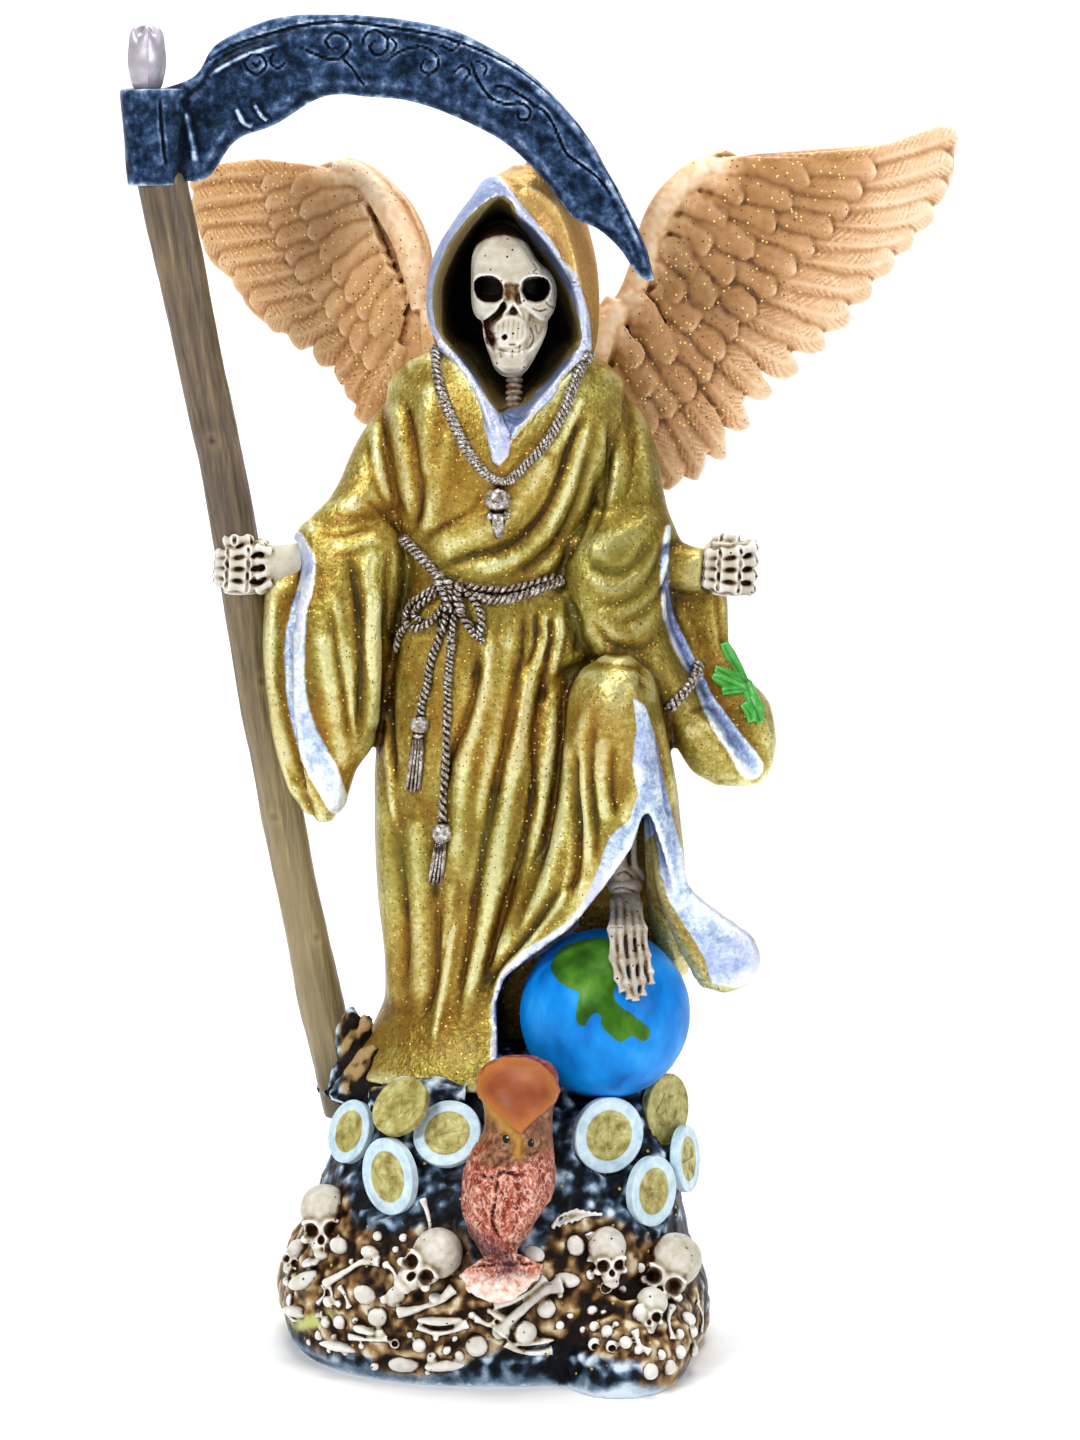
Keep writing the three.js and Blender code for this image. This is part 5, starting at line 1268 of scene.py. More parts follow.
TOES = [
    [(614, 902), (612, 930), (613, 958), (618, 978), (623, 992)],
    [(620, 898), (620, 930), (622, 962), (626, 984), (630, 999)],
    [(627, 898), (629, 930), (632, 962), (634, 984), (636, 1001)],
    [(633, 900), (637, 930), (640, 960), (642, 980), (643, 996)],
    [(638, 904), (643, 930), (647, 956), (650, 972), (651, 984)],
]
parts = []
for line in TOES:
    ends = [onto_globe(px, py, lift) for (px, py), lift in zip(line, (5.6, 4.2, 2.0, 1.4, 0.9))]
    parts += [bone("toe", [a, (a + b) / 2, b], r, 1.4) for a, b, r in zip(ends[:-1], ends[1:], (0.86, 0.8, 0.76, 0.78))]
ankle = onto_globe(625, 893, 6.5)
parts.append(limb("sole", [onto_globe(px, py, lift) for px, py,
                           lift in ((626, 896, 4.2), (631, 930, 2.2), (634, 960, 0.2), (638, 985, -0.4))],
                  [3.2, 2.9, 3.2, 2.2], 24, 30, 0.4))
parts += [
    oval("ankle", ankle + (0, 1.2, 1.5), (3.9, 3.2, 3.0)),
    oval("ankle", ankle + (-1.8, 1, 3.6), (2.0, 2.0, 2.2)),
    bone("shin", [ankle + (0.4, 2, 3), np.array((28.6, -10, 112)), np.array((29.4, -8.5, 128))], 2.5, 1.25, 20, 30),
    bone("calf", [ankle + (3.2, 3, 3), np.array((31.8, -8.5, 112)), np.array((32, -7, 126))], 1.3, 1.3, 16, 24),
]
foot = weld("foot", parts, BONE_GRID, rounds=2)
record(foot, "stain_and_shade", np.full(len(foot.data.vertices), 0.45))
carve(foot, [(-0.5, 3, [(616, 876), (626, 872), (634, 878)]), (-0.4, 2.5, [(612, 890), (622, 888), (636, 892)])])


def knuckled(points, radius):
    """A bent finger: bones that swell at their joints."""
    return [bone("finger", [a, (np.array(a) + b) / 2, b], radius, 1.32, 16, 16) for a,
            b in zip(np.array(points[:-1]), np.array(points[1:]))]


def fist(centre, reach, heights, tilt, side, thick):
    """Four fingers round an upright line, one above the other, over a core that shows dark between them."""
    x, y, z = centre
    parts = [limb("core", [(x, y - 0.6, z + heights[0] - 0.6), (x, y - 0.8, z), (x, y - 0.6, z + heights[-1] + 0.6)],
                  [0.88 * reach] * 3, 24, 20)]
    for i, rise in enumerate(heights):
        lean = tilt * rise
        bends = [(1.0, 2.4), (1.02, -2.6), (0.34, -5.2), (-0.5, -5.1), (-1.04, -2.4), (-1.0, 1.6)]
        parts += knuckled([(x + a * reach * side + lean, y + b, z + rise - 0.35 * k * (i - 1.5)) for k,
                           (a, b) in enumerate(bends)],
                          thick * (0.94, 1.0, 1.0, 0.9)[i])
    return parts


grip_x, grip_y = np.interp(176.5, pole_rows[:, 0], pole_rows[:, 1]), np.interp(176.5, pole_rows[:, 0], pole_rows[:, 2])
left_hand = weld("left_hand", [
    *fist((grip_x + 0.6, grip_y - 1, 176.6), 4.6, (-5.2, -1.75, 1.75, 5.1), 0.05, 1, 1.22),
    *knuckled([(grip_x + 3, 2, 181.4), (grip_x + 2.4, -2.6, 182.8), (grip_x - 0.5, -4.4, 183),
               (grip_x - 2.6, -3.6, 182.6)], 1.15),
    oval("palm", (grip_x + 4.6, 0.2, 176.8), (2.4, 3.0, 5.8)),
    *[bone("palm_bone", [(grip_x + 4.2, -3.6, 176.6 + r), (grip_x + 5.6, -3.8, 176.8 + 0.9 * r),
                         (grip_x + 7.4, -3.0, 177 + 0.7 * r)], 0.9, 1.2)
      for r in (-4.9, -1.65, 1.65, 4.7)],
    limb("wrist", [(grip_x + 6.4, -0.6, 177), (grip_x + 12, -0.8, 177.6), (grip_x + 20, -0.4, 178.6)], [4.6, 4.2, 4.4],
         28, 30, 0.8),
], BONE_GRID, rounds=2)
right_hand = weld("right_hand", [
    *fist((53.4, -3.2, 176.9), 4.6, (-5.3, -1.8, 1.8, 5.2), 0.05, 1, 1.22),
    *knuckled([(50.4, -1, 182.2), (52.0, -5.2, 183.6), (55.2, -6.2, 183.2)], 1.15),
    oval("palm", (49.6, -1.6, 176.9), (2.8, 3.0, 5.8)),
    bone("forearm", [(50, -2.6, 178.8), (46, -2.2, 178.4), (41, -1.6, 178)], 1.9, 1.1),
    bone("forearm", [(50, -2, 174.8), (46, -1.6, 174.8), (41, -1, 174.8)], 1.7, 1.1),
], BONE_GRID, rounds=2)
for bones in (foot, left_hand, right_hand):
    hollows(bones, (3, 24))
    sheltered(bones, 0.0028)
    smooth_coat(bones, ivory_paint)
    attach(bones, "root")
    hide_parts("figure")

# Mound: a rough black rock that carries everything, brushed slate blue, partly as painted highlight, and low down
# given a brown wash round the bones, with painted shade where they meet it.
ROCK_GRID = 0.0008
ROCK = [
    (0, -44, 47, -41, 34), (3, -47, 49.5, -42, 36), (10, -49.5, 50.5, -43, 38), (18, -48, 48.5, -42.5, 38),
    (25, -44.5, 45.8, -41, 37), (33, -40.8, 44.6, -38.5, 36), (41, -37.4, 45.2, -35, 34), (47, -35.4, 45, -32, 33),
    (53, -35, 43.2, -28.5, 31), (58, -34, 41, -25, 29), (64, -32, 37, -20, 26), (69, -27.5, 28, -14, 20),
]
ROCK_TOE = [(0, 13, 44, -49.5, 0), (6, 12, 47, -49.5, 0), (14, 16, 45, -46, 0), (20, 22, 40, -40, 0)]
rock = weld("rock", [
    column("rock_body", ROCK, 96, 90, 0.9),
    column("rock_toe", ROCK_TOE, 72, 30),
    *[limb("root", line, [4.6, 3.8, 2.2], 20, 24) for line in
      ([(-37, 8, 54), (-34, 5, 65), (-31, 2, 76)], [(-35, 2, 54), (-31, 0, 66), (-27, -2, 75)],
       [(-34, -6, 56), (-29, -8, 64), (-25, -8, 70)])],
    limb("ledge", [(-27, -17, 59), (-15, -21, 61), (-4, -22, 61.5)], [4, 4.6, 3.4], 20, 20),
], ROCK_GRID, rounds=2)
points, directions = points_of(rock), directions_of(rock)
crags = np.empty(len(points))
for i, point in enumerate(points):
    place = Vector(point)
    facets = noise.voronoi(place * 105)[0]
    crags[i] = (1.1 * (facets[1] - facets[0]) - 0.5 + 1.3 * noise.noise(place * 60) + 0.55 * noise.noise(place * 190)
                + 0.22 * noise.noise(place * 620))
    crags[i] += 0.5 * noise.noise(place * 330) - 0.25 * abs(noise.noise(place * 260))
low = step_up(0.0004, 0.006, points[:, 2])
inward = directions * (np.minimum(crags - 0.55, 0.6) * low / 1000)[:, None]
inward[:, 2] *= points[:, 2] > 0.003
move_to(rock, points + inward)
points = points_of(rock)
points[:, 2] = np.where(points[:, 2] < 0.0004, 0, points[:, 2])
move_to(rock, points)
BED = [(283, 1216), (300, 1186), (345, 1186), (352, 1222), (395, 1238), (420, 1226), (465, 1228), (475, 1262),
       (540, 1262), (552, 1226), (580, 1212),
       (625, 1222), (640, 1238), (695, 1236), (712, 1330), (694, 1362), (672, 1388), (642, 1388), (640, 1360),
       (600, 1358), (565, 1340), (500, 1350),
       (470, 1362), (420, 1378), (385, 1375), (370, 1355), (315, 1350), (290, 1325), (266, 1310), (276, 1260)]
ROOTS = [(338, 1012), (392, 1010), (402, 1050), (396, 1075), (376, 1092), (340, 1096)]
places, facing = seen_at(points), toward_eye(rock)
bed_share = step_up(-3, 5, within(places, BED) + 5 * np.array([noise.noise(Vector(point) * 240) for point in points]))
record(rock, "bed", bed_share * (facing > -0.4) * step_up(0.012, 0.004, points[:, 1]))
record(rock, "roots", step_up(-3, 6, within(places, ROOTS)) * (facing > -0.4))
lip = nearest(places, [(268, 1300), (276, 1316), (298, 1324), (328, 1318)])[0]
record(rock, "lip", step_up(9, 4, lip) * (facing > -0.2) * step_up(-0.016, -0.022, points[:, 1]))
hollows(rock, (3, 24))
rock_face = BVHTree.FromObject(rock, bpy.context.evaluated_depsgraph_get())


def front_of(x, z):
    """How far forward the rock reaches at a place seen from the front, in millimetres."""
    hit = rock_face.ray_cast(Vector((x, -100, z)) / 1000, Vector((0, 1, 0)))[0]
    return (hit or rock_face.find_nearest(Vector((x, -30, z)) / 1000)[0]).y * 1000


rock_paint, tree, shader = new_material("gloss_black_rock_paint", Roughness=0.34, Specular_IOR_Level=0.1,
                                        Coat_Weight=0.03, Coat_Roughness=0.18)
place = add(tree, "ShaderNodeTexCoord").outputs["Object"]
cloud = clouds(tree, place, 330, 5, 0.75)
tone = tone_of(tree, 0.75, 0.55, 0.42)
level = maths(tree, "MULTIPLY_ADD", cloud, 0.3, tone)
patches = clouds(tree, place, 80, 3, 0.6)
level = maths(tree, "MULTIPLY_ADD", patches, 0.3, level)
level = maths(tree, "SUBTRACT", level, 0.3, clamp=True)
slate = ramp(tree, level, [(0.3, 0x020307), (0.4, 0x0A1018), (0.46, 0x1C2836), (0.52, 0x36485C), (0.62, 0x6C8298),
                           (0.8, 0xD8E6F2)])
mud = ramp(tree, level, [(0.28, 0x140A04), (0.38, 0x3E260E), (0.45, 0x624424), (0.52, 0x80603A), (0.61, 0xA88A60),
                         (0.76, 0xE2D4B4)])
roots = ramp(tree, level, [(0.3, 0x140C05), (0.38, 0x35240F), (0.45, 0x5E4626), (0.53, 0x80643C), (0.66, 0xA88C5E)])
colour = slate
for name, paint in (("bed", mud), ("roots", roots)):
    colour = mixed(tree, field(tree, name), colour, paint)
colour = mixed(tree, field(tree, "lip"), colour, shade(0xC6CC7C))
# Painted shade: near black where the rock is tucked under the bones.
tucked = field(tree, "tucked")
under = ranged(tree, tucked, 0.05, 0.5, 0.9)
colour = mixed(tree, under, colour, shade(0x1C0F06))
colour = mixed(tree, glitter(tree, place, 0.0016, 0.08, 0.4), colour, shade(0xC9A445))
painted(tree, shader, colour, cloud, 0.6, 0.0012)
smooth_coat(rock, rock_paint)
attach(rock, "root")
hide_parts("figure")

# Coins: eight castings in relief that lean on the rock, most with a pewter ring round a brass middle.
COINS = [
    (-31.2, 50.5, -52, 20, 0.88, True), (-19.6, 59.2, -41, 38, 0.86, False), (-22, 44.3, -48, 2, 1.05, True),
    (-9.2, 53.6, -14, 35, 0.94, True),
    (26.2, 52.6, 26, 4, 1.04, True), (39.4, 54.6, 54, 4, 1.0, False), (36, 39.6, 50, 4, 0.96, True),
    (44, 43.5, 70, 6, 0.92, True),
]
COIN_PROFILE = [(0.001, -1.6), (7.8, -1.6), (8.1, -1.3), (8.2, 0.9), (8.0, 1.2), (7.7, 1.2), (7.5, 1.0), (5.7, 1.0),
                (5.5, 0.85), (5.3, 0.95), (5.1, 0.8), (0.001, 0.8)]
MARKS = [
    [([(-2.6, -3.2), (-0.6, -3.4), (-0.2, 0), (0.2, 3.2), (-1.4, 2.4)], 0.42),
     ([(1.4, 3), (3.2, 1.6), (2.8, -1), (1.6, -3)], 0.36),
     ([(-3.8, 0.8), (-2.6, -0.6), (-3.2, -2)], 0.3), ([(-3.4, 2.6), (-2.2, 3.6)], 0.3), ([(0.8, -1), (2.0, 0.4)], 0.3)],
    [([(-2.8, 2.4), (-0.4, 3.6), (1.8, 2.4), (0.2, -0.4), (-2, -3)], 0.42),
     ([(-2.2, -3.2), (0.4, -3), (2.8, -3.4)], 0.36),
     ([(3.4, 1), (4, -0.8)], 0.3), ([(-3.8, 0.2), (-2.6, -1.2)], 0.3), ([(1.2, -0.6), (2.4, -1.6)], 0.3)],
]
coin_parts = []
for number, (x, z, side, up, size, ringed) in enumerate(COINS):
    turn = np.linspace(0, 2 * math.pi, 72, endpoint=False)
    coin = skin("coin", [[(r * math.cos(a), r * math.sin(a), h) for a in turn] for r, h in COIN_PROFILE])
    marks = [limb("mark", [(x, y, 0.8) for x, y in line], [width] * 3, 8, 6 * len(line)) for line,
             width in MARKS[number % 2]]
    coin = gather("coin", [coin, *marks])
    record(coin, "reach", np.hypot(*points_of(coin)[:, :2].T) * 1000)
    record(coin, "ringed", np.full(len(coin.data.vertices), float(ringed)))
    spin = Matrix.Rotation(0.7 * number + 0.4, 4, "Z")
    lean = Matrix.Rotation(math.radians(side), 4, "Z") @ Matrix.Rotation(math.radians(90 - up), 4, "X")
    laid = Matrix.Translation(Vector((x, front_of(x, z) - 0.8, z))
                              / 1000) @ lean @ spin @ Matrix.Diagonal((size, size, 0.8, 1))
    coin.data.transform(laid)
    coin_parts.append(coin)
    points = np.c_[points_of(rock), np.ones(len(rock.data.vertices))] @ np.array(laid.inverted()).T
    under = (np.hypot(points[:, 0], points[:, 1]) < 0.0086) & (points[:, 2] > -0.001) & (points[:, 2] < 0.007)
    points[under, 2] = -0.001
    move_to(rock, (points @ np.array(laid).T)[:, :3])
coins = gather("coins", coin_parts)
coin_paint, tree, shader = new_material("brass_and_pewter_coin_paint", Metallic=0.1, Roughness=0.42,
                                        Specular_IOR_Level=0.3, Coat_Weight=0.1)
place = add(tree, "ShaderNodeTexCoord").outputs["Object"]
reach = field(tree, "reach")
ringed = field(tree, "ringed")
cloud = clouds(tree, place, 380, 4, 0.6)
brass = ramp(tree, cloud, [(0.3, 0x7C6C30), (0.45, 0xA89A54), (0.6, 0xC2BC78), (0.8, 0xE6E2A8)])
pewter = ramp(tree, cloud, [(0.3, 0xB4CEDC), (0.5, 0xCCE4F0), (0.65, 0xDEF0F8), (0.85, 0xF8FDFF)])
outer = ranged(tree, reach, 5.35, 5.55)
outer = maths(tree, "MULTIPLY", outer, ringed)
colour = mixed(tree, outer, brass, pewter)
painted(tree, shader, colour, cloud, 0.35, 0.0005)
finish_with(coins, "BEVEL", width=0.00012, segments=1, limit_method="ANGLE", angle_limit=math.radians(40))
coins.data.materials.append(coin_paint)
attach(coins, "root")
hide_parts("figure")

# Small skulls, loose bones and pebbles, cast round the foot of the rock and painted ivory over a brown wash,
# with painted shade where they are tucked against each other and the rock.
# BED_SCALE is how many millimetres a pixel is there.
SMALL_GRID = 0.00034
BED_SCALE = 0.214
SMALL_SKULLS = [
    ((325, 1211), 6.2, -8, -0.25, -0.1), ((434, 1254), 6.2, -20, -0.3, 0.75), ((607, 1248), 4.8, 14, -0.1, 0.0),
    ((672, 1262), 6.8, -10, -0.3, 0.45), ((651, 1304), 3.9, -4, -0.3, 0.1), ((298, 1252), 3.0, -24, -0.2, 0.4),
]
BONES = [
    (0.8, [(326, 1284), (345, 1272), (362, 1262), (380, 1261)]), (0.5, [(324, 1284), (325, 1294), (318, 1304)]),
    (0.4, [(331, 1288), (333, 1298), (336, 1303)]), (0.6, [(350, 1336), (370, 1339), (388, 1338)]),
    (0.6, [(423, 1198), (428, 1214), (430, 1228), (427, 1240)]),
    (0.7, [(418, 1325), (432, 1332), (450, 1331), (468, 1323)]),
    (0.9, [(398, 1312), (420, 1308), (440, 1300), (454, 1288)]),
    (1.3, [(560, 1284), (545, 1290), (528, 1303), (510, 1320), (500, 1333)]),
    (0.7, [(545, 1277), (532, 1290), (515, 1300), (494, 1306)]),
    (0.8, [(505, 1342), (520, 1350), (535, 1352), (552, 1349)]), (0.7, [(672, 1306), (668, 1320), (672, 1340)]),
    (0.7, [(634, 1330), (640, 1345), (650, 1352)]), (0.7, [(316, 1246), (320, 1256), (316, 1262)]),
    (0.6, [(276, 1312), (296, 1320), (324, 1314)]),
    (0.5, [(386, 1262), (394, 1272), (398, 1284)]), (0.6, [(340, 1286), (346, 1296), (350, 1308)]),
    (0.6, [(588, 1232), (592, 1246), (590, 1262)]),
    *[(0.35, [(552 + 6 * k, 1228 - 2 * k), (560 + 7 * k, 1216), (578 + 6 * k, 1210 + k)]) for k in range(5)],
    (0.5, [(696, 1300), (702, 1316), (700, 1332)]), (0.7, [(476, 1318), (488, 1324), (496, 1322)]),
]
FLAT_BONES = [
    ((306, 1280), (20, 9), -0.35), ((288, 1281), (6, 5), 0.2), ((291, 1300), (5, 7), 0.3), ((396, 1298), (11, 13), 0.3),
    ((566, 1280), (15, 8), 0.1),
    ((368, 1330), (16, 4), 0.15), ((345, 1347), (28, 5), 0.15), ((405, 1364), (18, 9), 0.0),
    ((530, 1341), (26, 3), -0.05), ((371, 1252), (11, 7), 0.2),
    ((340, 1246), (11, 9), 0.4), ((378, 1236), (6, 5), 0.1), ((435, 1298), (7, 6), 0.3), ((312, 1262), (12, 5), -0.3),
    ((366, 1296), (14, 10), 0.6),
    ((440, 1320), (24, 5), 0.0), ((300, 1312), (20, 6), 0.1), ((534, 1254), (12, 9), 0.5),
    ((575, 1246), (10, 12), -0.3), ((640, 1316), (8, 14), 0.0),
    ((686, 1320), (10, 8), 0.0), ((445, 1365), (22, 6), -0.1), ((330, 1302), (8, 5), 0.4), ((500, 1316), (14, 4), 0.5),
]
BEADS = [
    (340, 1304, 5), (327, 1322, 7), (341, 1322, 8), (320, 1335, 6), (335, 1338, 5), (378, 1317, 11), (380, 1333, 6),
    (386, 1265, 4), (395, 1343, 6), (420, 1345, 8), (432, 1357, 7), (447, 1350, 5), (477, 1345, 13), (500, 1332, 8),
    (472, 1315, 5), (490, 1311, 4), (460, 1356, 6), (545, 1308, 11), (560, 1325, 5), (525, 1332, 13), (592, 1311, 6),
    (595, 1327, 6), (607, 1332, 7), (583, 1330, 4), (616, 1325, 4), (626, 1343, 7), (595, 1345, 7), (612, 1347, 7),
    (590, 1275, 6), (622, 1290, 5), (678, 1335, 7), (690, 1332, 8), (678, 1352, 8), (692, 1350, 7), (650, 1371, 9),
    (668, 1367, 9), (660, 1355, 6), (640, 1268, 6), (400, 1364, 5), (412, 1364, 5), (410, 1335, 4), (436, 1338, 4),
    (455, 1338, 4), (356, 1320, 4), (362, 1346, 4), (346, 1352, 4), (310, 1342, 4), (330, 1350, 4), (375, 1366, 5),
    (428, 1372, 4), (570, 1316, 4), (604, 1313, 4), (638, 1350, 5), (384, 1300, 5), (606, 1287, 8), (298, 1244, 4),
    (284, 1252, 6), (352, 1262, 4), (396, 1250, 4), (404, 1238, 5), (470, 1290, 4), (462, 1276, 4), (560, 1296, 4),
]
RINGS = [(395, 1343, 0.9), (595, 1345, 0.8), (612, 1347, 0.9), (606, 1287, 1.35)]


def on_rock(px, py):
    """Where a pixel sees the rock, or a little further in when it just misses."""
    for share in np.linspace(0, 0.3, 13):
        point, _ = cast(rock_face, (px + share * (490 - px), py + share * (1270 - py)))
        if point.size == 3:
            return point * 1000


def small_skull(pixel, size, turn, tip, roll):
    """A little skull lying on the rock, turned, tipped and rolled."""
    one = weld("small_skull", [
        oval("head", (0, 0.1, 0.16), (0.9, 1.02, 0.9)),
        oval("front", (0, -0.32, -0.48), (0.72, 0.55, 0.46)),
        *[oval("brow", (side, -0.72, -0.3), (0.36, 0.2, 0.13)) for side in (-0.38, 0.38)],
        *[oval("cheek", (side, -0.6, -0.86), (0.2, 0.34, 0.17)) for side in (-0.6, 0.6)],
        oval("jaw", (0, -0.52, -1.08), (0.44, 0.42, 0.42)),
        oval("chin", (0, -0.56, -1.42), (0.37, 0.32, 0.26)),
    ], 0.00005, rounds=2)
    cut(one, *[oval("eye", (side, -0.95, -0.6), (0.31, 0.62, 0.31)) for side in (-0.39, 0.39)],
        oval("nose", (0, -1.0, -0.92), (0.15, 0.4, 0.2)), oval("mouth", (0, -0.98, -1.26), (0.36, 0.2, 0.05)),
        *[oval("tooth", (0.13 * k, -0.95, -1.21), (0.03, 0.12, 0.18), segments=10, rings=8) for k in (-2, -1, 0, 1, 2)])
    lie = (Matrix.Rotation(math.radians(turn), 4, "Z") @ Matrix.Rotation(roll, 4, "Y") @ Matrix.Rotation(tip, 4, "X")
           @ Matrix.Scale(size, 4))
    one.data.transform(Matrix.Translation(Vector((on_rock(*pixel) - (0, 0.3 * size, 0)) / 1000)) @ lie)
    return one


bed = [small_skull(*row) for row in SMALL_SKULLS]
for radius, line in BONES:
    bed.append(bone("long_bone", [on_rock(*pixel) - (0, 0.4 * radius, 0) for pixel in line], radius, 1.6, 14, 30))
for pixel, (wide, tall), lean in FLAT_BONES:
    bed.append(oval("flat_bone", on_rock(*pixel), (wide * BED_SCALE, 1.7, tall * BED_SCALE), (0.2, lean, 0), 20, 14))
for number, (px, py, size) in enumerate(BEADS):
    radius = size * BED_SCALE
    bed.append(oval("bead", on_rock(px, py) + (0, 0.05 * radius, 0),
                    (radius, radius, radius * (0.9 + 0.12 * math.sin(number))),
                    (0.3 * number, 0.5 * number, 0), 18, 12))
bones = weld("bed_bones", bed, SMALL_GRID, rounds=1)
cut(bones, *[oval("hole", on_rock(px, py) - (0, 1.6, 0), (size, 1.7, size), segments=16, rings=12) for px, py,
             size in RINGS])
roughen(bones, [(0.2, 260), (0.1, 700)])
sheltered(bones, 0.0042, [rock])
sheltered(rock, 0.004, [bones], recorded(rock, "bed") > 0.2)
hollows(bones, (3, 24))
smooth_coat(bones, ivory_paint)
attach(bones, "root")
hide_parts("figure")

# Owl: stands against the rock on its spread tail, painted red-brown and scratched over with pale strokes.
OWL = [
    (22.5, -0.5, 6.5, -46, -38), (28.4, -0.6, 6.2, -46.5, -36), (31, -1.7, 6.2, -46.7, -34),
    (34.1, -3.6, 8, -47.2, -32), (37.6, -5.2, 10.3, -47.6, -30), (41, -5.9, 12.8, -47.6, -28),
    (44.3, -5.9, 14.3, -47.5, -27), (48.6, -5.2, 14.4, -46.8, -26), (51.7, -3.9, 14.2, -45.8, -26),
    (54.7, -1.9, 14, -44.4, -25.5), (57.7, -0.9, 13.9, -43.4, -25), (60.4, -1, 14.1, -42.6, -24.5),
    (62.9, -1.5, 14.6, -42, -24), (64.9, -2.1, 15, -41, -24), (66.8, -2.6, 15.3, -39.5, -24),
    (68.6, -2.2, 15, -37.8, -24), (70.4, -0.6, 13.6, -35.5, -25), (71.7, 2.4, 10.8, -32.5, -27),
]
OWL_EYES = [(506, 1139), (531, 1143)]
TAIL_ENDS = [(464, 1282), (471, 1293), (483, 1300), (496, 1304), (509, 1302), (521, 1295), (532, 1285), (541, 1272)]
CAP = [(477, 1090), (479, 1078), (487, 1067), (504, 1058), (526, 1058), (541, 1064), (553, 1076), (560, 1090),
       (555, 1102), (544, 1112),
       (533, 1121), (521, 1133), (512, 1127), (502, 1116), (489, 1105), (480, 1098)]
FACE = [(482, 1100), (502, 1116), (520, 1133), (544, 1110), (556, 1104), (556, 1148), (540, 1156), (524, 1164),
        (500, 1170), (478, 1166)]
owl_body = column("owl_body", OWL, 80, 120)
tree = BVHTree.FromObject(owl_body, bpy.context.evaluated_depsgraph_get())


def on_owl(px, py, lift=0.0):
    return cast(tree, (px, py))[0] * 1000 - (0, lift, 0)


owl = weld("owl", [
    owl_body,
    limb("beak", [on_owl(519, 1136, -0.4), on_owl(518, 1148, 0.5), on_owl(517, 1158, 0)], [0.6, 0.9, 0.5], 14, 16),
    *[oval("eye", on_owl(px, py, -0.1), (0.9, 0.8, 1.15), segments=20, rings=14) for px, py in OWL_EYES],
    *[limb("tail", [(2.6, -45.5, 31), (0.5 * (x + 2.6), -46.8, 0.5 * (z + 31)), (x, -47.6, z)], [1.6, 2.2, 1.9], 18, 18,
           0.6)
      for x, z in [(0.1 + (px - 489) * 0.2146, 26.4 + (1280 - py) * 0.21) for px, py in TAIL_ENDS]],
], 0.00034, rounds=2)
points = points_of(owl)
inside = within(seen_at(points), CAP) * (points[:, 1] < -0.028) + OUTSIDE * (points[:, 1] >= -0.028)
move_to(owl, points + directions_of(owl) * (0.9 / 1000 * step_up(-2, 4, inside))[:, None])
points = points_of(owl)
fur, scratch = np.zeros(len(points)), np.zeros(len(points))
for i, point in enumerate(points):
    if 0.024 < point[2] < 0.0555:
        for lean in (0.5, -0.6):
            along = Vector((point[0] + lean * point[2], point[1], point[2] - lean * point[0]))
            line = 1 - 5 * abs(noise.noise(Vector((along[0] * 1300, along[1] * 500, along[2] * 360 + 40 * lean))))
            scratch[i] = max(scratch[i], line)
        fur[i] = (0.3 * noise.noise(Vector((point[0] * 1000, point[1] * 500, point[2] * 420)))
                  + 0.3 * noise.noise(Vector(point) * 380))
fade = step_up(0.0555, 0.052, points[:, 2])
record(owl, "scratch", np.clip(scratch, 0, 1) * fade)
move_to(owl, points + directions_of(owl) * ((fur + 0.12 * scratch.clip(0, 1)) * fade / 1000)[:, None])
STROKES = [(-0.25, 2.2, [(px + 5 * math.cos(a), py + 6 * math.sin(a)), (px + 13 * math.cos(a), py + 13 * math.sin(a))])
           for px, py in OWL_EYES for a in np.linspace(0.4, 2.7, 7)]
STROKES += [(-0.3, 2.2, [(505, 1268), (0.5 * (px + 505), 0.5 * (py + 1272)), (px, py)]) for px, py in
            [(467, 1288), (477, 1297), (490, 1303), (503, 1304), (515, 1299), (527, 1290), (537, 1279)]]
carve(owl, STROKES + [
    (-0.7, 3, [(492, 1168), (500, 1162), (508, 1157), (513, 1153)]),
    (-0.9, 4, [(478, 1174), (492, 1178), (504, 1172), (520, 1176)]),
    (-1.0, 3.6, [(497, 1178), (495, 1200), (492, 1222), (500, 1240)]),
    (0.6, 9, [(480, 1180), (474, 1205), (478, 1235)]),
    (0.7, 12, [(528, 1172), (534, 1196), (520, 1222), (506, 1244)]), (-1.0, 4, [(514, 1240), (522, 1262), (530, 1266)]),
    (-1.0, 4, [(470, 1240), (482, 1256), (496, 1262)]), (-0.6, 3, [(497, 1128), (496, 1140), (501, 1150), (510, 1152)]),
    (-0.6, 3, [(540, 1131), (542, 1144), (535, 1154), (526, 1154)]),
    (-0.9, 4, [(462, 1262), (484, 1266), (504, 1264), (524, 1264), (542, 1260)]),
])
places = seen_at(points_of(owl))
record(owl, "eyes", 4.4 - np.min([np.linalg.norm((places - eye_place) * (1.15, 0.9), axis=1) for eye_place in OWL_EYES],
                                 axis=0))
record(owl, "glint", 1.4 - np.min([np.linalg.norm(places - np.array(eye_place) - (1.5, -1.5), axis=1)
                                   for eye_place in OWL_EYES], axis=0))
record(owl, "cap", within(places, CAP))
record(owl, "face", within(places, FACE))
record(owl, "yellow", 9 - nearest(places, [(484, 1104), (496, 1116), (508, 1128), (519, 1142), (518, 1154)])[0])
record(owl, "purple", 16 - nearest(places, [(470, 1236), (482, 1246), (496, 1252), (510, 1268)])[0])
record(owl, "tail", step_up(1268, 1292, places[:, 1] + 0.12 * np.abs(places[:, 0] - 503)))
hollows(owl, (3, 24))
RUSSET = [(0.0, 0x160608), (0.2, 0x4A1810), (0.38, 0x7E3020), (0.52, 0xA04E38), (0.66, 0xB66C54), (0.82, 0xDC9E8A),
          (1.0, 0xF8E0D4)]
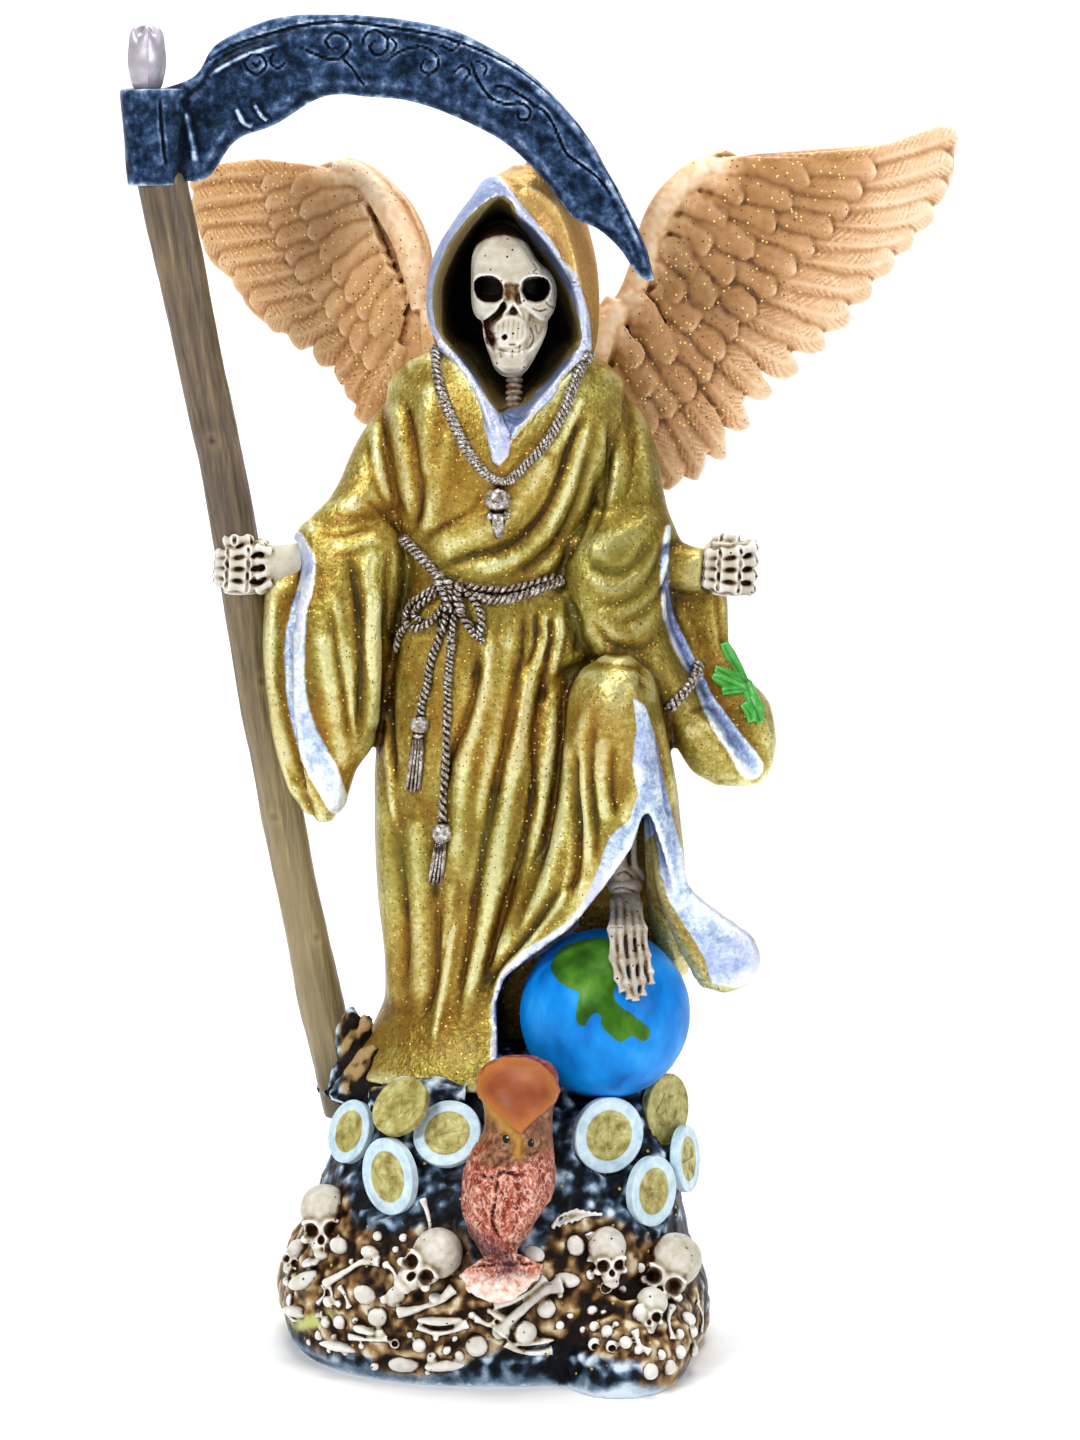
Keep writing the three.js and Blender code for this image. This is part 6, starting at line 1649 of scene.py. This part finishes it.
russet_paint, tree, shader = new_material("scratched_russet_paint", Roughness=0.45, Specular_IOR_Level=0.2,
                                          Coat_Weight=0.08, Coat_Roughness=0.3)
place, colour = washed_and_shaded(tree, RUSSET, fine=1.7, broad=0.4, middle=0.5, scale=480, cloudy=1.0)
fields = {name: field(tree, name) for name in
          ("scratch", "purple", "face", "cap", "yellow", "tail", "eyes", "glint")}
smooth = clouds(tree, place, 110, 4)
dust = clouds(tree, place, 520, 4, 0.7)
scratched = maths(tree, "MULTIPLY", fields["scratch"], dust)
scratched = ranged(tree, scratched, 0.2, 0.5, 0.75)
colour = mixed(tree, scratched, colour, shade(0xECC4B4))
cap_paint = ramp(tree, smooth, [(0.3, 0x8A4420), (0.5, 0xA05A34), (0.62, 0xB0683A), (0.75, 0xC47A40)])
# The face under the cap is dark brown: partly its own paint, partly painted shade under the cap.
face_paint = ramp(tree, dust, [(0.34, 0x3A1E0E), (0.46, 0x70482A), (0.56, 0x8E6644), (0.7, 0xB89470)])
tail_paint = ramp(tree, dust, [(0.34, 0xD08A66), (0.46, 0xF0D2C0), (0.6, 0xFBF2E8)])
for name, paint, low, high, most in (
    ("purple", shade(0x3A2430), 0, 14, 0.7), ("face", face_paint, -2, 5, 0.85),
    ("yellow", shade(0xB8882C), 0, 8, 0.75), ("cap", cap_paint, -0.5, 1.0, 1.0), ("tail", tail_paint, 0.1, 0.9, 0.95),
    ("eyes", shade(0x060404), 0, 0.8, 1.0), ("glint", shade(0xF4F4F0), 0, 0.8, 1.0),
):
    share = ranged(tree, fields[name], low, high, most)
    colour = mixed(tree, share, colour, paint)
near_cap = ranged(tree, fields["cap"], 0.0, 12.0, 0.0, 0.6)
capped = maths(tree, "GREATER_THAN", fields["cap"], 0.0)
colour = mixed(tree, maths(tree, "MULTIPLY", near_cap, capped), colour, shade(0xC87A2C))
painted(tree, shader, colour, smooth, 0.4, 0.0006)
smooth_coat(owl, russet_paint)
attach(owl, "root")
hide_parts("figure")

# Wings: a pair of castings glued to the back, feather laid over feather, painted peach with gold glitter.
# Each lies in one sloping plane, and its feathers are drawn on the photograph: half width in pixels, and a line.
RIGHT_PLANE = (7.6, 0.2323, 0.0239)
LEFT_PLANE = (-15.5, -0.6313, 0.1318)
RIGHT_SHEET = [
    (596, 345), (604, 325), (622, 298), (637, 275), (643, 240), (647, 215), (661, 194), (682, 172), (702, 160),
    (714, 153), (728, 150), (740, 156), (756, 154), (782, 152), (820, 149), (860, 146), (900, 140), (940, 127),
    (956, 129), (956, 152), (952, 182), (940, 198), (918, 216), (904, 244), (878, 262), (862, 280), (848, 302),
    (822, 320), (796, 332), (768, 352), (752, 376), (732, 402), (720, 436), (702, 460), (680, 476), (658, 490),
    (630, 470), (600, 430), (585, 390),
]
LEFT_SHEET = [
    (432, 290), (426, 245), (416, 218), (406, 200), (391, 184), (376, 171), (361, 161), (344, 157), (320, 164),
    (306, 171), (290, 165), (262, 160), (228, 164), (200, 172), (192, 200), (198, 232), (210, 262), (236, 284),
    (244, 304), (262, 322), (292, 338), (322, 352), (344, 374), (358, 400), (366, 424), (390, 440), (430, 400),
]
# Each row is fanned out between key feathers: its half width, how many there are, and the key lines.
RIGHT_ROWS = [
    (17, 16, [
        [(728, 170), (780, 170), (850, 165), (905, 152), (958, 134)], [(744, 206), (800, 212), (860, 216), (905, 212),
                                                                       (944, 198)],
        [(744, 250), (790, 258), (832, 264), (866, 266), (894, 256)], [(724, 296), (760, 308), (792, 320), (822, 328),
                                                                       (838, 322)],
        [(700, 342), (720, 356), (742, 374), (758, 386), (766, 380)], [(664, 388), (678, 412), (694, 436), (708, 458),
                                                                       (716, 460)],
        [(608, 400), (618, 430), (632, 460), (646, 484), (656, 496)],
    ]),
    (16, 14, [
        [(720, 168), (780, 172), (840, 174), (874, 172)], [(728, 204), (765, 210), (806, 218), (838, 222)],
        [(714, 244), (740, 252), (768, 266), (790, 276)], [(684, 292), (702, 306), (722, 322), (738, 330)],
        [(652, 336), (668, 354), (688, 374), (702, 388)], [(612, 366), (622, 390), (638, 414), (650, 434)],
    ]),
    (17, 9, [
        [(700, 172), (740, 172), (775, 178), (806, 182)], [(696, 202), (722, 208), (752, 220), (772, 228)],
        [(676, 242), (696, 256), (716, 270), (728, 282)], [(654, 286), (668, 302), (682, 318), (690, 330)],
        [(612, 334), (622, 356), (636, 378), (644, 396)],
    ]),
    (15, 7, [
        [(690, 178), (706, 184), (724, 192), (738, 202)], [(664, 222), (680, 230), (694, 242), (702, 254)],
        [(644, 264), (656, 276), (668, 290), (674, 302)], [(604, 322), (614, 338), (626, 354), (632, 368)],
    ]),
]
RIGHT_ARM_LINE = [(600, 345), (614, 318), (632, 290), (645, 258), (653, 230), (664, 207), (682, 186), (702, 170),
                  (720, 168)]
LEFT_ROWS = [
    (16, 13, [
        [(345, 182), (300, 178), (255, 174), (215, 178), (192, 188)], [(350, 214), (305, 222), (260, 226), (222, 230),
                                                                       (196, 230)],
        [(358, 246), (322, 260), (285, 270), (252, 276), (232, 280)], [(370, 284), (346, 298), (318, 310), (290, 320),
                                                                       (270, 324)],
        [(386, 318), (370, 336), (352, 352), (340, 362), (330, 362)], [(402, 344), (390, 368), (376, 392), (368, 412),
                                                                       (364, 424)],
    ]),
    (15, 11, [
        [(352, 182), (320, 184), (292, 184), (266, 188)], [(358, 212), (330, 220), (304, 226), (276, 234)],
        [(368, 244), (344, 256), (320, 268), (300, 276)], [(384, 284), (366, 300), (350, 314), (340, 326)],
        [(400, 312), (390, 332), (380, 352), (372, 370)],
    ]),
    (16, 8, [
        [(364, 180), (340, 184), (318, 188), (298, 194)], [(376, 216), (354, 226), (334, 236), (318, 244)],
        [(390, 252), (374, 268), (360, 284), (350, 296)], [(406, 284), (398, 302), (388, 322), (380, 336)],
    ]),
]
LEFT_ARM_LINE = [(338, 168), (356, 172), (371, 184), (386, 202), (400, 224), (412, 250), (420, 280), (424, 310)]


def fan(count, key_lines):
    """The feathers' lines of a row, set evenly between its key lines."""
    places = np.linspace(0, len(key_lines) - 1, count)
    keys = np.array(key_lines, float)
    first = np.minimum(places.astype(int), len(keys) - 2)
    share = (places - first)[:, None, None]
    return keys[first] * (1 - share) + keys[first + 1] * share


def on_plane(pixels, plane):
    """The points, in millimetres, of a sloping plane that are seen at pixels."""
    level, across, rise = plane
    pixels = np.asarray(pixels, float)
    steps = (pixels - FRAME_CENTRE) / FOCAL_PIXELS
    rays = ahead + steps[:, :1] * np.array((1, 0, 0)) - steps[:, 1:] * upward
    start = eye * 1000
    approach = rays[:, 1] - across * rays[:, 0] - rise * rays[:, 2]
    far = (level + across * start[0] + rise * start[2] - start[1]) / approach
    return start + far[:, None] * rays


def feather(plane, line, half_width, lift, lean, seed, barbed):
    """A feather as a closed blade over a line of pixels, with the height of its barbs kept for later."""
    facing = np.array((plane[1], -1, plane[2]))
    facing /= np.linalg.norm(facing)
    length = np.linalg.norm(np.diff(on_plane(smooth_line(line, 40), plane), axis=0), axis=1).sum()
    middle = on_plane(smooth_line(line, max(int(length / 0.34), 14)), plane)
    count = len(middle)
    ahead_line = np.gradient(middle, axis=0)
    ahead_line /= np.linalg.norm(ahead_line, axis=1)[:, None]
    sideways = np.cross(facing, ahead_line)
    share = np.linspace(0, 1, count)
    waves = 1 + 0.06 * np.sin(share * 7 + seed) + 0.04 * np.sin(share * 17 + seed)
    wide = half_width * MM_PER_PIXEL * waves * (0.7 + 0.3 * step_up(0, 0.3, share))
    tip = np.clip(half_width * MM_PER_PIXEL / length, 0.1, 0.4)
    wide = wide * np.sqrt(np.clip(1 - np.clip((share - 1 + tip) / tip, 0, 1) ** 2, 0.004, 1))
    u = np.concatenate([np.linspace(-1, 1, 19), np.linspace(0.7, -0.7, 4)])
    front = np.concatenate([np.ones(19), np.zeros(4)])[None]
    off = np.abs(u)[None] * wide[:, None]
    along = (share * length)[:, None] - off * 1.1
    phase = along / 1.5 + 0.16 * np.sin(along * 0.9 + seed) + 0.1 * np.sin(off * 1.5 + seed)
    barbs = np.sin(2 * math.pi * phase) * (0.6 + 0.4 * np.sin(along * 0.5 + 3 * seed)) * step_up(0.3, 0.9, off) * barbed
    quill = 0.22 * barbed * np.exp(-(off / 0.5) ** 2) * step_up(1.0, 0.8, share)[:, None]
    crown = 1.25 * (1 - np.abs(u)[None] ** 2.2) + 0.2 * np.sin(share * 5 + seed)[:, None]
    rise = lift + lean * u[None] * wide[:, None] + front * (crown + quill) - (1 - front) * 1.2
    points = middle[:, None] + sideways[:, None] * (u[None] * wide[:, None])[:, :, None] + facing * rise[:, :, None]
    piece = skin("feather", points)
    record(piece, "barb", np.broadcast_to(front * barbs * step_up(1.0, 0.75, np.abs(u))[None], rise.shape).ravel())
    return piece


def wing(name, plane, sheet, rows, arm_line, root, side, shaded):
    """A wing: a slab at the back, rows of feathers over it, and the rounded arm along its leading edge."""
    facing = np.array((plane[1], -1, plane[2]))
    facing /= np.linalg.norm(facing)
    outline = on_plane(smooth_line(sheet + sheet[:1], 160)[:-1], plane)
    count = len(outline)
    points = np.vstack([outline - facing * 0.1, outline - facing * 2.3])
    faces = [(i, (i + 1) % count, count + (i + 1) % count, count + i) for i in range(count)]
    slab = new_piece("slab", points, faces + [tuple(range(count)), tuple(range(count, 2 * count))])
    face_outwards(slab)
    parts = [slab, limb("arm", on_plane(arm_line, plane) + facing * 0.8, [2.0, 2.6, 3.1, 3.4, 3.5, 3.3, 2.4], 24, 80),
             limb("root", root, [3.4, 5, 4], 24, 30)]
    for part in parts:
        record(part, "barb", np.zeros(len(part.data.vertices)))
    for row, (half_width, number, key_lines) in enumerate(rows):
        for k, line in enumerate(fan(number, key_lines)):
            parts.append(feather(plane, line, half_width, (0.1, 1.2, 2.0, 2.6)[row], side * 0.17, 3.1 * k + row,
                                 (1, 0.35, 0, 0)[row]))
    drawn = gather("drawn", parts)
    barb = recorded(drawn, "barb")
    finder = KDTree(len(drawn.data.vertices))
    for i, vertex in enumerate(drawn.data.vertices):
        finder.insert(vertex.co, i)
    finder.balance()
    made = weld(name, [drawn], 0.00042, rounds=2)
    match = [finder.find(vertex.co)[1] for vertex in made.data.vertices]
    places = points_of(made)
    leading = within_reach(made, arm_line)
    rough = np.array([noise.noise(Vector((p[0] * 330, p[1] * 330, p[2] * 200))) + 0.6 * noise.noise(Vector(p) * 640)
                      for p in places])
    rough *= 0.1 + 0.22 * step_up(46, 14, leading)
    move_to(made, places + directions_of(made)
            * (barb[match] * 0.00008 + rough * 0.0007 * step_up(0, 0.4, directions_of(made) @ facing))[:, None])
    record(made, "groove", np.clip(0.5 - 0.5 * barb[match], 0, 1) * (np.abs(barb[match]) > 0.02))
    record(made, "shaded", np.full(len(match), shaded))
    record(made, "leading", leading)
    sheltered(made, 0.0026)
    hollows(made, (3, 16))
    return made


def within_reach(piece, line):
    return nearest(seen_at(points_of(piece)), smooth_line(line, 60))[0]


right_wing = wing("right_feathered_wing", RIGHT_PLANE, RIGHT_SHEET, RIGHT_ROWS, RIGHT_ARM_LINE,
                  [(29, 20, 234), (21, 16.5, 220), (14, 13.5, 204)], 1, 0.0)
left_wing = wing("left_feathered_wing", LEFT_PLANE, LEFT_SHEET, LEFT_ROWS, LEFT_ARM_LINE,
                 [(-13, 25, 234), (-10, 18, 219), (-6, 14, 204)], -1, 1.0)

PEACH = [(0.0, 0x5E3410), (0.16, 0x92622E), (0.34, 0xB48452), (0.52, 0xD2A274), (0.7, 0xECC69C), (1.0, 0xFDEFD6)]
peach_paint, tree, shader = new_material("peach_and_glitter_paint", Roughness=0.42, Specular_IOR_Level=0.3,
                                         Coat_Weight=0.15, Coat_Roughness=0.3)
place = add(tree, "ShaderNodeTexCoord").outputs["Object"]
cloud = clouds(tree, place, 75, 5, 0.65)
groove = field(tree, "groove")
tucked = field(tree, "tucked")
shaded = field(tree, "shaded")
leading = field(tree, "leading")
near_arm = ranged(tree, leading, 190.0, 80.0, run="SMOOTHSTEP")
off_arm = ranged(tree, leading, 0.0, 30.0, run="SMOOTHSTEP")
band_share = maths(tree, "MULTIPLY", near_arm, off_arm)
tone = tone_of(tree, 1.45, 0.8, 0.63)
level = maths(tree, "MULTIPLY_ADD", cloud, 0.5, tone)
level = maths(tree, "SUBTRACT", level, 0.2)
level = maths(tree, "MULTIPLY_ADD", groove, -0.05, level)
# Painted shade where a feather is tucked under its neighbours.
level = maths(tree, "MULTIPLY_ADD", tucked, -0.75, level)
darker = maths(tree, "MULTIPLY_ADD", shaded, 0.28, -0.42)
level = maths(tree, "MULTIPLY_ADD", band_share, darker, level, clamp=True)
colour = ramp(tree, level, PEACH)
brown = maths(tree, "MULTIPLY", shaded, off_arm)
brown = maths(tree, "MULTIPLY", brown, 0.55)
colour = mixed(tree, brown, colour, shade(0xD6C294), "MULTIPLY")
dice = clouds(tree, place, 70, 3)
dice = ranged(tree, dice, 0.42, 0.62)
band_share = maths(tree, "MULTIPLY_ADD", shaded, 0.3, band_share, clamp=True)
dice = maths(tree, "MULTIPLY_ADD", dice, 0.6, 0.4)
heavy = maths(tree, "MULTIPLY", band_share, dice)
for size, share, seed, code in ((0.001, 0.7, 0.1, 0xA8741C), (0.0011, 0.4, 0.5, 0x5E3810),
                                (0.0011, 0.5, 0.9, 0xFFE68A)):
    some = maths(tree, "MULTIPLY", heavy, share)
    colour = mixed(tree, glitter(tree, place, size, some, seed), colour, shade(code))
fine = clouds(tree, place, 900, 3)
painted(tree, shader, colour, fine, 0.4, 0.0004)
for made, node in ((right_wing, "wing_right"), (left_wing, "wing_left")):
    smooth_coat(made, peach_paint)
    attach(made, "root")
    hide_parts(node)

# Cords: a twisted belt tied in a bow, a necklace with a skull drop and a cord on the sleeve, cast in relief on the
# cloth, their paint silver over a brown wash, which is partly painted shade where the strands are tucked together.
NECKLACE_LINE = [(436, 348), (437, 370), (442, 394), (450, 414), (460, 436), (471, 456), (484, 472), (498, 481),
                 (510, 480), (524, 467),
                 (540, 450), (554, 430), (565, 408), (572, 388), (580, 368), (589, 352)]
BELT_LINE = [(404, 538), (415, 549), (428, 563), (440, 577), (450, 586), (470, 594), (490, 599), (510, 598), (530, 592),
             (547, 585), (562, 580)]
BELT_UPPER = [(446, 580), (462, 585), (485, 589), (508, 589), (530, 584), (552, 577)]
BOW_LINES = [
    (0.72, [(443, 584), (430, 592), (418, 600), (410, 610), (408, 622), (416, 628), (428, 624), (438, 614),
            (446, 604)]),
    (0.6, [(440, 590), (428, 600), (418, 608), (417, 617), (424, 620)]),
    (0.75, [(455, 586), (466, 592), (476, 602), (481, 614), (481, 628), (478, 636), (472, 630), (464, 618), (456, 606),
            (450, 596)]),
    (0.6, [(470, 620), (476, 632), (484, 642)]),
    (0.7, [(444, 588), (446, 602), (447, 618), (444, 630)]),
    (0.7, [(456, 594), (456, 612), (453, 628), (452, 642)]),
    (0.6, [(410, 624), (403, 634), (398, 650)]),
]
STRAND_LINES = [
    [(443, 618), (439, 640), (433, 655), (429, 672), (428, 686), (423, 700), (421, 716)],
    [(452, 640), (450, 662), (448, 684), (448, 710), (446, 745), (444, 780), (443, 822)],
]
cloth_faces = [BVHTree.FromObject(piece, bpy.context.evaluated_depsgraph_get()) for piece in (robe, hood)]


def on_cloth(pixels, lift, count=None):
    """Points over the cloth, in millimetres, along a line of pixels."""
    line = smooth_line(pixels, count or 6 * len(pixels))
    made = []
    for pixel in line:
        across, down = (pixel - FRAME_CENTRE) / FOCAL_PIXELS
        direction = Vector(ahead + across * np.array((1, 0, 0)) - down * upward).normalized()
        hits = [tree.ray_cast(Vector(eye), direction) for tree in cloth_faces]
        hits = [hit for hit in hits if hit[0] is not None]
        if hits:
            point, normal, _, _ = min(hits, key=lambda hit: hit[3])
            made.append(np.array(point) * 1000 + np.array(normal) * lift * 0.5 + np.array((0, -0.5, 0)) * lift)
    made = np.array(made)
    for _ in range(3):
        made[1:-1] = 0.5 * made[1:-1] + 0.25 * (made[:-2] + made[2:])
    return made


def cord(pixels, radius, lift, strands=2, pitch=3.4):
    """A twisted cord, strand round strand, laid over the cloth along a line of pixels."""
    rough_line = on_cloth(pixels, lift)
    length = np.linalg.norm(np.diff(rough_line, axis=0), axis=1).sum()
    count = max(int(length / 0.24), 12)
    middle = smooth_line(rough_line, count)
    tangents = np.gradient(middle, axis=0)
    tangents /= np.linalg.norm(tangents, axis=1)[:, None]
    up = np.array((0, -1, 0)) - tangents * (tangents @ np.array((0, -1, 0)))[:, None]
    up /= np.linalg.norm(up, axis=1)[:, None]
    across = np.cross(tangents, up)
    angle = np.linspace(0, 2 * math.pi * length / pitch, count)
    return [limb("strand", middle + 0.5 * radius
                 * (np.cos(angle + turn)[:, None] * across + np.sin(angle + turn)[:, None] * up),
                 0.58 * radius * (1 + 0.14 * np.sin(np.linspace(0, 9.7 * length, 60))), 10, count)
            for turn in np.linspace(0, 2 * math.pi, strands, endpoint=False)]


def tassel(bead_pixel, end_pixel, size):
    """A bead with a collar and a fringe below it."""
    bead, end = on_cloth([bead_pixel, bead_pixel], 1.2, 2)[0], on_cloth([end_pixel, end_pixel], 1.2, 2)[0]
    reach = end - bead
    threads = [limb("thread", [bead + reach * 0.1 + (0.6 * k, 0, 0), bead + reach * 0.55 + (0.75 * k, -0.3, 0),
                               end + (0.9 * k, 0, 0.4 * abs(k))],
                    [0.5, 0.6, 0.4], 10, 20) for k in (-1.4, -0.5, 0.5, 1.4)]
    return [
        oval("bead", bead, (size, size * 0.8, size)),
        oval("collar", bead + reach * 0.14 * (2.3 / size), (size * 0.62, size * 0.5, size * 0.42)),
        oval("cap", bead - reach * 0.07, (size * 0.5, size * 0.5, size * 0.4)), *threads,
    ]


drop, drop_end = on_cloth([(498, 500), (498, 500)], 1.0, 2)[0], on_cloth([(498, 536), (498, 536)], 1.0, 2)[0]
cord_parts = [
    *cord(NECKLACE_LINE, 1.15, 0.6, 3, 3.2), *cord(BELT_LINE, 1.2, 0.9, 3, 3.6), *cord(BELT_UPPER, 0.9, 1.0, 2, 3),
    *[strand for radius, line in BOW_LINES for strand in cord(line, radius * 1.25, 1.5, 2, 2.6)],
    *[strand for line in STRAND_LINES for strand in cord(line, 0.95, 0.7, 2, 2.8)],
    *tassel((421, 724), (414, 792), 2.1), *tassel((443, 832), (437, 884), 2.3),
    *[strand for line in ([(441, 580), (447, 592), (451, 606)], [(449, 579), (453, 592), (450, 610)],
                          [(460, 584), (458, 598), (463, 612)])
      for strand in cord(line, 1.2, 2.4, 2, 2.6)],
    oval("drop_head", drop, (2.9, 2.4, 2.9)), oval("drop_cheek", drop + (-1.6, -0.9, -3.2), (1.2, 1.1, 1.0)),
    oval("drop_cheek", drop + (1.7, -0.9, -3.2), (1.2, 1.1, 1.0)),
    limb("drop_jaw", [drop + (0, -0.5, -2.6), (drop + drop_end) / 2 + (0, -0.6, -1.6), drop_end + (0, -0.2, 0)],
         [2.0, 1.5, 0.8], 20, 24),
    *cord([(699, 662), (696, 674), (688, 686), (680, 696), (670, 708)], 1.2, 0.6, 2, 3.0),
]
cords = gather("cords", cord_parts)
sheltered(cords, 0.0016)

silver_paint, tree, shader = new_material("silver_cord_paint", Metallic=0.5, Roughness=0.34, Coat_Weight=0.2)
place = add(tree, "ShaderNodeTexCoord").outputs["Object"]
cloud = clouds(tree, place, 900, 4, 0.8)
tucked = field(tree, "tucked")
# Painted shade: the cord darkens to brown and black where its strands are tucked together.
level = maths(tree, "MULTIPLY_ADD", tucked, -1.2, cloud)
colour = ramp(tree, level, [(0.1, 0x1A0E06), (0.34, 0x5A4630), (0.46, 0x8E8070), (0.54, 0xB8B4B0), (0.66, 0xECEEF4)])
colour = mixed(tree, glitter(tree, place, 0.0007, 0.3), colour, shade(0xFFFFFF))
colour = mixed(tree, glitter(tree, place, 0.0008, 0.4, 0.5), colour, shade(0x3A2612))
painted(tree, shader, colour)
smooth_coat(cords, silver_paint)
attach(cords, "root")
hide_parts("figure")

# Sprig: a raised stalk and its leaves on the inner layer of the sleeve, painted leaf green, paler where it is raised.
SPRIG = [
    ([1.0, 1.5, 1.3, 0.9], [(723, 642), (728, 654), (736, 667), (744, 681)]),
    ([0.7, 1.6, 1.9, 1.2], [(712, 676), (722, 680), (734, 685), (746, 690)]),
    ([0.7, 1.3, 1.2, 0.8], [(715, 668), (726, 674), (738, 680), (747, 684)]),
    ([1.2, 1.6, 1.9, 0.7], [(746, 682), (750, 696), (756, 710), (760, 724)]),
    ([0.9, 1.1, 0.8], [(722, 692), (732, 690), (742, 690)]),
    ([0.8, 1.2, 1.0], [(742, 704), (749, 712), (752, 722)]),
]
sprig = weld("sprig", [limb("leaf", on_cloth(line, 0.5, 14), widths, 20, 30, 0.7) for widths, line in SPRIG], 0.0003,
             rounds=2)
carve(sprig, [(-0.3, 2.5, line) for _, line in SPRIG], deepest=1)
hollows(sprig, (3, 24))
leaf_paint, tree, shader = new_material("leaf_green_paint", Roughness=0.4, Coat_Weight=0.3)
place, colour = washed_and_shaded(tree, [(0.0, 0x0C2A0A), (0.35, 0x1E6A18), (0.55, 0x2E9A28), (0.75, 0x55B84A), (1.0, 0xA8DE9C)],
                       fine=1.2, scale=380, cloudy=0.6, middle=0.5)
painted(tree, shader, colour)
smooth_coat(sprig, leaf_paint)
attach(sprig, "root")
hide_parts("figure")

# The even skins are thinned where they are flat, to keep the figure under a million triangles.
KEPT_SHARE = 0.65
for name in ("robe", "hood", "skull", "pole", "blade", "rock", "bed_bones", "owl", "right_feathered_wing",
             "left_feathered_wing", "cords"):
    finish_with(bpy.data.objects[name], "DECIMATE", ratio=KEPT_SHARE)
